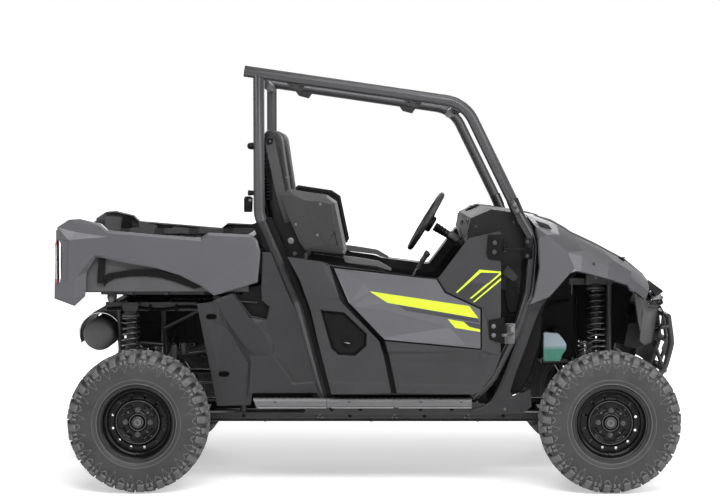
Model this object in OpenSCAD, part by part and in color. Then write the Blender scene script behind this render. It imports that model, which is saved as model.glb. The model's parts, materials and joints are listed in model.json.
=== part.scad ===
// Two-seat side-by-side utility vehicle.
// X points forward, Y to the vehicle's left, Z up, millimetres.
// The origin is on the ground under the middle of the vehicle.

/* [Chassis] */
// Distance between the rear and front axles
wheelbase = 2100; // [2060:10:2130]
// Distance of the rear axle behind the origin
rear_axle = 1040; // [1030:5:1050]
// Height of the body datum above the ground
lift = 8; // [4:1:12]
// Height of the wheel centres above the body datum
axle_z = 307.5; // [306:0.5:309]

/* [Wheels] */
// Outer radius of all tyres
tyre_r = 315.5; // [310:0.5:318]
// Width of the front tyres
front_w = 203; // [190:1:210]
// Width of the rear tyres
rear_w = 254; // [240:1:258]
// Bead seat radius of the rims
rim_r = 152.4; // [150:0.1:154]
// Outer half width over the tyres
track_half = 790; // [780:1:800]
// Distance of the kingpins from the centre plane
kingpin_y = 585; // [583:1:587]

/* [Cage] */
// Outer radius of the cage tube
cage_r = 25.4; // [22:0.1:26]
// Distance of the cage sides from the centre plane
cage_y = 612; // [610:1:614]
// Bend radius at the top of the windscreen pillar
cage_bend = 160; // [120:10:200]

/* [Doors] */
// Inner face of the doors from the centre plane
door_in = 645; // [643:1:648]
// Outer face of the doors from the centre plane
door_out = 700; // [695:1:702]

/* [Cargo bed] */
// Half width over the bed's inner tub
tub_half = 618; // [610:1:619]
// Thickness of the tub's walls
tub_wall = 26; // [20:1:30]
// Height of the bed floor's upper face above the datum
bed_floor = 900; // [895:1:905]

/* [Steering] */
// Radius of the steering wheel
wheel_r = 165; // [155:1:170]
// Reach of the steering arms behind the kingpins
arm_reach = 100; // [98:1:102]

/* [Hitch] */
// Inside width of the square receiver
receiver_in = 50.8; // [50.6:0.1:51]
// Radius of the hitch pin hole
hitch_pin_r = 8; // [7.9:0.05:8.2]

/* [Hidden] */
$fn = 48;
xr = -rear_axle;
xf = wheelbase - rear_axle;
yf = track_half - front_w / 2;
yr = track_half - rear_w / 2;
fit = 0.05;
// Steering wheel centre and the direction its face looks in
wheel_c = [272, 330, 1168];
wheel_tilt = -58.76;
rack_x = xf - arm_reach;
rack_z = 364;
black = [0.06, 0.06, 0.065];
plastic = [0.16, 0.16, 0.17];
paint = [0.36, 0.36, 0.38];

module up() translate([0, 0, lift]) children();
module both() { children(); mirror([0, 1, 0]) children(); }
module box(a, b) translate(a) cube(b - a);
// Straight round bar from a to b
module rod(a, b, r) {
  d = b - a; l = norm(d);
  translate(a) rotate([0, acos(d[2] / l), atan2(d[1], d[0])]) cylinder(h = l, r = r);
}
module pipe(p, r) {
  for (i = [0:len(p) - 2]) rod(p[i], p[i + 1], r);
  if (len(p) > 2) for (i = [1:len(p) - 2]) translate(p[i]) sphere(r = r + 0.4);
}
// Rounds the corner at b between a and c with radius r, in n chords
function unit(v) = v / norm(v);
function arc_at(a, b, c, r, n) =
  let (u = unit(a - b), v = unit(c - b), h = acos(u * v) / 2, t = r / tan(h),
       m = unit(u + v), o = b + m * (r / sin(h)), p = b + u * t, q = b + v * t)
  [for (i = [0:n]) let (w = unit((p - o) * (n - i) + (q - o) * i)) o + w * r];
function bent(p, r, n = 3) = concat([p[0]],
  [for (i = [1:len(p) - 2]) for (k = arc_at(p[i - 1], p[i], p[i + 1], r[i - 1], n)) k],
  [p[len(p) - 1]]);
function at_y(p, y) = [for (k = p) [k[0], y, k[1]]];
// Bent tube whose centre line p lies in one plane of constant y, with mitred rings
module bent_tube(p, y, r, k = 20) {
  n = len(p);
  rings = [for (i = [0:n - 1]) let (a = i == 0 ? nrm(p[0], p[1]) : nrm(p[i - 1], p[i]),
    b = i == n - 1 ? a : nrm(p[i], p[i + 1]), s = unit(a + b), m = s * (r / (s * a)))
    for (j = [0:k - 1]) let (w = 360 * (j + 0.5) / k) [p[i][0] + m[0] * cos(w), y + r * sin(w), p[i][1] + m[1] * cos(w)]];
  polyhedron(rings, concat(
    [for (i = [0:n - 2]) for (j = [0:k - 1]) [i * k + (j + 1) % k, (i + 1) * k + (j + 1) % k, (i + 1) * k + j, i * k + j]],
    [[for (j = [k - 1:-1:0]) j]], [[for (j = [0:k - 1]) (n - 1) * k + j]]));
}
// Flat panel: outline in X and Z, between two distances from the centre plane
module side_plate(p, y0, y1) translate([0, y1, 0]) rotate([90, 0, 0]) linear_extrude(y1 - y0) polygon(p);
// Outline of a strip of thickness t along an open line
function nrm(a, b) = let (d = unit(b - a)) [-d[1], d[0]];
function strip(p, t) =
  let (n = len(p),
       e = [for (i = [0:n - 1]) let (a = i == 0 ? nrm(p[0], p[1]) : nrm(p[i - 1], p[i]),
            b = i == n - 1 ? a : nrm(p[i], p[i + 1]), s = unit(a + b)) s * (t / 2) / (s * a)])
  concat([for (i = [0:n - 1]) p[i] + e[i]], [for (i = [n - 1:-1:0]) p[i] - e[i]]);
// Thin closed skin over a grid of points, offset by d
module skin(rows, d) {
  n = len(rows); m = len(rows[0]); k = n * m;
  top = [for (r = rows) for (p = r) p];
  pts = concat(top, [for (p = top) p + d]);
  c = cross(rows[0][1] - rows[0][0], rows[1][0] - rows[0][0]);
  s = c * d > 0;
  f = concat(
    [for (i = [0:n - 2]) for (j = [0:m - 2]) [i * m + j, i * m + j + 1, (i + 1) * m + j]],
    [for (i = [0:n - 2]) for (j = [0:m - 2]) [i * m + j + 1, (i + 1) * m + j + 1, (i + 1) * m + j]],
    [for (i = [0:n - 2]) for (j = [0:m - 2]) [k + i * m + j, k + (i + 1) * m + j, k + i * m + j + 1]],
    [for (i = [0:n - 2]) for (j = [0:m - 2]) [k + i * m + j + 1, k + (i + 1) * m + j, k + (i + 1) * m + j + 1]],
    [for (j = [0:m - 2]) [j, k + j, j + 1]], [for (j = [0:m - 2]) [j + 1, k + j, k + j + 1]],
    [for (j = [0:m - 2]) let (q = (n - 1) * m + j) [q, q + 1, k + q]],
    [for (j = [0:m - 2]) let (q = (n - 1) * m + j) [q + 1, k + q + 1, k + q]],
    [for (i = [0:n - 2]) let (q = i * m) [q, q + m, k + q]],
    [for (i = [0:n - 2]) let (q = i * m) [q + m, k + q + m, k + q]],
    [for (i = [0:n - 2]) let (q = i * m + m - 1) [q, k + q, q + m]],
    [for (i = [0:n - 2]) let (q = i * m + m - 1) [q + m, k + q, k + q + m]]);
  polyhedron(pts, s ? [for (t = f) [t[0], t[1], t[2]]] : [for (t = f) [t[2], t[1], t[0]]]);
}
function row3(p, y) = [for (k = p) [k[0], y, k[1]]];

// Lower ladder of two rails and their cross members
module main_frame() color(black) up() {
  both() box([-1180, 180, 255], [1140, 216, 287]);
  for (x = [-1178, -820, -240, 420, 800, 1093]) box([x, -190, 257], [x + 45, 190, 285]);
}

// Outer rails that carry the cage feet, on outriggers
module side_rails() color(black) up() both() {
  box([-300, 585, 330], [510, 625, 380]);
  for (x = [-240, 110, 450]) {
    rod([x, 224, 280], [x, 597, 354], 12.5);
    box([x - 16, 216.5, 258], [x + 16, 228, 296]);
  }
}

// Rear towers, the rails the bed rests on and its hinge lugs
module rear_subframe() color(black) up() difference() {
  union() {
    both() {
      for (x = [-1164, -960, -600]) rod([x, 202, 292], [x, 330, 785], 16);
      box([-1228, 310, 775], [-560, 350, 815]);
      box([-1211, 325, 812], [-1189, 335, 828]);
      translate([-1200, 335, 830]) rotate([90, 0, 0]) cylinder(h = 10, r = 15);
      translate([-620, 330, 814]) cylinder(h = 34, r = 16);
    }
    box([-1225, -311, 782], [-1192, 311, 804]);
    box([-760, -315, 778], [-725, 315, 812]);
  }
  both() translate([-1200, 345, 830]) rotate([90, 0, 0]) cylinder(h = 30, r = 10 + fit);
}

// Front towers, their cross bars and the bottle shelf
module front_subframe() color(black) up() {
  both() {
    rod([930, 201, 290], [930, 300, 906], 13.5);
    rod([1115.6, 201, 290], [1100, 300, 906], 13.5);
    box([915, 285, 895], [1118, 315, 925]);
  }
  box([915, -290, 897], [945, 290, 923]);
  box([1088, -290, 897], [1116, 290, 923]);
  box([785, -400, 532], [942, -220, 540]);
}

// Square receiver with its pin hole
module hitch_receiver() color(black) up() difference() {
  box([-1400, -receiver_in / 2 - 6.35, 255], [-1178.6, receiver_in / 2 + 6.35, 255 + receiver_in + 12.7]);
  box([-1410, -receiver_in / 2, 255 + 6.35], [-1190, receiver_in / 2, 255 + 6.35 + receiver_in]);
  translate([-1372, 50, 255 + 6.35 + receiver_in / 2]) rotate([90, 0, 0]) cylinder(h = 100, r = hitch_pin_r);
}

module skid_plate() color(black) up()
  side_plate([[-1150, 245], [1150, 245], [1290, 372], [1283, 380], [1146, 253], [-1150, 253]], -220, 220);

module engine_block() color([0.2, 0.2, 0.21]) up() box([-700, -194, 345], [-330, 194, 722]);

// Both differentials with half shafts and the propeller shaft
module driveline() color([0.12, 0.12, 0.12]) up() {
  for (x = [xr, xf]) {
    box([x - 70, -90, 290], [x + 60, 90, 395]);
    translate([x, 115, axle_z]) rotate([90, 0, 0]) cylinder(h = 230, r = 36);
    both() {
      rod([x, 100, axle_z], [x, 470, axle_z], 14);
      translate([x, 175, axle_z]) rotate([90, 0, 0]) cylinder(h = 72, r = 34);
      translate([x, 535, axle_z]) rotate([90, 0, 0]) cylinder(h = 72, r = 36);
    }
  }
  rod([xr + 50, 0, 315], [xf - 60, 0, 315], 19);
}

module muffler() color([0.2, 0.2, 0.2]) up() {
  translate([-1262, 345, 664]) rotate([90, 0, 0]) cylinder(h = 690, r = 75);
  rod([-1200, 120, 664], [-1010, 120, 560], 22);
}

module muffler_shield() color([0.8, 0.8, 0.8]) up() translate([-1262, 285, 664]) rotate([90, 0, 0])
  difference() {
    cylinder(h = 570, r = 103);
    translate([0, 0, -1]) cylinder(h = 572, r = 97);
    translate([0, 0, -1]) linear_extrude(572) polygon([[0, 0], [160, 52], [160, -160], [-160, -160], [-160, -110]]);
  }

// One side of the cage: roof rail, windscreen pillar and door pillar
module cage_side() up() difference() {
  union() {
    bent_tube(bent([[-564, 1868], [416, 1725.5], [648, 1250], [724, 1110], [695, 830], [545, 500], [451, 400]],
      [cage_bend, 300, 120, 200, 200], 4), cage_y, cage_r);
    bent_tube(bent([[-503.5, 1852], [-503.5, 1225], [-330, 820], [-217, 392]], [150, 300], 4), cage_y, cage_r);
    box([400, 590, 382], [480, 634, 388]);
    box([-255, 590, 382], [-175, 634, 388]);
    // Hinge ears of the door
    for (h = [[1070, 706, 722], [690, 620, 640]]) translate([0, 0, h[0]]) linear_extrude(12) difference() {
      union() {
        polygon([[586, 694], [h[1], 622], [h[2] + 6, 622], [598, 717]]);
        translate([590, 706]) circle(r = 12);
      }
      translate([590, 706]) circle(r = 6 + fit);
    }
  }
}
module cage_left() color(plastic) cage_side();
module cage_right() color(plastic) mirror([0, 1, 0]) cage_side();

module cage_crossbars() color(plastic) up() {
  e = cage_y - cage_r - 0.5;
  rod([396, -e, 1706], [396, e, 1706], 22);
  rod([-503.5, -e, 1832], [-503.5, e, 1832], 22);
  rod([-503.5, -e, 1243], [-503.5, e, 1243], 19);
  rod([-545, -e + 10, 1535], [-545, e - 10, 1535], 16);
  for (y = [-1, 1]) box([-550, y * (e - 8) - 8, 1520], [-503, y * (e - 8) + 8, 1550]);
}

// Floor, seat box, back wall, footwell front and the centre console
module floor_tub() color(black) up() {
  side_plate(strip([[-532, 1040], [-478, 744], [24, 744], [36, 700], [36, 392], [590, 392], [672, 540], [690, 860]], 12), -545, 545);
  difference() {
    box([42, -70, 398], [232, 70, 842]);
    box([50, -62, 390], [224, 62, 834]);
  }
}

module dashboard() color(plastic) up() difference() {
  side_plate(strip([[692, 1222], [541, 1246], [450, 1208], [434, 1140], [484, 1000], [562, 900], [668, 876]], 10), -572, 572);
  translate(wheel_c) rotate([0, wheel_tilt, 0]) translate([0, 0, -400]) cylinder(h = 360, r = 30);
}

// Column tube, lower shaft and the rack housing
module steering_column() color(black) up() {
  translate(wheel_c) rotate([0, wheel_tilt, 0]) translate([0, 0, -340]) cylinder(h = 294, r = 24);
  difference() {
    union() {
      rod([rack_x, -150, rack_z], [rack_x, 150, rack_z], 24);
      rod([rack_x, 110, rack_z + 10], [720, 250, 790], 11);
      for (y = [-1, 1]) box([rack_x - 34, y * 130 - 12, 289], [rack_x - 2, y * 130 + 12, rack_z]);
    }
    rod([rack_x, -160, rack_z], [rack_x, 160, rack_z], 10 + fit);
  }
}

module seat_cushions() color([0.09, 0.09, 0.09]) up() both() translate([0, 550, 0]) rotate([90, 0, 0])
  linear_extrude(455) polygon([[-398, 752], [40, 752], [72, 790], [72, 860], [30, 892], [-180, 868], [-398, 880]]);

module seat_backs() color([0.09, 0.09, 0.09]) up() both() side_plate(
  [[-304, 896], [-398, 886], [-474, 1235], [-500, 1590], [-482, 1640], [-444, 1640], [-424, 1590], [-384, 1300], [-322, 1100]], 105, 545);

module hip_bolsters() color(plastic) up() both() {
  side_plate([[-370, 1342], [-199, 1316], [-155, 1286], [-110, 1071], [-121, 1049], [-299, 1068],
    [-322, 1101], [-373, 1220], [-403, 1316]], 592, 618);
  side_plate([[-412, 1180], [-330, 1205], [-285, 1062], [-376, 1012]], 580, 591.9);
}

module seat_belts() color(black) up() both() {
  side_plate([[-478, 1560], [-440, 1568], [-290, 960], [-330, 950]], 562, 566);
  box([-574, 556, 1236], [-534, 598, 1310]);
}

module driver_controls() color([0.15, 0.15, 0.15]) up() {
  for (y = [250, 370]) {
    rod([560, y, 540], [610, y, 850], 7);
    translate([552, y - 28, 500]) rotate([0, 8, 0]) cube([12, 56, 80]);
  }
  rod([162, 0, 847], [268, 0, 1020], 7);
  translate([272, 0, 1028]) sphere(r = 20);
}

// Moulded panels between the door pillar and the rear wheel
module quarter_panels() color(plastic) up() both() side_plate([[-785, 839], [-697, 847], [-623, 866], [-520, 770],
  [-473, 762], [-454, 812], [-496, 901], [-496, 1055], [-480, 1055], [-404, 885], [-366, 800], [-274, 439], [-539, 431],
  [-542, 377], [-697, 369], [-700, 415]], 600, 640);

module rocker_sills() color(plastic) up() both() {
  box([-532, 641, 363], [452, 668, 408]);
}

// Lower mouldings between the pillar foot and the front wheel
module fender_guards() color(plastic) up() both() side_plate([[738, 838], [793, 872], [753, 816], [691, 675],
  [622, 483], [626, 433], [532, 425], [584, 502], [668, 668], [732, 810]], 598, 640);

module front_fenders() color(paint) up() both() skin([
  [[738, 432, 1205], [842, 432, 1168], [906, 432, 1130], [1050, 432, 1056], [1180, 432, 984], [1255, 432, 918]],
  [[748, 560, 1185], [842, 575, 1142], [906, 585, 1104], [1050, 590, 1030], [1176, 580, 962], [1248, 545, 900]],
  [[748, 672, 1118], [842, 690, 1080], [906, 694, 1056], [1050, 690, 1000], [1165, 668, 938], [1236, 630, 880]],
  [[738, 712, 980], [800, 720, 960], [883, 722, 990], [1047, 716, 958], [1140, 700, 918], [1218, 660, 850]],
  [[738, 712, 850], [793, 720, 874], [870, 722, 968], [1047, 716, 946], [1145, 700, 890], [1205, 664, 745]]],
  [-4, -10, -7]);

module hood() color(paint) up() skin([for (y = [-424, -330, -180, 0, 180, 330, 424])
  let (h = 16 * (1 - pow(y / 424, 2)))
  [[704, y, 1220 + h], [842, y, 1174 + h], [906, y, 1134 + h], [1050, y, 1062 + h], [1184, y, 990 + h],
   [1258 + h, y, 926 + h], [1318 + h / 2, y, 842 + h / 2]]], [-2, 0, -7]);

module front_fascia() color(plastic) up() {
  skin([for (y = [-366, -240, 0, 240, 366]) let (b = abs(y) / 366)
    [[1338 - 22 * b * b, y, 824], [1358 - 26 * b * b, y, 788], [1345 - 26 * b * b, y, 726],
     [1330 - 26 * b * b, y, 620], [1302 - 20 * b * b, y, 520]]], [-8, 0, 2]);
  both() skin([for (y = [370, 460, 560]) let (b = (y - 370) / 190)
    [[1316 - 70 * b, y, 824 - 20 * b], [1322 - 80 * b, y, 788 - 20 * b], [1308 - 90 * b, y, 700]]], [-8, 0, 2]);
}

module headlights() color([0.8, 0.82, 0.85]) up() both() hull() {
  side_plate([[1266, 838], [1330, 838], [1322, 866], [1292, 890], [1266, 890]], 436, 438);
  side_plate([[1252, 838], [1276, 838], [1272, 856], [1260, 868], [1252, 868]], 556, 558);
}

module front_bumper() color(black) up() {
  both() pipe([[1120, 231, 300], [1260, 262, 400], [1366, 270, 492], [1401.5, 262, 618], [1385, 255, 742]], 14);
  for (p = [[1366, 492, 270], [1401.5, 618, 262], [1385, 742, 255]]) rod([p[0], -p[2], p[1]], [p[0], p[2], p[1]], 13.4);
}

module coolant_bottle() color([0.7, 0.8, 0.75]) up() {
  box([790, -395, 541], [895, -310, 680]);
  translate([845, -352, 679]) cylinder(h = 18, r = 22);
}

// Wishbones: the front ones end in eyes on the kingpins
module control_arms() color(black) up() both() {
  for (a = [[215, 268, 940, 1172, 228], [407, 432, 945, 1148, 242]]) difference() {
    union() {
      translate([xf, kingpin_y, a[0] - 12]) cylinder(h = 24, r = 20);
      rod([xf, kingpin_y - 13, a[0]], [a[2], a[4], a[1]], 11);
      rod([xf, kingpin_y - 13, a[0]], [a[3], a[4], a[1]], 11);
      if (a[0] > 300) rod([xf - 54, 420, 419], [xf + 42, 420, 419], 9);
    }
    translate([xf, kingpin_y, a[0] - 20]) cylinder(h = 40, r = 9 + fit);
  }
  rod([xr + 3, 538, 235], [xr + 120, 228, 268], 14);
  rod([xr - 3, 538, 236], [xr - 120, 228, 269], 13.6);
  rod([xr, 538, 385], [xr + 80, 262, 440], 13);
  rod([xr - 2, 538, 385], [xr - 14, 262, 441], 12.6);
}

module damper(a, b, r, s0, s1) {
  rod(a, b, 15);
  d = b - a;
  rod(a + d * s0, a + d * s1, r);
}
module shock_absorbers() color(black) up() both() {
  damper([1034, 418, 434], [1034, 344, 930], 45, 0.12, 0.9);
  damper([-1107, 384, 276], [-1107, 374, 800], 46, 0.3, 0.92);
}

module upright(x, y) {
  box([x - 30, y - 20, 230], [x + 30, y + 20, 392]);
}
module rear_knuckles() color(black) up() both() {
  box([xr - 30, 554, 212], [xr + 30, 594, 402]);
  translate([xr, yr + 20, axle_z]) rotate([90, 0, 0]) cylinder(h = yr + 20 - 560, r = 17.5);
}

// Steered upright with kingpins, stub axle and steering arm
module front_knuckle() color(black) up() {
  upright(xf, kingpin_y);
  translate([xf, kingpin_y, 203]) cylinder(h = 216, r = 9);
  translate([xf, yf + 12, axle_z]) rotate([90, 0, 0]) cylinder(h = yf + 12 - kingpin_y, r = 17.5);
  box([rack_x - 14, kingpin_y - 20, 379], [xf, kingpin_y + 8, 391]);
}
module knuckle_front_left() front_knuckle();
module knuckle_front_right() mirror([0, 1, 0]) front_knuckle();

module tie_rods() color([0.3, 0.3, 0.3]) up() {
  rod([rack_x, -kingpin_y + 12, rack_z], [rack_x, kingpin_y - 12, rack_z], 10);
  both() translate([rack_x, kingpin_y - 8, rack_z - 11]) cylinder(h = 22, r = 12);
}

// Open tub with side walls, front wall, under-rails and hinge brackets
module cargo_bed() color(plastic) up() difference() {
  union() {
    box([-1366, -tub_half, bed_floor - 22], [-548, tub_half, bed_floor]);
    box([-574, -tub_half, bed_floor - 2], [-548, tub_half, 1118]);
    both() {
      box([-1366, tub_half - tub_wall, bed_floor - 2], [-548, tub_half, 1124]);
      box([-1410, tub_half - tub_wall, 889], [-1360, tub_half, 911]);
      box([-1250, 315, 850], [-570, 345, bed_floor - 21]);
      for (y = [298, 354]) box([-1218, y, 830], [-1182, y + 8, bed_floor - 21]);
      for (y = [298, 354]) translate([-1200, y + 8, 830]) rotate([90, 0, 0]) cylinder(h = 8, r = 18);
      translate([-1200, 362, 830]) rotate([90, 0, 0]) cylinder(h = 64, r = 10);
    }
  }
  both() translate([-1398, tub_half + 5, 900]) rotate([90, 0, 0]) cylinder(h = tub_wall + 10, r = 6 + fit);
}

module bed_side_panels() color(paint) up() both() difference() {
  side_plate([[-1400, 1150], [-1363, 1198], [-1199, 1186], [-1175, 1160], [-759, 1122], [-727, 1148],
    [-534, 1134], [-512, 1081], [-518, 931], [-687, 881], [-728, 881], [-755, 903], [-859, 958],
    [-986, 995], [-1209, 1035], [-1249, 1044], [-1279, 1003], [-1327, 819], [-1408, 854], [-1408, 918], [-1400, 922]], 622, 662);
}

module taillights() color([0.8, 0.3, 0.3]) up() both() box([-1415.5, 624, 922], [-1400.5, 658, 1116]);

module tailgate() color(paint) up() {
  box([-1402, -584, 904], [-1376, 584, 1128]);
  both() translate([-1398, 606, 900]) rotate([90, 0, 0]) cylinder(h = 30, r = 6);
  both() box([-1404, 560, 896], [-1390, 584, 912]);
}

door_line = [[-374, 1043], [-217, 1020], [-180, 1007], [286, 946], [293, 949], [429, 1125], [572, 1158],
  [572, 600], [540, 521], [480, 443], [-179, 432], [-241, 677], [-271, 806], [-317, 936]];
module door() up() {
  difference() {
    side_plate(door_line, door_in, door_out);
    // Handle pocket
    side_plate([[-229, 810], [-114, 799], [-22, 711], [-26, 636], [-67, 599], [-155, 606], [-189, 636]], door_out - 25, door_out + 5);
  }
  for (z = [1083, 703]) {
    translate([590, 706, z]) cylinder(h = 34, r = 10);
    translate([0, 0, z]) linear_extrude(34) polygon([[571, 688], [571, 699], [584, 714], [594, 698]]);
    translate([590, 706, z - 16]) cylinder(h = 20, r = 6);
  }
}
module door_left() color(paint) door();
module door_right() color(paint) mirror([0, 1, 0]) door();

module steering_wheel() color(black) up() translate(wheel_c) rotate([0, wheel_tilt, 0]) {
  rotate_extrude() translate([wheel_r - 14, 0]) circle(r = 14);
  translate([0, 0, -40]) cylinder(h = 34, r = 42);
  for (a = [0, 110, 250]) rotate([0, 0, a]) rod([20, 0, -22], [wheel_r - 14, 0, 0], 10);
}

// Hollow tyre with an open bead, spun round its axle
module tyre(w) rotate([90, 0, 0]) rotate_extrude($fn = 96) polygon([
  [rim_r + 0.6, -0.37 * w], [rim_r + 16, -0.385 * w], [rim_r + 22, -0.44 * w], [205, -0.5 * w], [255, -0.5 * w],
  [292, -0.47 * w], [309, -0.4 * w], [tyre_r, -0.2 * w], [tyre_r, 0.2 * w], [309, 0.4 * w], [292, 0.47 * w],
  [255, 0.5 * w], [205, 0.5 * w], [rim_r + 22, 0.44 * w], [rim_r + 16, 0.385 * w], [rim_r + 0.6, 0.37 * w],
  [rim_r + 0.6, 0.3 * w], [rim_r + 14, 0.31 * w], [205, 0.42 * w], [255, 0.43 * w], [285, 0.38 * w],
  [292, 0.2 * w], [292, -0.2 * w], [285, -0.38 * w], [255, -0.43 * w], [205, -0.42 * w], [rim_r + 14, -0.31 * w],
  [rim_r + 0.6, -0.3 * w]]);
// Steel rim with its disc towards +Z before it is laid on its side
module rim(w) rotate([-90, 0, 0]) difference() {
  rotate_extrude($fn = 96) polygon([[rim_r - 6, -0.4 * w], [rim_r + 16, -0.4 * w], [rim_r + 16, -0.39 * w],
    [rim_r, -0.375 * w], [rim_r, 0.375 * w], [rim_r + 16, 0.39 * w], [rim_r + 16, 0.4 * w], [rim_r - 5, 0.4 * w],
    [rim_r - 7, 0.26 * w], [108, 0.26 * w], [96, 0.22 * w], [62, 0.25 * w], [38, 0.27 * w], [17.5 + fit, 0.27 * w],
    [17.5 + fit, -20], [36, -20], [38, 0.24 * w], [62, 0.22 * w], [96, 0.19 * w], [108, 0.23 * w], [rim_r - 8, 0.23 * w]]);
  for (a = [0:45:315]) rotate([0, 0, a + 22.5]) translate([78, 0, 0]) cylinder(h = w, r = 11);
}
module wheel_at(x, y) translate([x, y, axle_z + lift]) children();
module tyre_front_right() color([0.1, 0.1, 0.1]) wheel_at(xf, -yf) tyre(front_w);
module tyre_front_left() color([0.1, 0.1, 0.1]) wheel_at(xf, yf) tyre(front_w);
module tyre_rear_right() color([0.1, 0.1, 0.1]) wheel_at(xr, -yr) tyre(rear_w);
module tyre_rear_left() color([0.1, 0.1, 0.1]) wheel_at(xr, yr) tyre(rear_w);
module rim_front_left() color(black) wheel_at(xf, yf) rim(front_w);
module rim_front_right() color(black) wheel_at(xf, -yf) mirror([0, 1, 0]) rim(front_w);
module rim_rear_left() color(black) wheel_at(xr, yr) rim(rear_w);
module rim_rear_right() color(black) wheel_at(xr, -yr) mirror([0, 1, 0]) rim(rear_w);

main_frame();
side_rails();
rear_subframe();
front_subframe();
hitch_receiver();
skid_plate();
engine_block();
driveline();
muffler();
muffler_shield();
cage_right();
cage_left();
cage_crossbars();
floor_tub();
dashboard();
steering_column();
seat_cushions();
seat_backs();
hip_bolsters();
seat_belts();
driver_controls();
quarter_panels();
rocker_sills();
fender_guards();
front_fenders();
hood();
front_fascia();
headlights();
front_bumper();
coolant_bottle();
control_arms();
shock_absorbers();
rear_knuckles();
cargo_bed();
bed_side_panels();
taillights();
tailgate();
door_right();
door_left();
steering_wheel();
knuckle_front_right();
knuckle_front_left();
tie_rods();
tyre_front_right();
tyre_front_left();
tyre_rear_right();
tyre_rear_left();
rim_front_right();
rim_front_left();
rim_rear_right();
rim_rear_left();
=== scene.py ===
import bpy, bmesh, math, random
import numpy as np
from mathutils import Vector, Matrix, noise
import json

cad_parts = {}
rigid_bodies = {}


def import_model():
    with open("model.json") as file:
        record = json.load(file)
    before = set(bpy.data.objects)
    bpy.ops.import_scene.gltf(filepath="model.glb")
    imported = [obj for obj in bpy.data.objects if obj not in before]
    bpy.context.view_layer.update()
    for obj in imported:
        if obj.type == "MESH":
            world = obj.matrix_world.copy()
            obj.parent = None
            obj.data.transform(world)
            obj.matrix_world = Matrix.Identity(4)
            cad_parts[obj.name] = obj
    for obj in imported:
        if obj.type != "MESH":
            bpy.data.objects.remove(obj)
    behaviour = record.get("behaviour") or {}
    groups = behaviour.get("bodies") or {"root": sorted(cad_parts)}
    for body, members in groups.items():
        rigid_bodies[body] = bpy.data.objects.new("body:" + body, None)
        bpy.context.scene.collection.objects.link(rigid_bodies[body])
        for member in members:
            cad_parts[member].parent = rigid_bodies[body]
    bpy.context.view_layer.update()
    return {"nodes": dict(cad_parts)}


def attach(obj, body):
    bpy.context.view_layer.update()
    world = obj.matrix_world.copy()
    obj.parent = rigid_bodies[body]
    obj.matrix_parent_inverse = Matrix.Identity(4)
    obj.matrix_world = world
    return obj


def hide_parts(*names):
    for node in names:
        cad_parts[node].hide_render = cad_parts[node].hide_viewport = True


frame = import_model()
NODES = frame["nodes"]
L = 0.008                      # ride height of the body datum
AZ = 0.3155                    # wheel centre height
XR, XF = -1.04, 1.06
YF, YR = 0.79 - 0.1015, 0.79 - 0.127

# ------------------------------------------------------------------ camera, light, floor
scene = bpy.context.scene
cam_data = bpy.data.cameras.new("camera")
cam = bpy.data.objects.new("camera", cam_data)
scene.collection.objects.link(cam)
F_PX = 1986.0
cam_data.sensor_width = 36.0
cam_data.lens = F_PX / 720 * 36.0
cam_data.clip_end = 200
CAM = Vector((-0.025, -9.5, 1.498))
PITCH = math.atan(95.0 / F_PX)
YAW = math.atan(6.0 / F_PX)
fwd = Vector((-math.sin(YAW) * math.cos(PITCH), math.cos(YAW) * math.cos(PITCH), -math.sin(PITCH)))
cam.location = CAM
cam.rotation_euler = fwd.to_track_quat("-Z", "Y").to_euler()
scene.camera = cam

world = bpy.data.worlds.new("studio")
scene.world = world
world.use_nodes = True
bg = world.node_tree.nodes["Background"]
bg.inputs[0].default_value = (1.0, 1.0, 1.0, 1)
_tc = world.node_tree.nodes.new("ShaderNodeTexCoord")
_sp = world.node_tree.nodes.new("ShaderNodeSeparateXYZ")
_mr = world.node_tree.nodes.new("ShaderNodeMapRange")
_mr.interpolation_type = "SMOOTHSTEP"
_mr.inputs["From Min"].default_value = 0.085
_mr.inputs["From Max"].default_value = 0.32
_mr.inputs["To Min"].default_value = 1.0
_mr.inputs["To Max"].default_value = 0.30
world.node_tree.links.new(_tc.outputs["Generated"], _sp.inputs[0])
world.node_tree.links.new(_sp.outputs[2], _mr.inputs[0])
world.node_tree.links.new(_mr.outputs[0], bg.inputs[1])
scene.view_settings.view_transform = "Standard"
scene.view_settings.exposure = 0.0


def area(name, loc, target, size, power, size_y=None):
    d = bpy.data.lights.new(name, "AREA")
    d.energy = power
    d.size = size
    if size_y:
        d.shape = "RECTANGLE"
        d.size_y = size_y
    o = bpy.data.objects.new(name, d)
    o.location = loc
    o.rotation_euler = (Vector(target) - Vector(loc)).to_track_quat("-Z", "Y").to_euler()
    scene.collection.objects.link(o)
    return o


area("key_top", (0.3, -1.2, 5.0), (0, 0, 0.6), 4.6, 150, 2.4)
area("key_side", (0.2, -5.2, 4.6), (0, 0, 0.9), 5.0, 420, 1.6)
area("front_soft", (4.4, -3.8, 3.1), (0.8, 0, 0.9), 4.2, 200, 2.6)
area("rear_soft", (-4.5, -5.0, 2.6), (0, 0, 0.8), 2.4, 60, 2.0)
area("far_soft", (0.0, 6.0, 3.2), (0, 0, 0.8), 5.0, 120, 2.0)

# ------------------------------------------------------------------ materials
_mats = {}


def new_mat(name):
    m = bpy.data.materials.new(name)
    m.use_nodes = True
    m.node_tree.nodes.clear()
    return m


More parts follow.
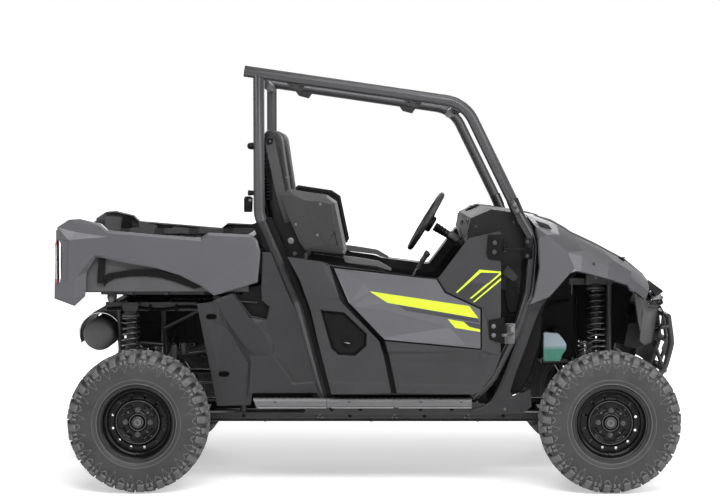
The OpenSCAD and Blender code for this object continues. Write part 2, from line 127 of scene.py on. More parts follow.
def mat(name, col, rough=0.5, metal=0.0, coat=0.0, vary=0.12, scale=6.0, grain=0.0, grain_scale=400.0,
        dust=0.0, spec=0.5, sheen=0.0, trans=0.0, ior=1.45, emit=None, wave=None, coat_rough=0.08, flake=0.0, alpha=1.0,
        rough_var=0.08, stretch=(1, 1, 1), edge=None):
    """Principled material: broad colour and roughness variation, fine grain as bump, and settled dust on upper faces."""
    if name in _mats:
        return _mats[name]
    m = new_mat(name)
    nt = m.node_tree
    N = nt.nodes.new
    lk = nt.links.new
    out = N("ShaderNodeOutputMaterial")
    b = N("ShaderNodeBsdfPrincipled")
    lk(b.outputs[0], out.inputs[0])
    b.inputs["Metallic"].default_value = metal
    b.inputs["Specular IOR Level"].default_value = spec
    b.inputs["Coat Weight"].default_value = coat
    b.inputs["Coat Roughness"].default_value = coat_rough
    b.inputs["IOR"].default_value = ior
    b.inputs["Transmission Weight"].default_value = trans
    b.inputs["Alpha"].default_value = alpha
    if sheen:
        b.inputs["Sheen Weight"].default_value = sheen
    if emit:
        b.inputs["Emission Color"].default_value = (*emit[0], 1)
        b.inputs["Emission Strength"].default_value = emit[1]
    tc = N("ShaderNodeTexCoord")
    mp = N("ShaderNodeMapping")
    mp.inputs["Scale"].default_value = stretch
    lk(tc.outputs["Object"], mp.inputs[0])
    n1 = N("ShaderNodeTexNoise")
    n1.inputs["Scale"].default_value = scale
    n1.inputs["Detail"].default_value = 6
    n1.inputs["Roughness"].default_value = 0.62
    lk(mp.outputs[0], n1.inputs["Vector"])
    ramp = N("ShaderNodeValToRGB")
    lo = tuple(max(0, c * (1 - vary)) for c in col)
    hi = tuple(min(1, c * (1 + vary)) for c in col)
    ramp.color_ramp.elements[0].position = 0.3
    ramp.color_ramp.elements[1].position = 0.7
    ramp.color_ramp.elements[0].color = (*lo, 1)
    ramp.color_ramp.elements[1].color = (*hi, 1)
    lk(n1.outputs["Fac"], ramp.inputs[0])
    color = ramp.outputs[0]
    if dust > 0:
        geo = N("ShaderNodeNewGeometry")
        sep = N("ShaderNodeSeparateXYZ")
        lk(geo.outputs["Normal"], sep.inputs[0])
        r2 = N("ShaderNodeMapRange")
        r2.inputs["From Min"].default_value = 0.2
        r2.inputs["From Max"].default_value = 1.0
        r2.inputs["To Max"].default_value = dust
        lk(sep.outputs[2], r2.inputs[0])
        mix = N("ShaderNodeMix")
        mix.data_type = "RGBA"
        mix.inputs["B"].default_value = (0.22, 0.215, 0.205, 1)
        lk(r2.outputs[0], mix.inputs["Factor"])
        lk(color, mix.inputs["A"])
        color = mix.outputs["Result"]
    if edge:
        # painted highlight: the convex corners and edges are a little paler, standing in for the light that catches
        # them
        gp = N("ShaderNodeNewGeometry")
        rp = N("ShaderNodeMapRange")
        rp.inputs["From Min"].default_value = edge[1]
        rp.inputs["From Max"].default_value = edge[2]
        lk(gp.outputs["Pointiness"], rp.inputs[0])
        me_ = N("ShaderNodeMix")
        me_.data_type = "RGBA"
        me_.inputs["B"].default_value = (*edge[0], 1)
        lk(rp.outputs[0], me_.inputs["Factor"])
        lk(color, me_.inputs["A"])
        color = me_.outputs["Result"]
    lk(color, b.inputs["Base Color"])
    mr = N("ShaderNodeMapRange")
    mr.inputs["To Min"].default_value = max(0.02, rough - rough_var)
    mr.inputs["To Max"].default_value = min(1.0, rough + rough_var)
    n2 = N("ShaderNodeTexNoise")
    n2.inputs["Scale"].default_value = scale * 3.1
    n2.inputs["Detail"].default_value = 4
    lk(mp.outputs[0], n2.inputs["Vector"])
    lk(n2.outputs["Fac"], mr.inputs[0])
    lk(mr.outputs[0], b.inputs["Roughness"])
    if grain > 0 or wave:
        bump = N("ShaderNodeBump")
        bump.inputs["Strength"].default_value = min(1.0, grain if grain > 0 else wave[1])
        bump.inputs["Distance"].default_value = 0.0006
        if wave:
            w = N("ShaderNodeTexWave")
            w.inputs["Scale"].default_value = wave[0]
            w.bands_direction = wave[2] if len(wave) > 2 else "X"
            lk(mp.outputs[0], w.inputs["Vector"])
            lk(w.outputs["Fac"], bump.inputs["Height"])
        else:
            n3 = N("ShaderNodeTexNoise")
            n3.inputs["Scale"].default_value = grain_scale
            n3.inputs["Detail"].default_value = 3
            lk(mp.outputs[0], n3.inputs["Vector"])
            lk(n3.outputs["Fac"], bump.inputs["Height"])
        lk(bump.outputs[0], b.inputs["Normal"])
    _mats[name] = m
    return m


def leather(name, col, scale=900, strength=0.5, rough=0.55):
    """Vinyl: cell grain with fine creases."""
    m = new_mat(name)
    nt = m.node_tree
    N, lk = nt.nodes.new, nt.links.new
    out = N("ShaderNodeOutputMaterial"); b = N("ShaderNodeBsdfPrincipled"); lk(b.outputs[0], out.inputs[0])
    tc = N("ShaderNodeTexCoord")
    v = N("ShaderNodeTexVoronoi"); v.inputs["Scale"].default_value = scale * 0.35
    n = N("ShaderNodeTexNoise"); n.inputs["Scale"].default_value = 9; n.inputs["Detail"].default_value = 6
    lk(tc.outputs["Object"], v.inputs["Vector"]); lk(tc.outputs["Object"], n.inputs["Vector"])
    r = N("ShaderNodeValToRGB")
    r.color_ramp.elements[0].color = (*[c * 0.8 for c in col], 1); r.color_ramp.elements[1].color = (*[c * 1.25 for c in col], 1)
    lk(n.outputs["Fac"], r.inputs[0]); lk(r.outputs[0], b.inputs["Base Color"])
    b.inputs["Roughness"].default_value = rough
    b.inputs["Specular IOR Level"].default_value = 0.20
    bm_ = N("ShaderNodeBump"); bm_.inputs["Strength"].default_value = strength; bm_.inputs["Distance"].default_value = 0.0004
    lk(v.outputs["Distance"], bm_.inputs["Height"]); lk(bm_.outputs[0], b.inputs["Normal"])
    _mats[name] = m
    return m


M_PAINT = mat("paint_gloss", (0.050, 0.050, 0.055), rough=0.36, metal=0.12, coat=0.10, vary=0.05, scale=3, grain=0.012, grain_scale=900, rough_var=0.015, coat_rough=0.12, spec=0.3)
M_PLASTIC = mat("plastic_dark", (0.017, 0.017, 0.0182), rough=0.46, vary=0.12, scale=5, grain=0.35, grain_scale=900, spec=0.18)
M_DOOR = mat("plastic_door", (0.021, 0.021, 0.0223), rough=0.42, vary=0.10, scale=5, grain=0.32, grain_scale=900, spec=0.20)
M_BLACK = mat("plastic_black", (0.0035, 0.0035, 0.0036), rough=0.5, vary=0.15, scale=6, grain=0.3, grain_scale=800, spec=0.09)
M_CAGE = mat("cage_satin", (0.032, 0.032, 0.034), rough=0.36, metal=0.2, vary=0.08, scale=8, grain=0.02, grain_scale=240, spec=0.38)
M_CAGEX = mat("cage_cross", (0.022, 0.022, 0.023), rough=0.55, vary=0.08, scale=8, grain=0.02, grain_scale=240, spec=0.12)
M_CAGE2 = mat("cage_black", (0.010, 0.010, 0.011), rough=0.22, metal=0.1, vary=0.1, scale=8, grain=0.1, grain_scale=1600)
M_FRAME = mat("frame_black", (0.009, 0.009, 0.0095), rough=0.36, metal=0.2, vary=0.2, scale=9, grain=0.15, grain_scale=900, dust=0.03)
M_ENGINE = mat("engine_cast", (0.03, 0.03, 0.031), rough=0.6, metal=0.6, vary=0.3, scale=12, grain=0.6, grain_scale=260)
M_CAST = mat("cast_black", (0.035, 0.035, 0.037), rough=0.55, metal=0.5, vary=0.2, scale=14, grain=0.5, grain_scale=300)
M_EXH = mat("exhaust_matt", (0.06, 0.06, 0.062), rough=0.55, metal=0.4, vary=0.15, scale=8, grain=0.2, grain_scale=500)
M_CHROME = mat("chrome_edge", (0.72, 0.72, 0.73), rough=0.14, metal=1.0, vary=0.05, scale=10)
M_ZINC = mat("zinc_bolt", (0.12, 0.12, 0.123), rough=0.40, metal=1.0, vary=0.12, scale=60)
M_BOLT = mat("dark_bolt", (0.05, 0.05, 0.052), rough=0.35, metal=0.8, vary=0.2, scale=60)
M_SPRING = mat("spring_gloss", (0.012, 0.012, 0.013), rough=0.2, coat=0.6, vary=0.1, scale=20)
M_ROD = mat("damper_rod", (0.5, 0.5, 0.51), rough=0.15, metal=1.0, vary=0.05, scale=30)
# the paler convex edges given to the tyre and the rim below are painted highlights
M_TYRE = mat("tyre_rubber", (0.020, 0.020, 0.0206), rough=0.52, vary=0.25, scale=11, grain=0.35, grain_scale=500, spec=0.34, edge=((0.085, 0.085, 0.085), 0.52, 0.60))
M_RIM = mat("rim_satin", (0.0035, 0.0035, 0.0037), rough=0.24, metal=0.05, vary=0.12, scale=12, grain=0.03, grain_scale=400, spec=0.16, edge=((0.075, 0.075, 0.076), 0.53, 0.60))
M_LIME = mat("lime_stripe", (0.34, 0.42, 0.006), rough=0.4, vary=0.03, scale=5, coat=0.1)
M_GREYBAR = mat("sill_grey", (0.058, 0.058, 0.060), rough=0.42, vary=0.08, scale=5, grain=0.2, grain_scale=900)
M_SHIELD = mat("shield_steel", (0.085, 0.083, 0.080), rough=0.42, metal=0.7, vary=0.25, scale=14, grain=0.05, grain_scale=300)
M_LENSD = mat("lens_smoked", (0.20, 0.205, 0.21), rough=0.06, trans=0.92, vary=0.02, ior=1.49, coat=0.2)
M_LENS = mat("lens_clear", (0.86, 0.88, 0.9), rough=0.08, trans=0.75, vary=0.02, ior=1.49, coat=0.2)
M_REFL = mat("reflector", (0.8, 0.8, 0.82), rough=0.12, metal=1.0, vary=0.04, scale=40)
M_RED = mat("lamp_red", (0.35, 0.012, 0.01), rough=0.15, coat=0.5, vary=0.05)
M_SEAT = leather("seat_vinyl", (0.010, 0.010, 0.0105))
M_SEAT2 = leather("seat_panel", (0.017, 0.017, 0.018), rough=0.6)
M_STITCH = mat("stitching", (0.10, 0.10, 0.105), rough=0.7, vary=0.1, scale=50)
M_BELT = mat("belt_webbing", (0.02, 0.02, 0.021), rough=0.7, vary=0.1, wave=(260, 0.8, "Z"), sheen=0.3)
M_GRIP = mat("grip_rubber", (0.016, 0.016, 0.017), rough=0.6, vary=0.1, grain=0.4, grain_scale=700)
M_ROPE = mat("cable_black", (0.012, 0.012, 0.013), rough=0.45, vary=0.1)


def bottle_mat():
    """Translucent reservoir: coolant shows green below its level."""
    m = new_mat("bottle")
    nt = m.node_tree
    N, lk = nt.nodes.new, nt.links.new
    out = N("ShaderNodeOutputMaterial"); b = N("ShaderNodeBsdfPrincipled"); lk(b.outputs[0], out.inputs[0])
    tc = N("ShaderNodeTexCoord"); s = N("ShaderNodeSeparateXYZ"); lk(tc.outputs["Object"], s.inputs[0])
    n = N("ShaderNodeTexNoise"); n.inputs["Scale"].default_value = 14; lk(tc.outputs["Object"], n.inputs["Vector"])
    ad = N("ShaderNodeMath"); ad.operation = "MULTIPLY_ADD"; ad.inputs[1].default_value = 0.01
    lk(n.outputs["Fac"], ad.inputs[0]); lk(s.outputs[2], ad.inputs[2])
    r = N("ShaderNodeMapRange"); r.inputs["From Min"].default_value = 0.612; r.inputs["From Max"].default_value = 0.632
    lk(ad.outputs[0], r.inputs[0])
    mx = N("ShaderNodeMix"); mx.data_type = "RGBA"
    mx.inputs["A"].default_value = (0.05, 0.19, 0.14, 1); mx.inputs["B"].default_value = (0.27, 0.33, 0.37, 1)
    lk(r.outputs[0], mx.inputs["Factor"]); lk(mx.outputs["Result"], b.inputs["Base Color"])
    b.inputs["Roughness"].default_value = 0.3
    b.inputs["Subsurface Weight"].default_value = 0.15
    b.inputs["Subsurface Radius"].default_value = (0.01, 0.01, 0.01)
    _mats["bottle"] = m
    return m


M_BOTTLE = bottle_mat()

# ------------------------------------------------------------------ mesh helpers
COL = scene.collection


def obj_from(name, verts, faces, mats=None, smooth=True, face_mats=None):
    me = bpy.data.meshes.new(name)
    me.from_pydata([tuple(v) for v in verts], [], [tuple(f) for f in faces])
    me.validate()
    o = bpy.data.objects.new(name, me)
    COL.objects.link(o)
    for m in (mats or []):
        me.materials.append(m)
    if face_mats is not None:
        me.polygons.foreach_set("material_index", face_mats)
    if smooth:
        me.polygons.foreach_set("use_smooth", [True] * len(me.polygons))
    me.update()
    return o


class Build:
    """Collects verts, faces and material indices for one joined mesh."""
    def __init__(self, *mats):
        self.v, self.f, self.m, self.s = [], [], [], []
        self.mats = list(mats)

    def mi(self, m):
        if m not in self.mats:
            self.mats.append(m)
        return self.mats.index(m)

    def add(self, verts, faces, m=None, smooth=True, M=None):
        k = len(self.v)
        if M is not None:
            verts = [M @ Vector(v) for v in verts]
            flip = M.to_3x3().determinant() < 0
        else:
            flip = False
        self.v.extend([tuple(v) for v in verts])
        i = self.mi(m) if m is not None else 0
        for f in faces:
            g = [k + q for q in f]
            self.f.append(g[::-1] if flip else g)
            self.m.append(i)
            self.s.append(smooth)
        return self

    def mirror_y(self):
        k = len(self.v)
        self.v.extend([(x, -y, z) for x, y, z in self.v[:k]])
        n = len(self.f)
        for i in range(n):
            self.f.append([q + k for q in self.f[i]][::-1])
            self.m.append(self.m[i])
            self.s.append(self.s[i])
        return self

    def obj(self, name, bevel=None, seg=2, angle=35, sub=0, weld=False, crisp=None):
        me = bpy.data.meshes.new(name)
        me.from_pydata(self.v, [], self.f)
        for m in self.mats:
            me.materials.append(m)
        me.polygons.foreach_set("material_index", self.m)
        me.polygons.foreach_set("use_smooth", self.s)
        me.update()
        o = bpy.data.objects.new(name, me)
        COL.objects.link(o)
        bm = bmesh.new()
        bm.from_mesh(me)
        if weld:
            bmesh.ops.remove_doubles(bm, verts=bm.verts, dist=1e-5)
        bmesh.ops.recalc_face_normals(bm, faces=bm.faces)
        if crisp:
            for e in bm.edges:
                if len(e.link_faces) == 2 and e.calc_face_angle(0) > math.radians(crisp):
                    e.smooth = False
        bm.to_mesh(me)
        bm.free()
        if bevel:
            md = o.modifiers.new("bevel", "BEVEL")
            md.width = bevel
            md.segments = seg
            md.limit_method = "ANGLE"
            md.angle_limit = math.radians(angle)
            md.harden_normals = False
            me.polygons.foreach_set("use_smooth", [True] * len(me.polygons))
            wn = o.modifiers.new("wn", "WEIGHTED_NORMAL")
            wn.keep_sharp = bool(crisp)
        if sub:
            md = o.modifiers.new("sub", "SUBSURF")
            md.levels = sub
            md.render_levels = sub
        return o


def g_box(a, b):
    x0, y0, z0 = a; x1, y1, z1 = b
    v = [(x0, y0, z0), (x1, y0, z0), (x1, y1, z0), (x0, y1, z0), (x0, y0, z1), (x1, y0, z1), (x1, y1, z1), (x0, y1, z1)]
    f = [(0, 3, 2, 1), (4, 5, 6, 7), (0, 1, 5, 4), (1, 2, 6, 5), (2, 3, 7, 6), (3, 0, 4, 7)]
    return v, f


def frame_of(d, hint=Vector((0, 1, 0))):
    d = d.normalized()
    u = hint - d * hint.dot(d)
    if u.length < 1e-3:
        u = Vector((1, 0, 0)) - d * d.x
    u.normalize()
    return u, d.cross(u)


def g_tube(p, r, n=16, caps=True, hint=Vector((0, 1, 0)), closed=False):
    """Tube along points p; r is a number or one radius a point. Parallel transport keeps it from twisting."""
    p = [Vector(q) for q in p]
    k = len(p)
    rs = [r] * k if not hasattr(r, "__len__") else r
    v, f = [], []
    u = None
    for i in range(k):
        if closed:
            t = (p[(i + 1) % k] - p[(i - 1) % k])
        else:
            t = p[min(i + 1, k - 1)] - p[max(i - 1, 0)]
        t.normalize()
        if u is None:
            u, w = frame_of(t, hint)
        else:
            u = u - t * u.dot(t)
            u.normalize()
            w = t.cross(u)
        for j in range(n):
            a = 2 * math.pi * j / n
            v.append(p[i] + (u * math.cos(a) + w * math.sin(a)) * rs[i])
    m = k if closed else k - 1
    for i in range(m):
        for j in range(n):
            a, b = i * n + j, i * n + (j + 1) % n
            c, d = ((i + 1) % k) * n + (j + 1) % n, ((i + 1) % k) * n + j
            f.append((a, b, c, d))
    if caps and not closed:
        f.append(tuple(range(n))[::-1])
        f.append(tuple((k - 1) * n + j for j in range(n)))
    return v, f


def g_cyl(a, b, r, n=24, r2=None, ch=0.0):
    """Cylinder from a to b with an optional chamfer ch."""
    a, b = Vector(a), Vector(b)
    r2 = r if r2 is None else r2
    d = (b - a).normalized()
    if ch > 0:
        return g_tube([a, a + d * ch, b - d * ch, b], [r - ch, r, r2, r2 - ch], n)
    return g_tube([a, b], [r, r2], n)


def g_lathe(prof, n=48, axis="Y", close=False):
    """Revolves (radius, height) points; height runs along the axis."""
    v, f = [], []
    k = len(prof)
    for i in range(n):
        a = 2 * math.pi * i / n
        for r, h in prof:
            x, z = r * math.cos(a), r * math.sin(a)
            v.append((x, h, z) if axis == "Y" else ((x, z, h) if axis == "Z" else (h, x, z)))
    m = k if close else k - 1
    for i in range(n):
        for j in range(m):
            a, b = i * k + j, i * k + (j + 1) % k
            c, d = ((i + 1) % n) * k + (j + 1) % k, ((i + 1) % n) * k + j
            f.append((a, b, c, d))
    return v, f


def g_plate(outline, y0, y1):
    """Prism of an outline in X and Z between y0 and y1, with its two faces as single polygons."""
    n = len(outline)
    v = [(x, y0, z) for x, z in outline] + [(x, y1, z) for x, z in outline]
    f = [tuple(range(n)), tuple(range(n, 2 * n))[::-1]]
    for i in range(n):
        j = (i + 1) % n
        f.append((i, i + n, j + n, j))
    return v, f


def g_hex(c, d, r, h, n=6):
    c = Vector(c); d = Vector(d).normalized()
    return g_tube([c, c + d * (h - 0.0012), c + d * h], [r, r, r - 0.0015], n)


def rounded(outline, r, n=4):
    """Rounds the corners of a closed outline."""
    out = []
    k = len(outline)
    for i in range(k):
        a, b, c = Vector(outline[i - 1]), Vector(outline[i]), Vector(outline[(i + 1) % k])
        u, w = (a - b), (c - b)
        t = min(r, u.length * 0.45, w.length * 0.45)
        p0, p1 = b + u.normalized() * t, b + w.normalized() * t
        for q in range(n + 1):
            s = q / n
            out.append(tuple((1 - s) ** 2 * p0 + 2 * s * (1 - s) * b + s * s * p1))
    return out


def smooth_path(pts, n=8):
    """Catmull-Rom through the points."""
    p = [Vector(q) for q in pts]
    p = [p[0] * 2 - p[1]] + p + [p[-1] * 2 - p[-2]]
    out = []
    for i in range(1, len(p) - 2):
        for q in range(n):
            t = q / n
            out.append(0.5 * ((2 * p[i]) + (p[i + 1] - p[i - 1]) * t + (2 * p[i - 1] - 5 * p[i] + 4 * p[i + 1] - p[i + 2]) * t * t
                              + (3 * p[i] - p[i - 1] - 3 * p[i + 1] + p[i + 2]) * t ** 3))
    out.append(p[-2])
    return out


def bent(pts, radii, n=10):
    p = [Vector(q) for q in pts]
    out = [p[0]]
    for i in range(1, len(p) - 1):
        a, b, c = p[i - 1], p[i], p[i + 1]
        u, w = (a - b).normalized(), (c - b).normalized()
        h = u.angle(w) / 2
        t = radii[i - 1] / math.tan(h)
        m = (u + w).normalized()
        o = b + m * (radii[i - 1] / math.sin(h))
        s0, s1 = b + u * t - o, b + w * t - o
        for q in range(n + 1):
            k = (s0 * (n - q) / n + s1 * q / n).normalized() * radii[i - 1]
            out.append(o + k)
    out.append(p[-1])
    return out


def finish(o, body, node=None):
    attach(o, body)
    if node:
        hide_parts(*([node] if isinstance(node, str) else node))
    return o

# ------------------------------------------------------------------ tyres and rims


def tyre_mesh(name, w):
    """Carcass with raised tread: side lugs that wrap over the shoulder, centre chevrons and sidewall bars. Axis along Y, outer side +Y."""
    hw = w / 2
    # carcass half profile from the bead to the crown: (radius, side)
    half = [(0.1535, 0.60), (0.1545, 0.74), (0.160, 0.765), (0.1685, 0.79), (0.174, 0.865), (0.184, 0.925), (0.200, 0.962),
            (0.222, 0.972), (0.245, 0.962), (0.265, 0.93), (0.280, 0.875), (0.291, 0.79), (0.2975, 0.66), (0.3005, 0.45), (0.302, 0.2), (0.3025, 0.0)]
    pts = [(r, -s * hw) for r, s in half] + [(r, s * hw) for r, s in half[-2::-1]]
    P = smooth_path([(y, r, 0) for r, y in pts], 3)
    prof = [(q.y, q.x) for q in P]
    B = Build(M_TYRE)
    inner = [(0.1535, 0.28 * w), (0.175, 0.36 * w), (0.21, 0.42 * w), (0.26, 0.40 * w), (0.286, 0.30 * w), (0.29, 0.0),
             (0.286, -0.30 * w), (0.26, -0.40 * w), (0.21, -0.42 * w), (0.175, -0.36 * w), (0.1535, -0.28 * w)]
    v, f = g_lathe(prof + inner, 120, close=True)
    B.add(v, f, M_TYRE)
    # rim protector rings and a moulded ring on the sidewall
    for s in (1, -1):
        for r0, y0, h in ((0.1775, 0.895, 0.0022), (0.196, 0.958, 0.0014)):
            ring = [(r0 - 0.003, s * y0 * hw - s * 0.002), (r0 - 0.0015, s * (y0 * hw + h)), (r0 + 0.0015, s * (y0 * hw + h + 0.0008)), (r0 + 0.003, s * (y0 * hw + 0.001))]
            v, f = g_lathe(ring, 120)
            B.add(v, f, M_TYRE)
    # arc length table over the carcass, 0 at the crown, positive to +Y
    arr = np.array(prof)
    seg = np.hypot(np.diff(arr[:, 0]), np.diff(arr[:, 1]))
    s = np.concatenate([[0], np.cumsum(seg)])
    s -= np.interp(0.0, arr[:, 1], s)

    def surf(t):
        r, y = np.interp(t, s, arr[:, 0]), np.interp(t, s, arr[:, 1])
        e = 0.004
        dr = np.interp(t + e, s, arr[:, 0]) - np.interp(t - e, s, arr[:, 0])
        dy = np.interp(t + e, s, arr[:, 1]) - np.interp(t - e, s, arr[:, 1])
        l = math.hypot(dr, dy)
        return r, y, dy / l, -dr / l      # point and outward normal (radial, side)

    def lug(line, wid, h0, h1, inset=0.0022, k=None, body=B, hfun=None):
        """A raised bar that follows line = [(t, arc offset m)] with width wid; its height runs from h0 to h1."""
        k = k or max(2, int(abs(line[-1][0] - line[0][0]) / 0.012) + 1)
        n = len(line) - 1
        cs = []
        for i in range(k * n + 1):
            q = i / (k * n) * n
            a = min(int(q), n - 1)
            u = q - a
            t = line[a][0] * (1 - u) + line[a + 1][0] * u
            c = line[a][1] * (1 - u) + line[a + 1][1] * u
            ww = (wid[0] * (1 - i / (k * n)) + wid[1] * i / (k * n)) if hasattr(wid, "__len__") else wid
            cs.append((t, c, ww, h0 + (h1 - h0) * i / (k * n)))
        verts, faces = [], []
        m = len(cs)
        for i, (t, c, ww, h) in enumerate(cs):
            tt = t
            if i == 0:
                tt_top = t + math.copysign(inset, line[-1][0] - line[0][0])
            elif i == m - 1:
                tt_top = t - math.copysign(inset, line[-1][0] - line[0][0])
            else:
                tt_top = t
            for (ts, off, hh) in ((tt, -ww / 2 - 0.0015, -0.003), (tt_top, -ww / 2 + inset, h), (tt_top, ww / 2 - inset, h), (tt, ww / 2 + 0.0015, -0.003)):
                r, y, nr, ny = surf(ts)
                R = r + nr * hh
                yy = y + ny * hh
                R = min(R, 0.3154)
                a = (c + off) / 0.300
                verts.append((a, R, yy))
        for i in range(m - 1):
            for j in range(3):
                a0 = i * 4 + j
                faces.append((a0, a0 + 4, a0 + 5, a0 + 1))
        faces.append((0, 1, 2, 3))
        faces.append((4 * m - 4, 4 * m - 1, 4 * m - 2, 4 * m - 3))
        return verts, faces

    LU = Build(M_TYRE)
    NP = 20
    pitch = 2 * math.pi / NP
    sh = 0.66 * hw / 0.97                      # arc length to the edge of the tread's flat part
    tmax = float(s[-1])

    def arc_of_radius(rr):
        # arc length on the +Y sidewall where the carcass radius falls to rr
        idx = len(arr) // 2
        return float(np.interp(-rr, -arr[idx - 12:, 0], s[idx - 12:]))
    t280, t262, t240, t225 = (arc_of_radius(x) for x in (0.286, 0.268, 0.247, 0.228))
    protos = []
    for sd in (1, -1):
        ph = 0.0 if sd > 0 else 0.5
        # long shoulder lug, short shoulder lug, both bent in plan
        protos.append((lug([(sd * sh * 0.52, -0.012), (sd * sh * 0.95, 0.0), (sd * t262, 0.004)], (0.030, 0.036), 0.0138, 0.0075), ph))
        protos.append((lug([(sd * sh * 0.72, 0.006), (sd * sh * 1.02, 0.0), (sd * t280, -0.002)], (0.024, 0.030), 0.0138, 0.0095), ph + 0.5))
        # twin studs below the short lug
        protos.append((lug([(sd * (t280 + 0.006), -0.010), (sd * (t262 + 0.002), -0.011)], 0.013, 0.0075, 0.006, 0.0015), ph + 0.5))
        protos.append((lug([(sd * (t280 + 0.006), 0.010), (sd * (t262 + 0.002), 0.011)], 0.013, 0.0075, 0.006, 0.0015), ph + 0.5))
        # shallow sidewall chevrons
        protos.append((lug([(sd * (t262 + 0.004), 0.016), (sd * t240, 0.002)], 0.009, 0.0045, 0.003, 0.0012), ph))
        protos.append((lug([(sd * (t262 + 0.004), -0.016), (sd * t240, -0.002)], 0.009, 0.0045, 0.003, 0.0012), ph))
        protos.append((lug([(sd * t262, 0.018), (sd * t225, 0.0)], 0.006, 0.0028, 0.002, 0.001), ph + 0.5))
        protos.append((lug([(sd * t262, -0.018), (sd * t225, 0.0)], 0.006, 0.0028, 0.002, 0.001), ph + 0.5))
        # centre blocks, slanted
        protos.append((lug([(sd * 0.004, -0.020), (sd * sh * 0.42, 0.010)], (0.026, 0.030), 0.0132, 0.0135), ph + 0.25))
        protos.append((lug([(sd * sh * 0.30, -0.022), (sd * sh * 0.62, -0.030)], (0.020, 0.022), 0.0132, 0.0135), ph + 0.62))
    for (v, f), ph in protos:
        for i in range(NP):
            a0 = (i + ph) * pitch
            vv = [(R * math.cos(a + a0), y, R * math.sin(a + a0)) for a, R, y in v]
            LU.add(vv, f, M_TYRE)
    # mould vent nubs round the shoulder would be too small to see; sipes are left to the lugs' gaps
    body = B.obj(name, weld=False)
    lugs = LU.obj(name + "_lugs", bevel=0.0014, seg=1, angle=30)
    return body, lugs


def join(objs, name):
    """Applies each object's modifiers and joins them."""
    dg = bpy.context.evaluated_depsgraph_get()
    dg.update()
    bm = bmesh.new()
    mats = []
    for o in objs:
        ev = o.evaluated_get(dg)
        me = bpy.data.meshes.new_from_object(ev)
        idx = []
        for m in me.materials:
            if m not in mats:
                mats.append(m)
            idx.append(mats.index(m))
        me.transform(o.matrix_world)
        k = len(bm.faces)
        bm.from_mesh(me)
        bm.faces.ensure_lookup_table()
        for i in range(k, len(bm.faces)):
            fc = bm.faces[i]
            fc.material_index = idx[fc.material_index] if idx else 0
        bpy.data.meshes.remove(me)
        old = o.data
        bpy.data.objects.remove(o)
        if old.users == 0:
            bpy.data.meshes.remove(old)
    out = bpy.data.meshes.new(name)
    bm.to_mesh(out)
    bm.free()
    for m in mats:
        out.materials.append(m)
    o = bpy.data.objects.new(name, out)
    COL.objects.link(o)
    return o


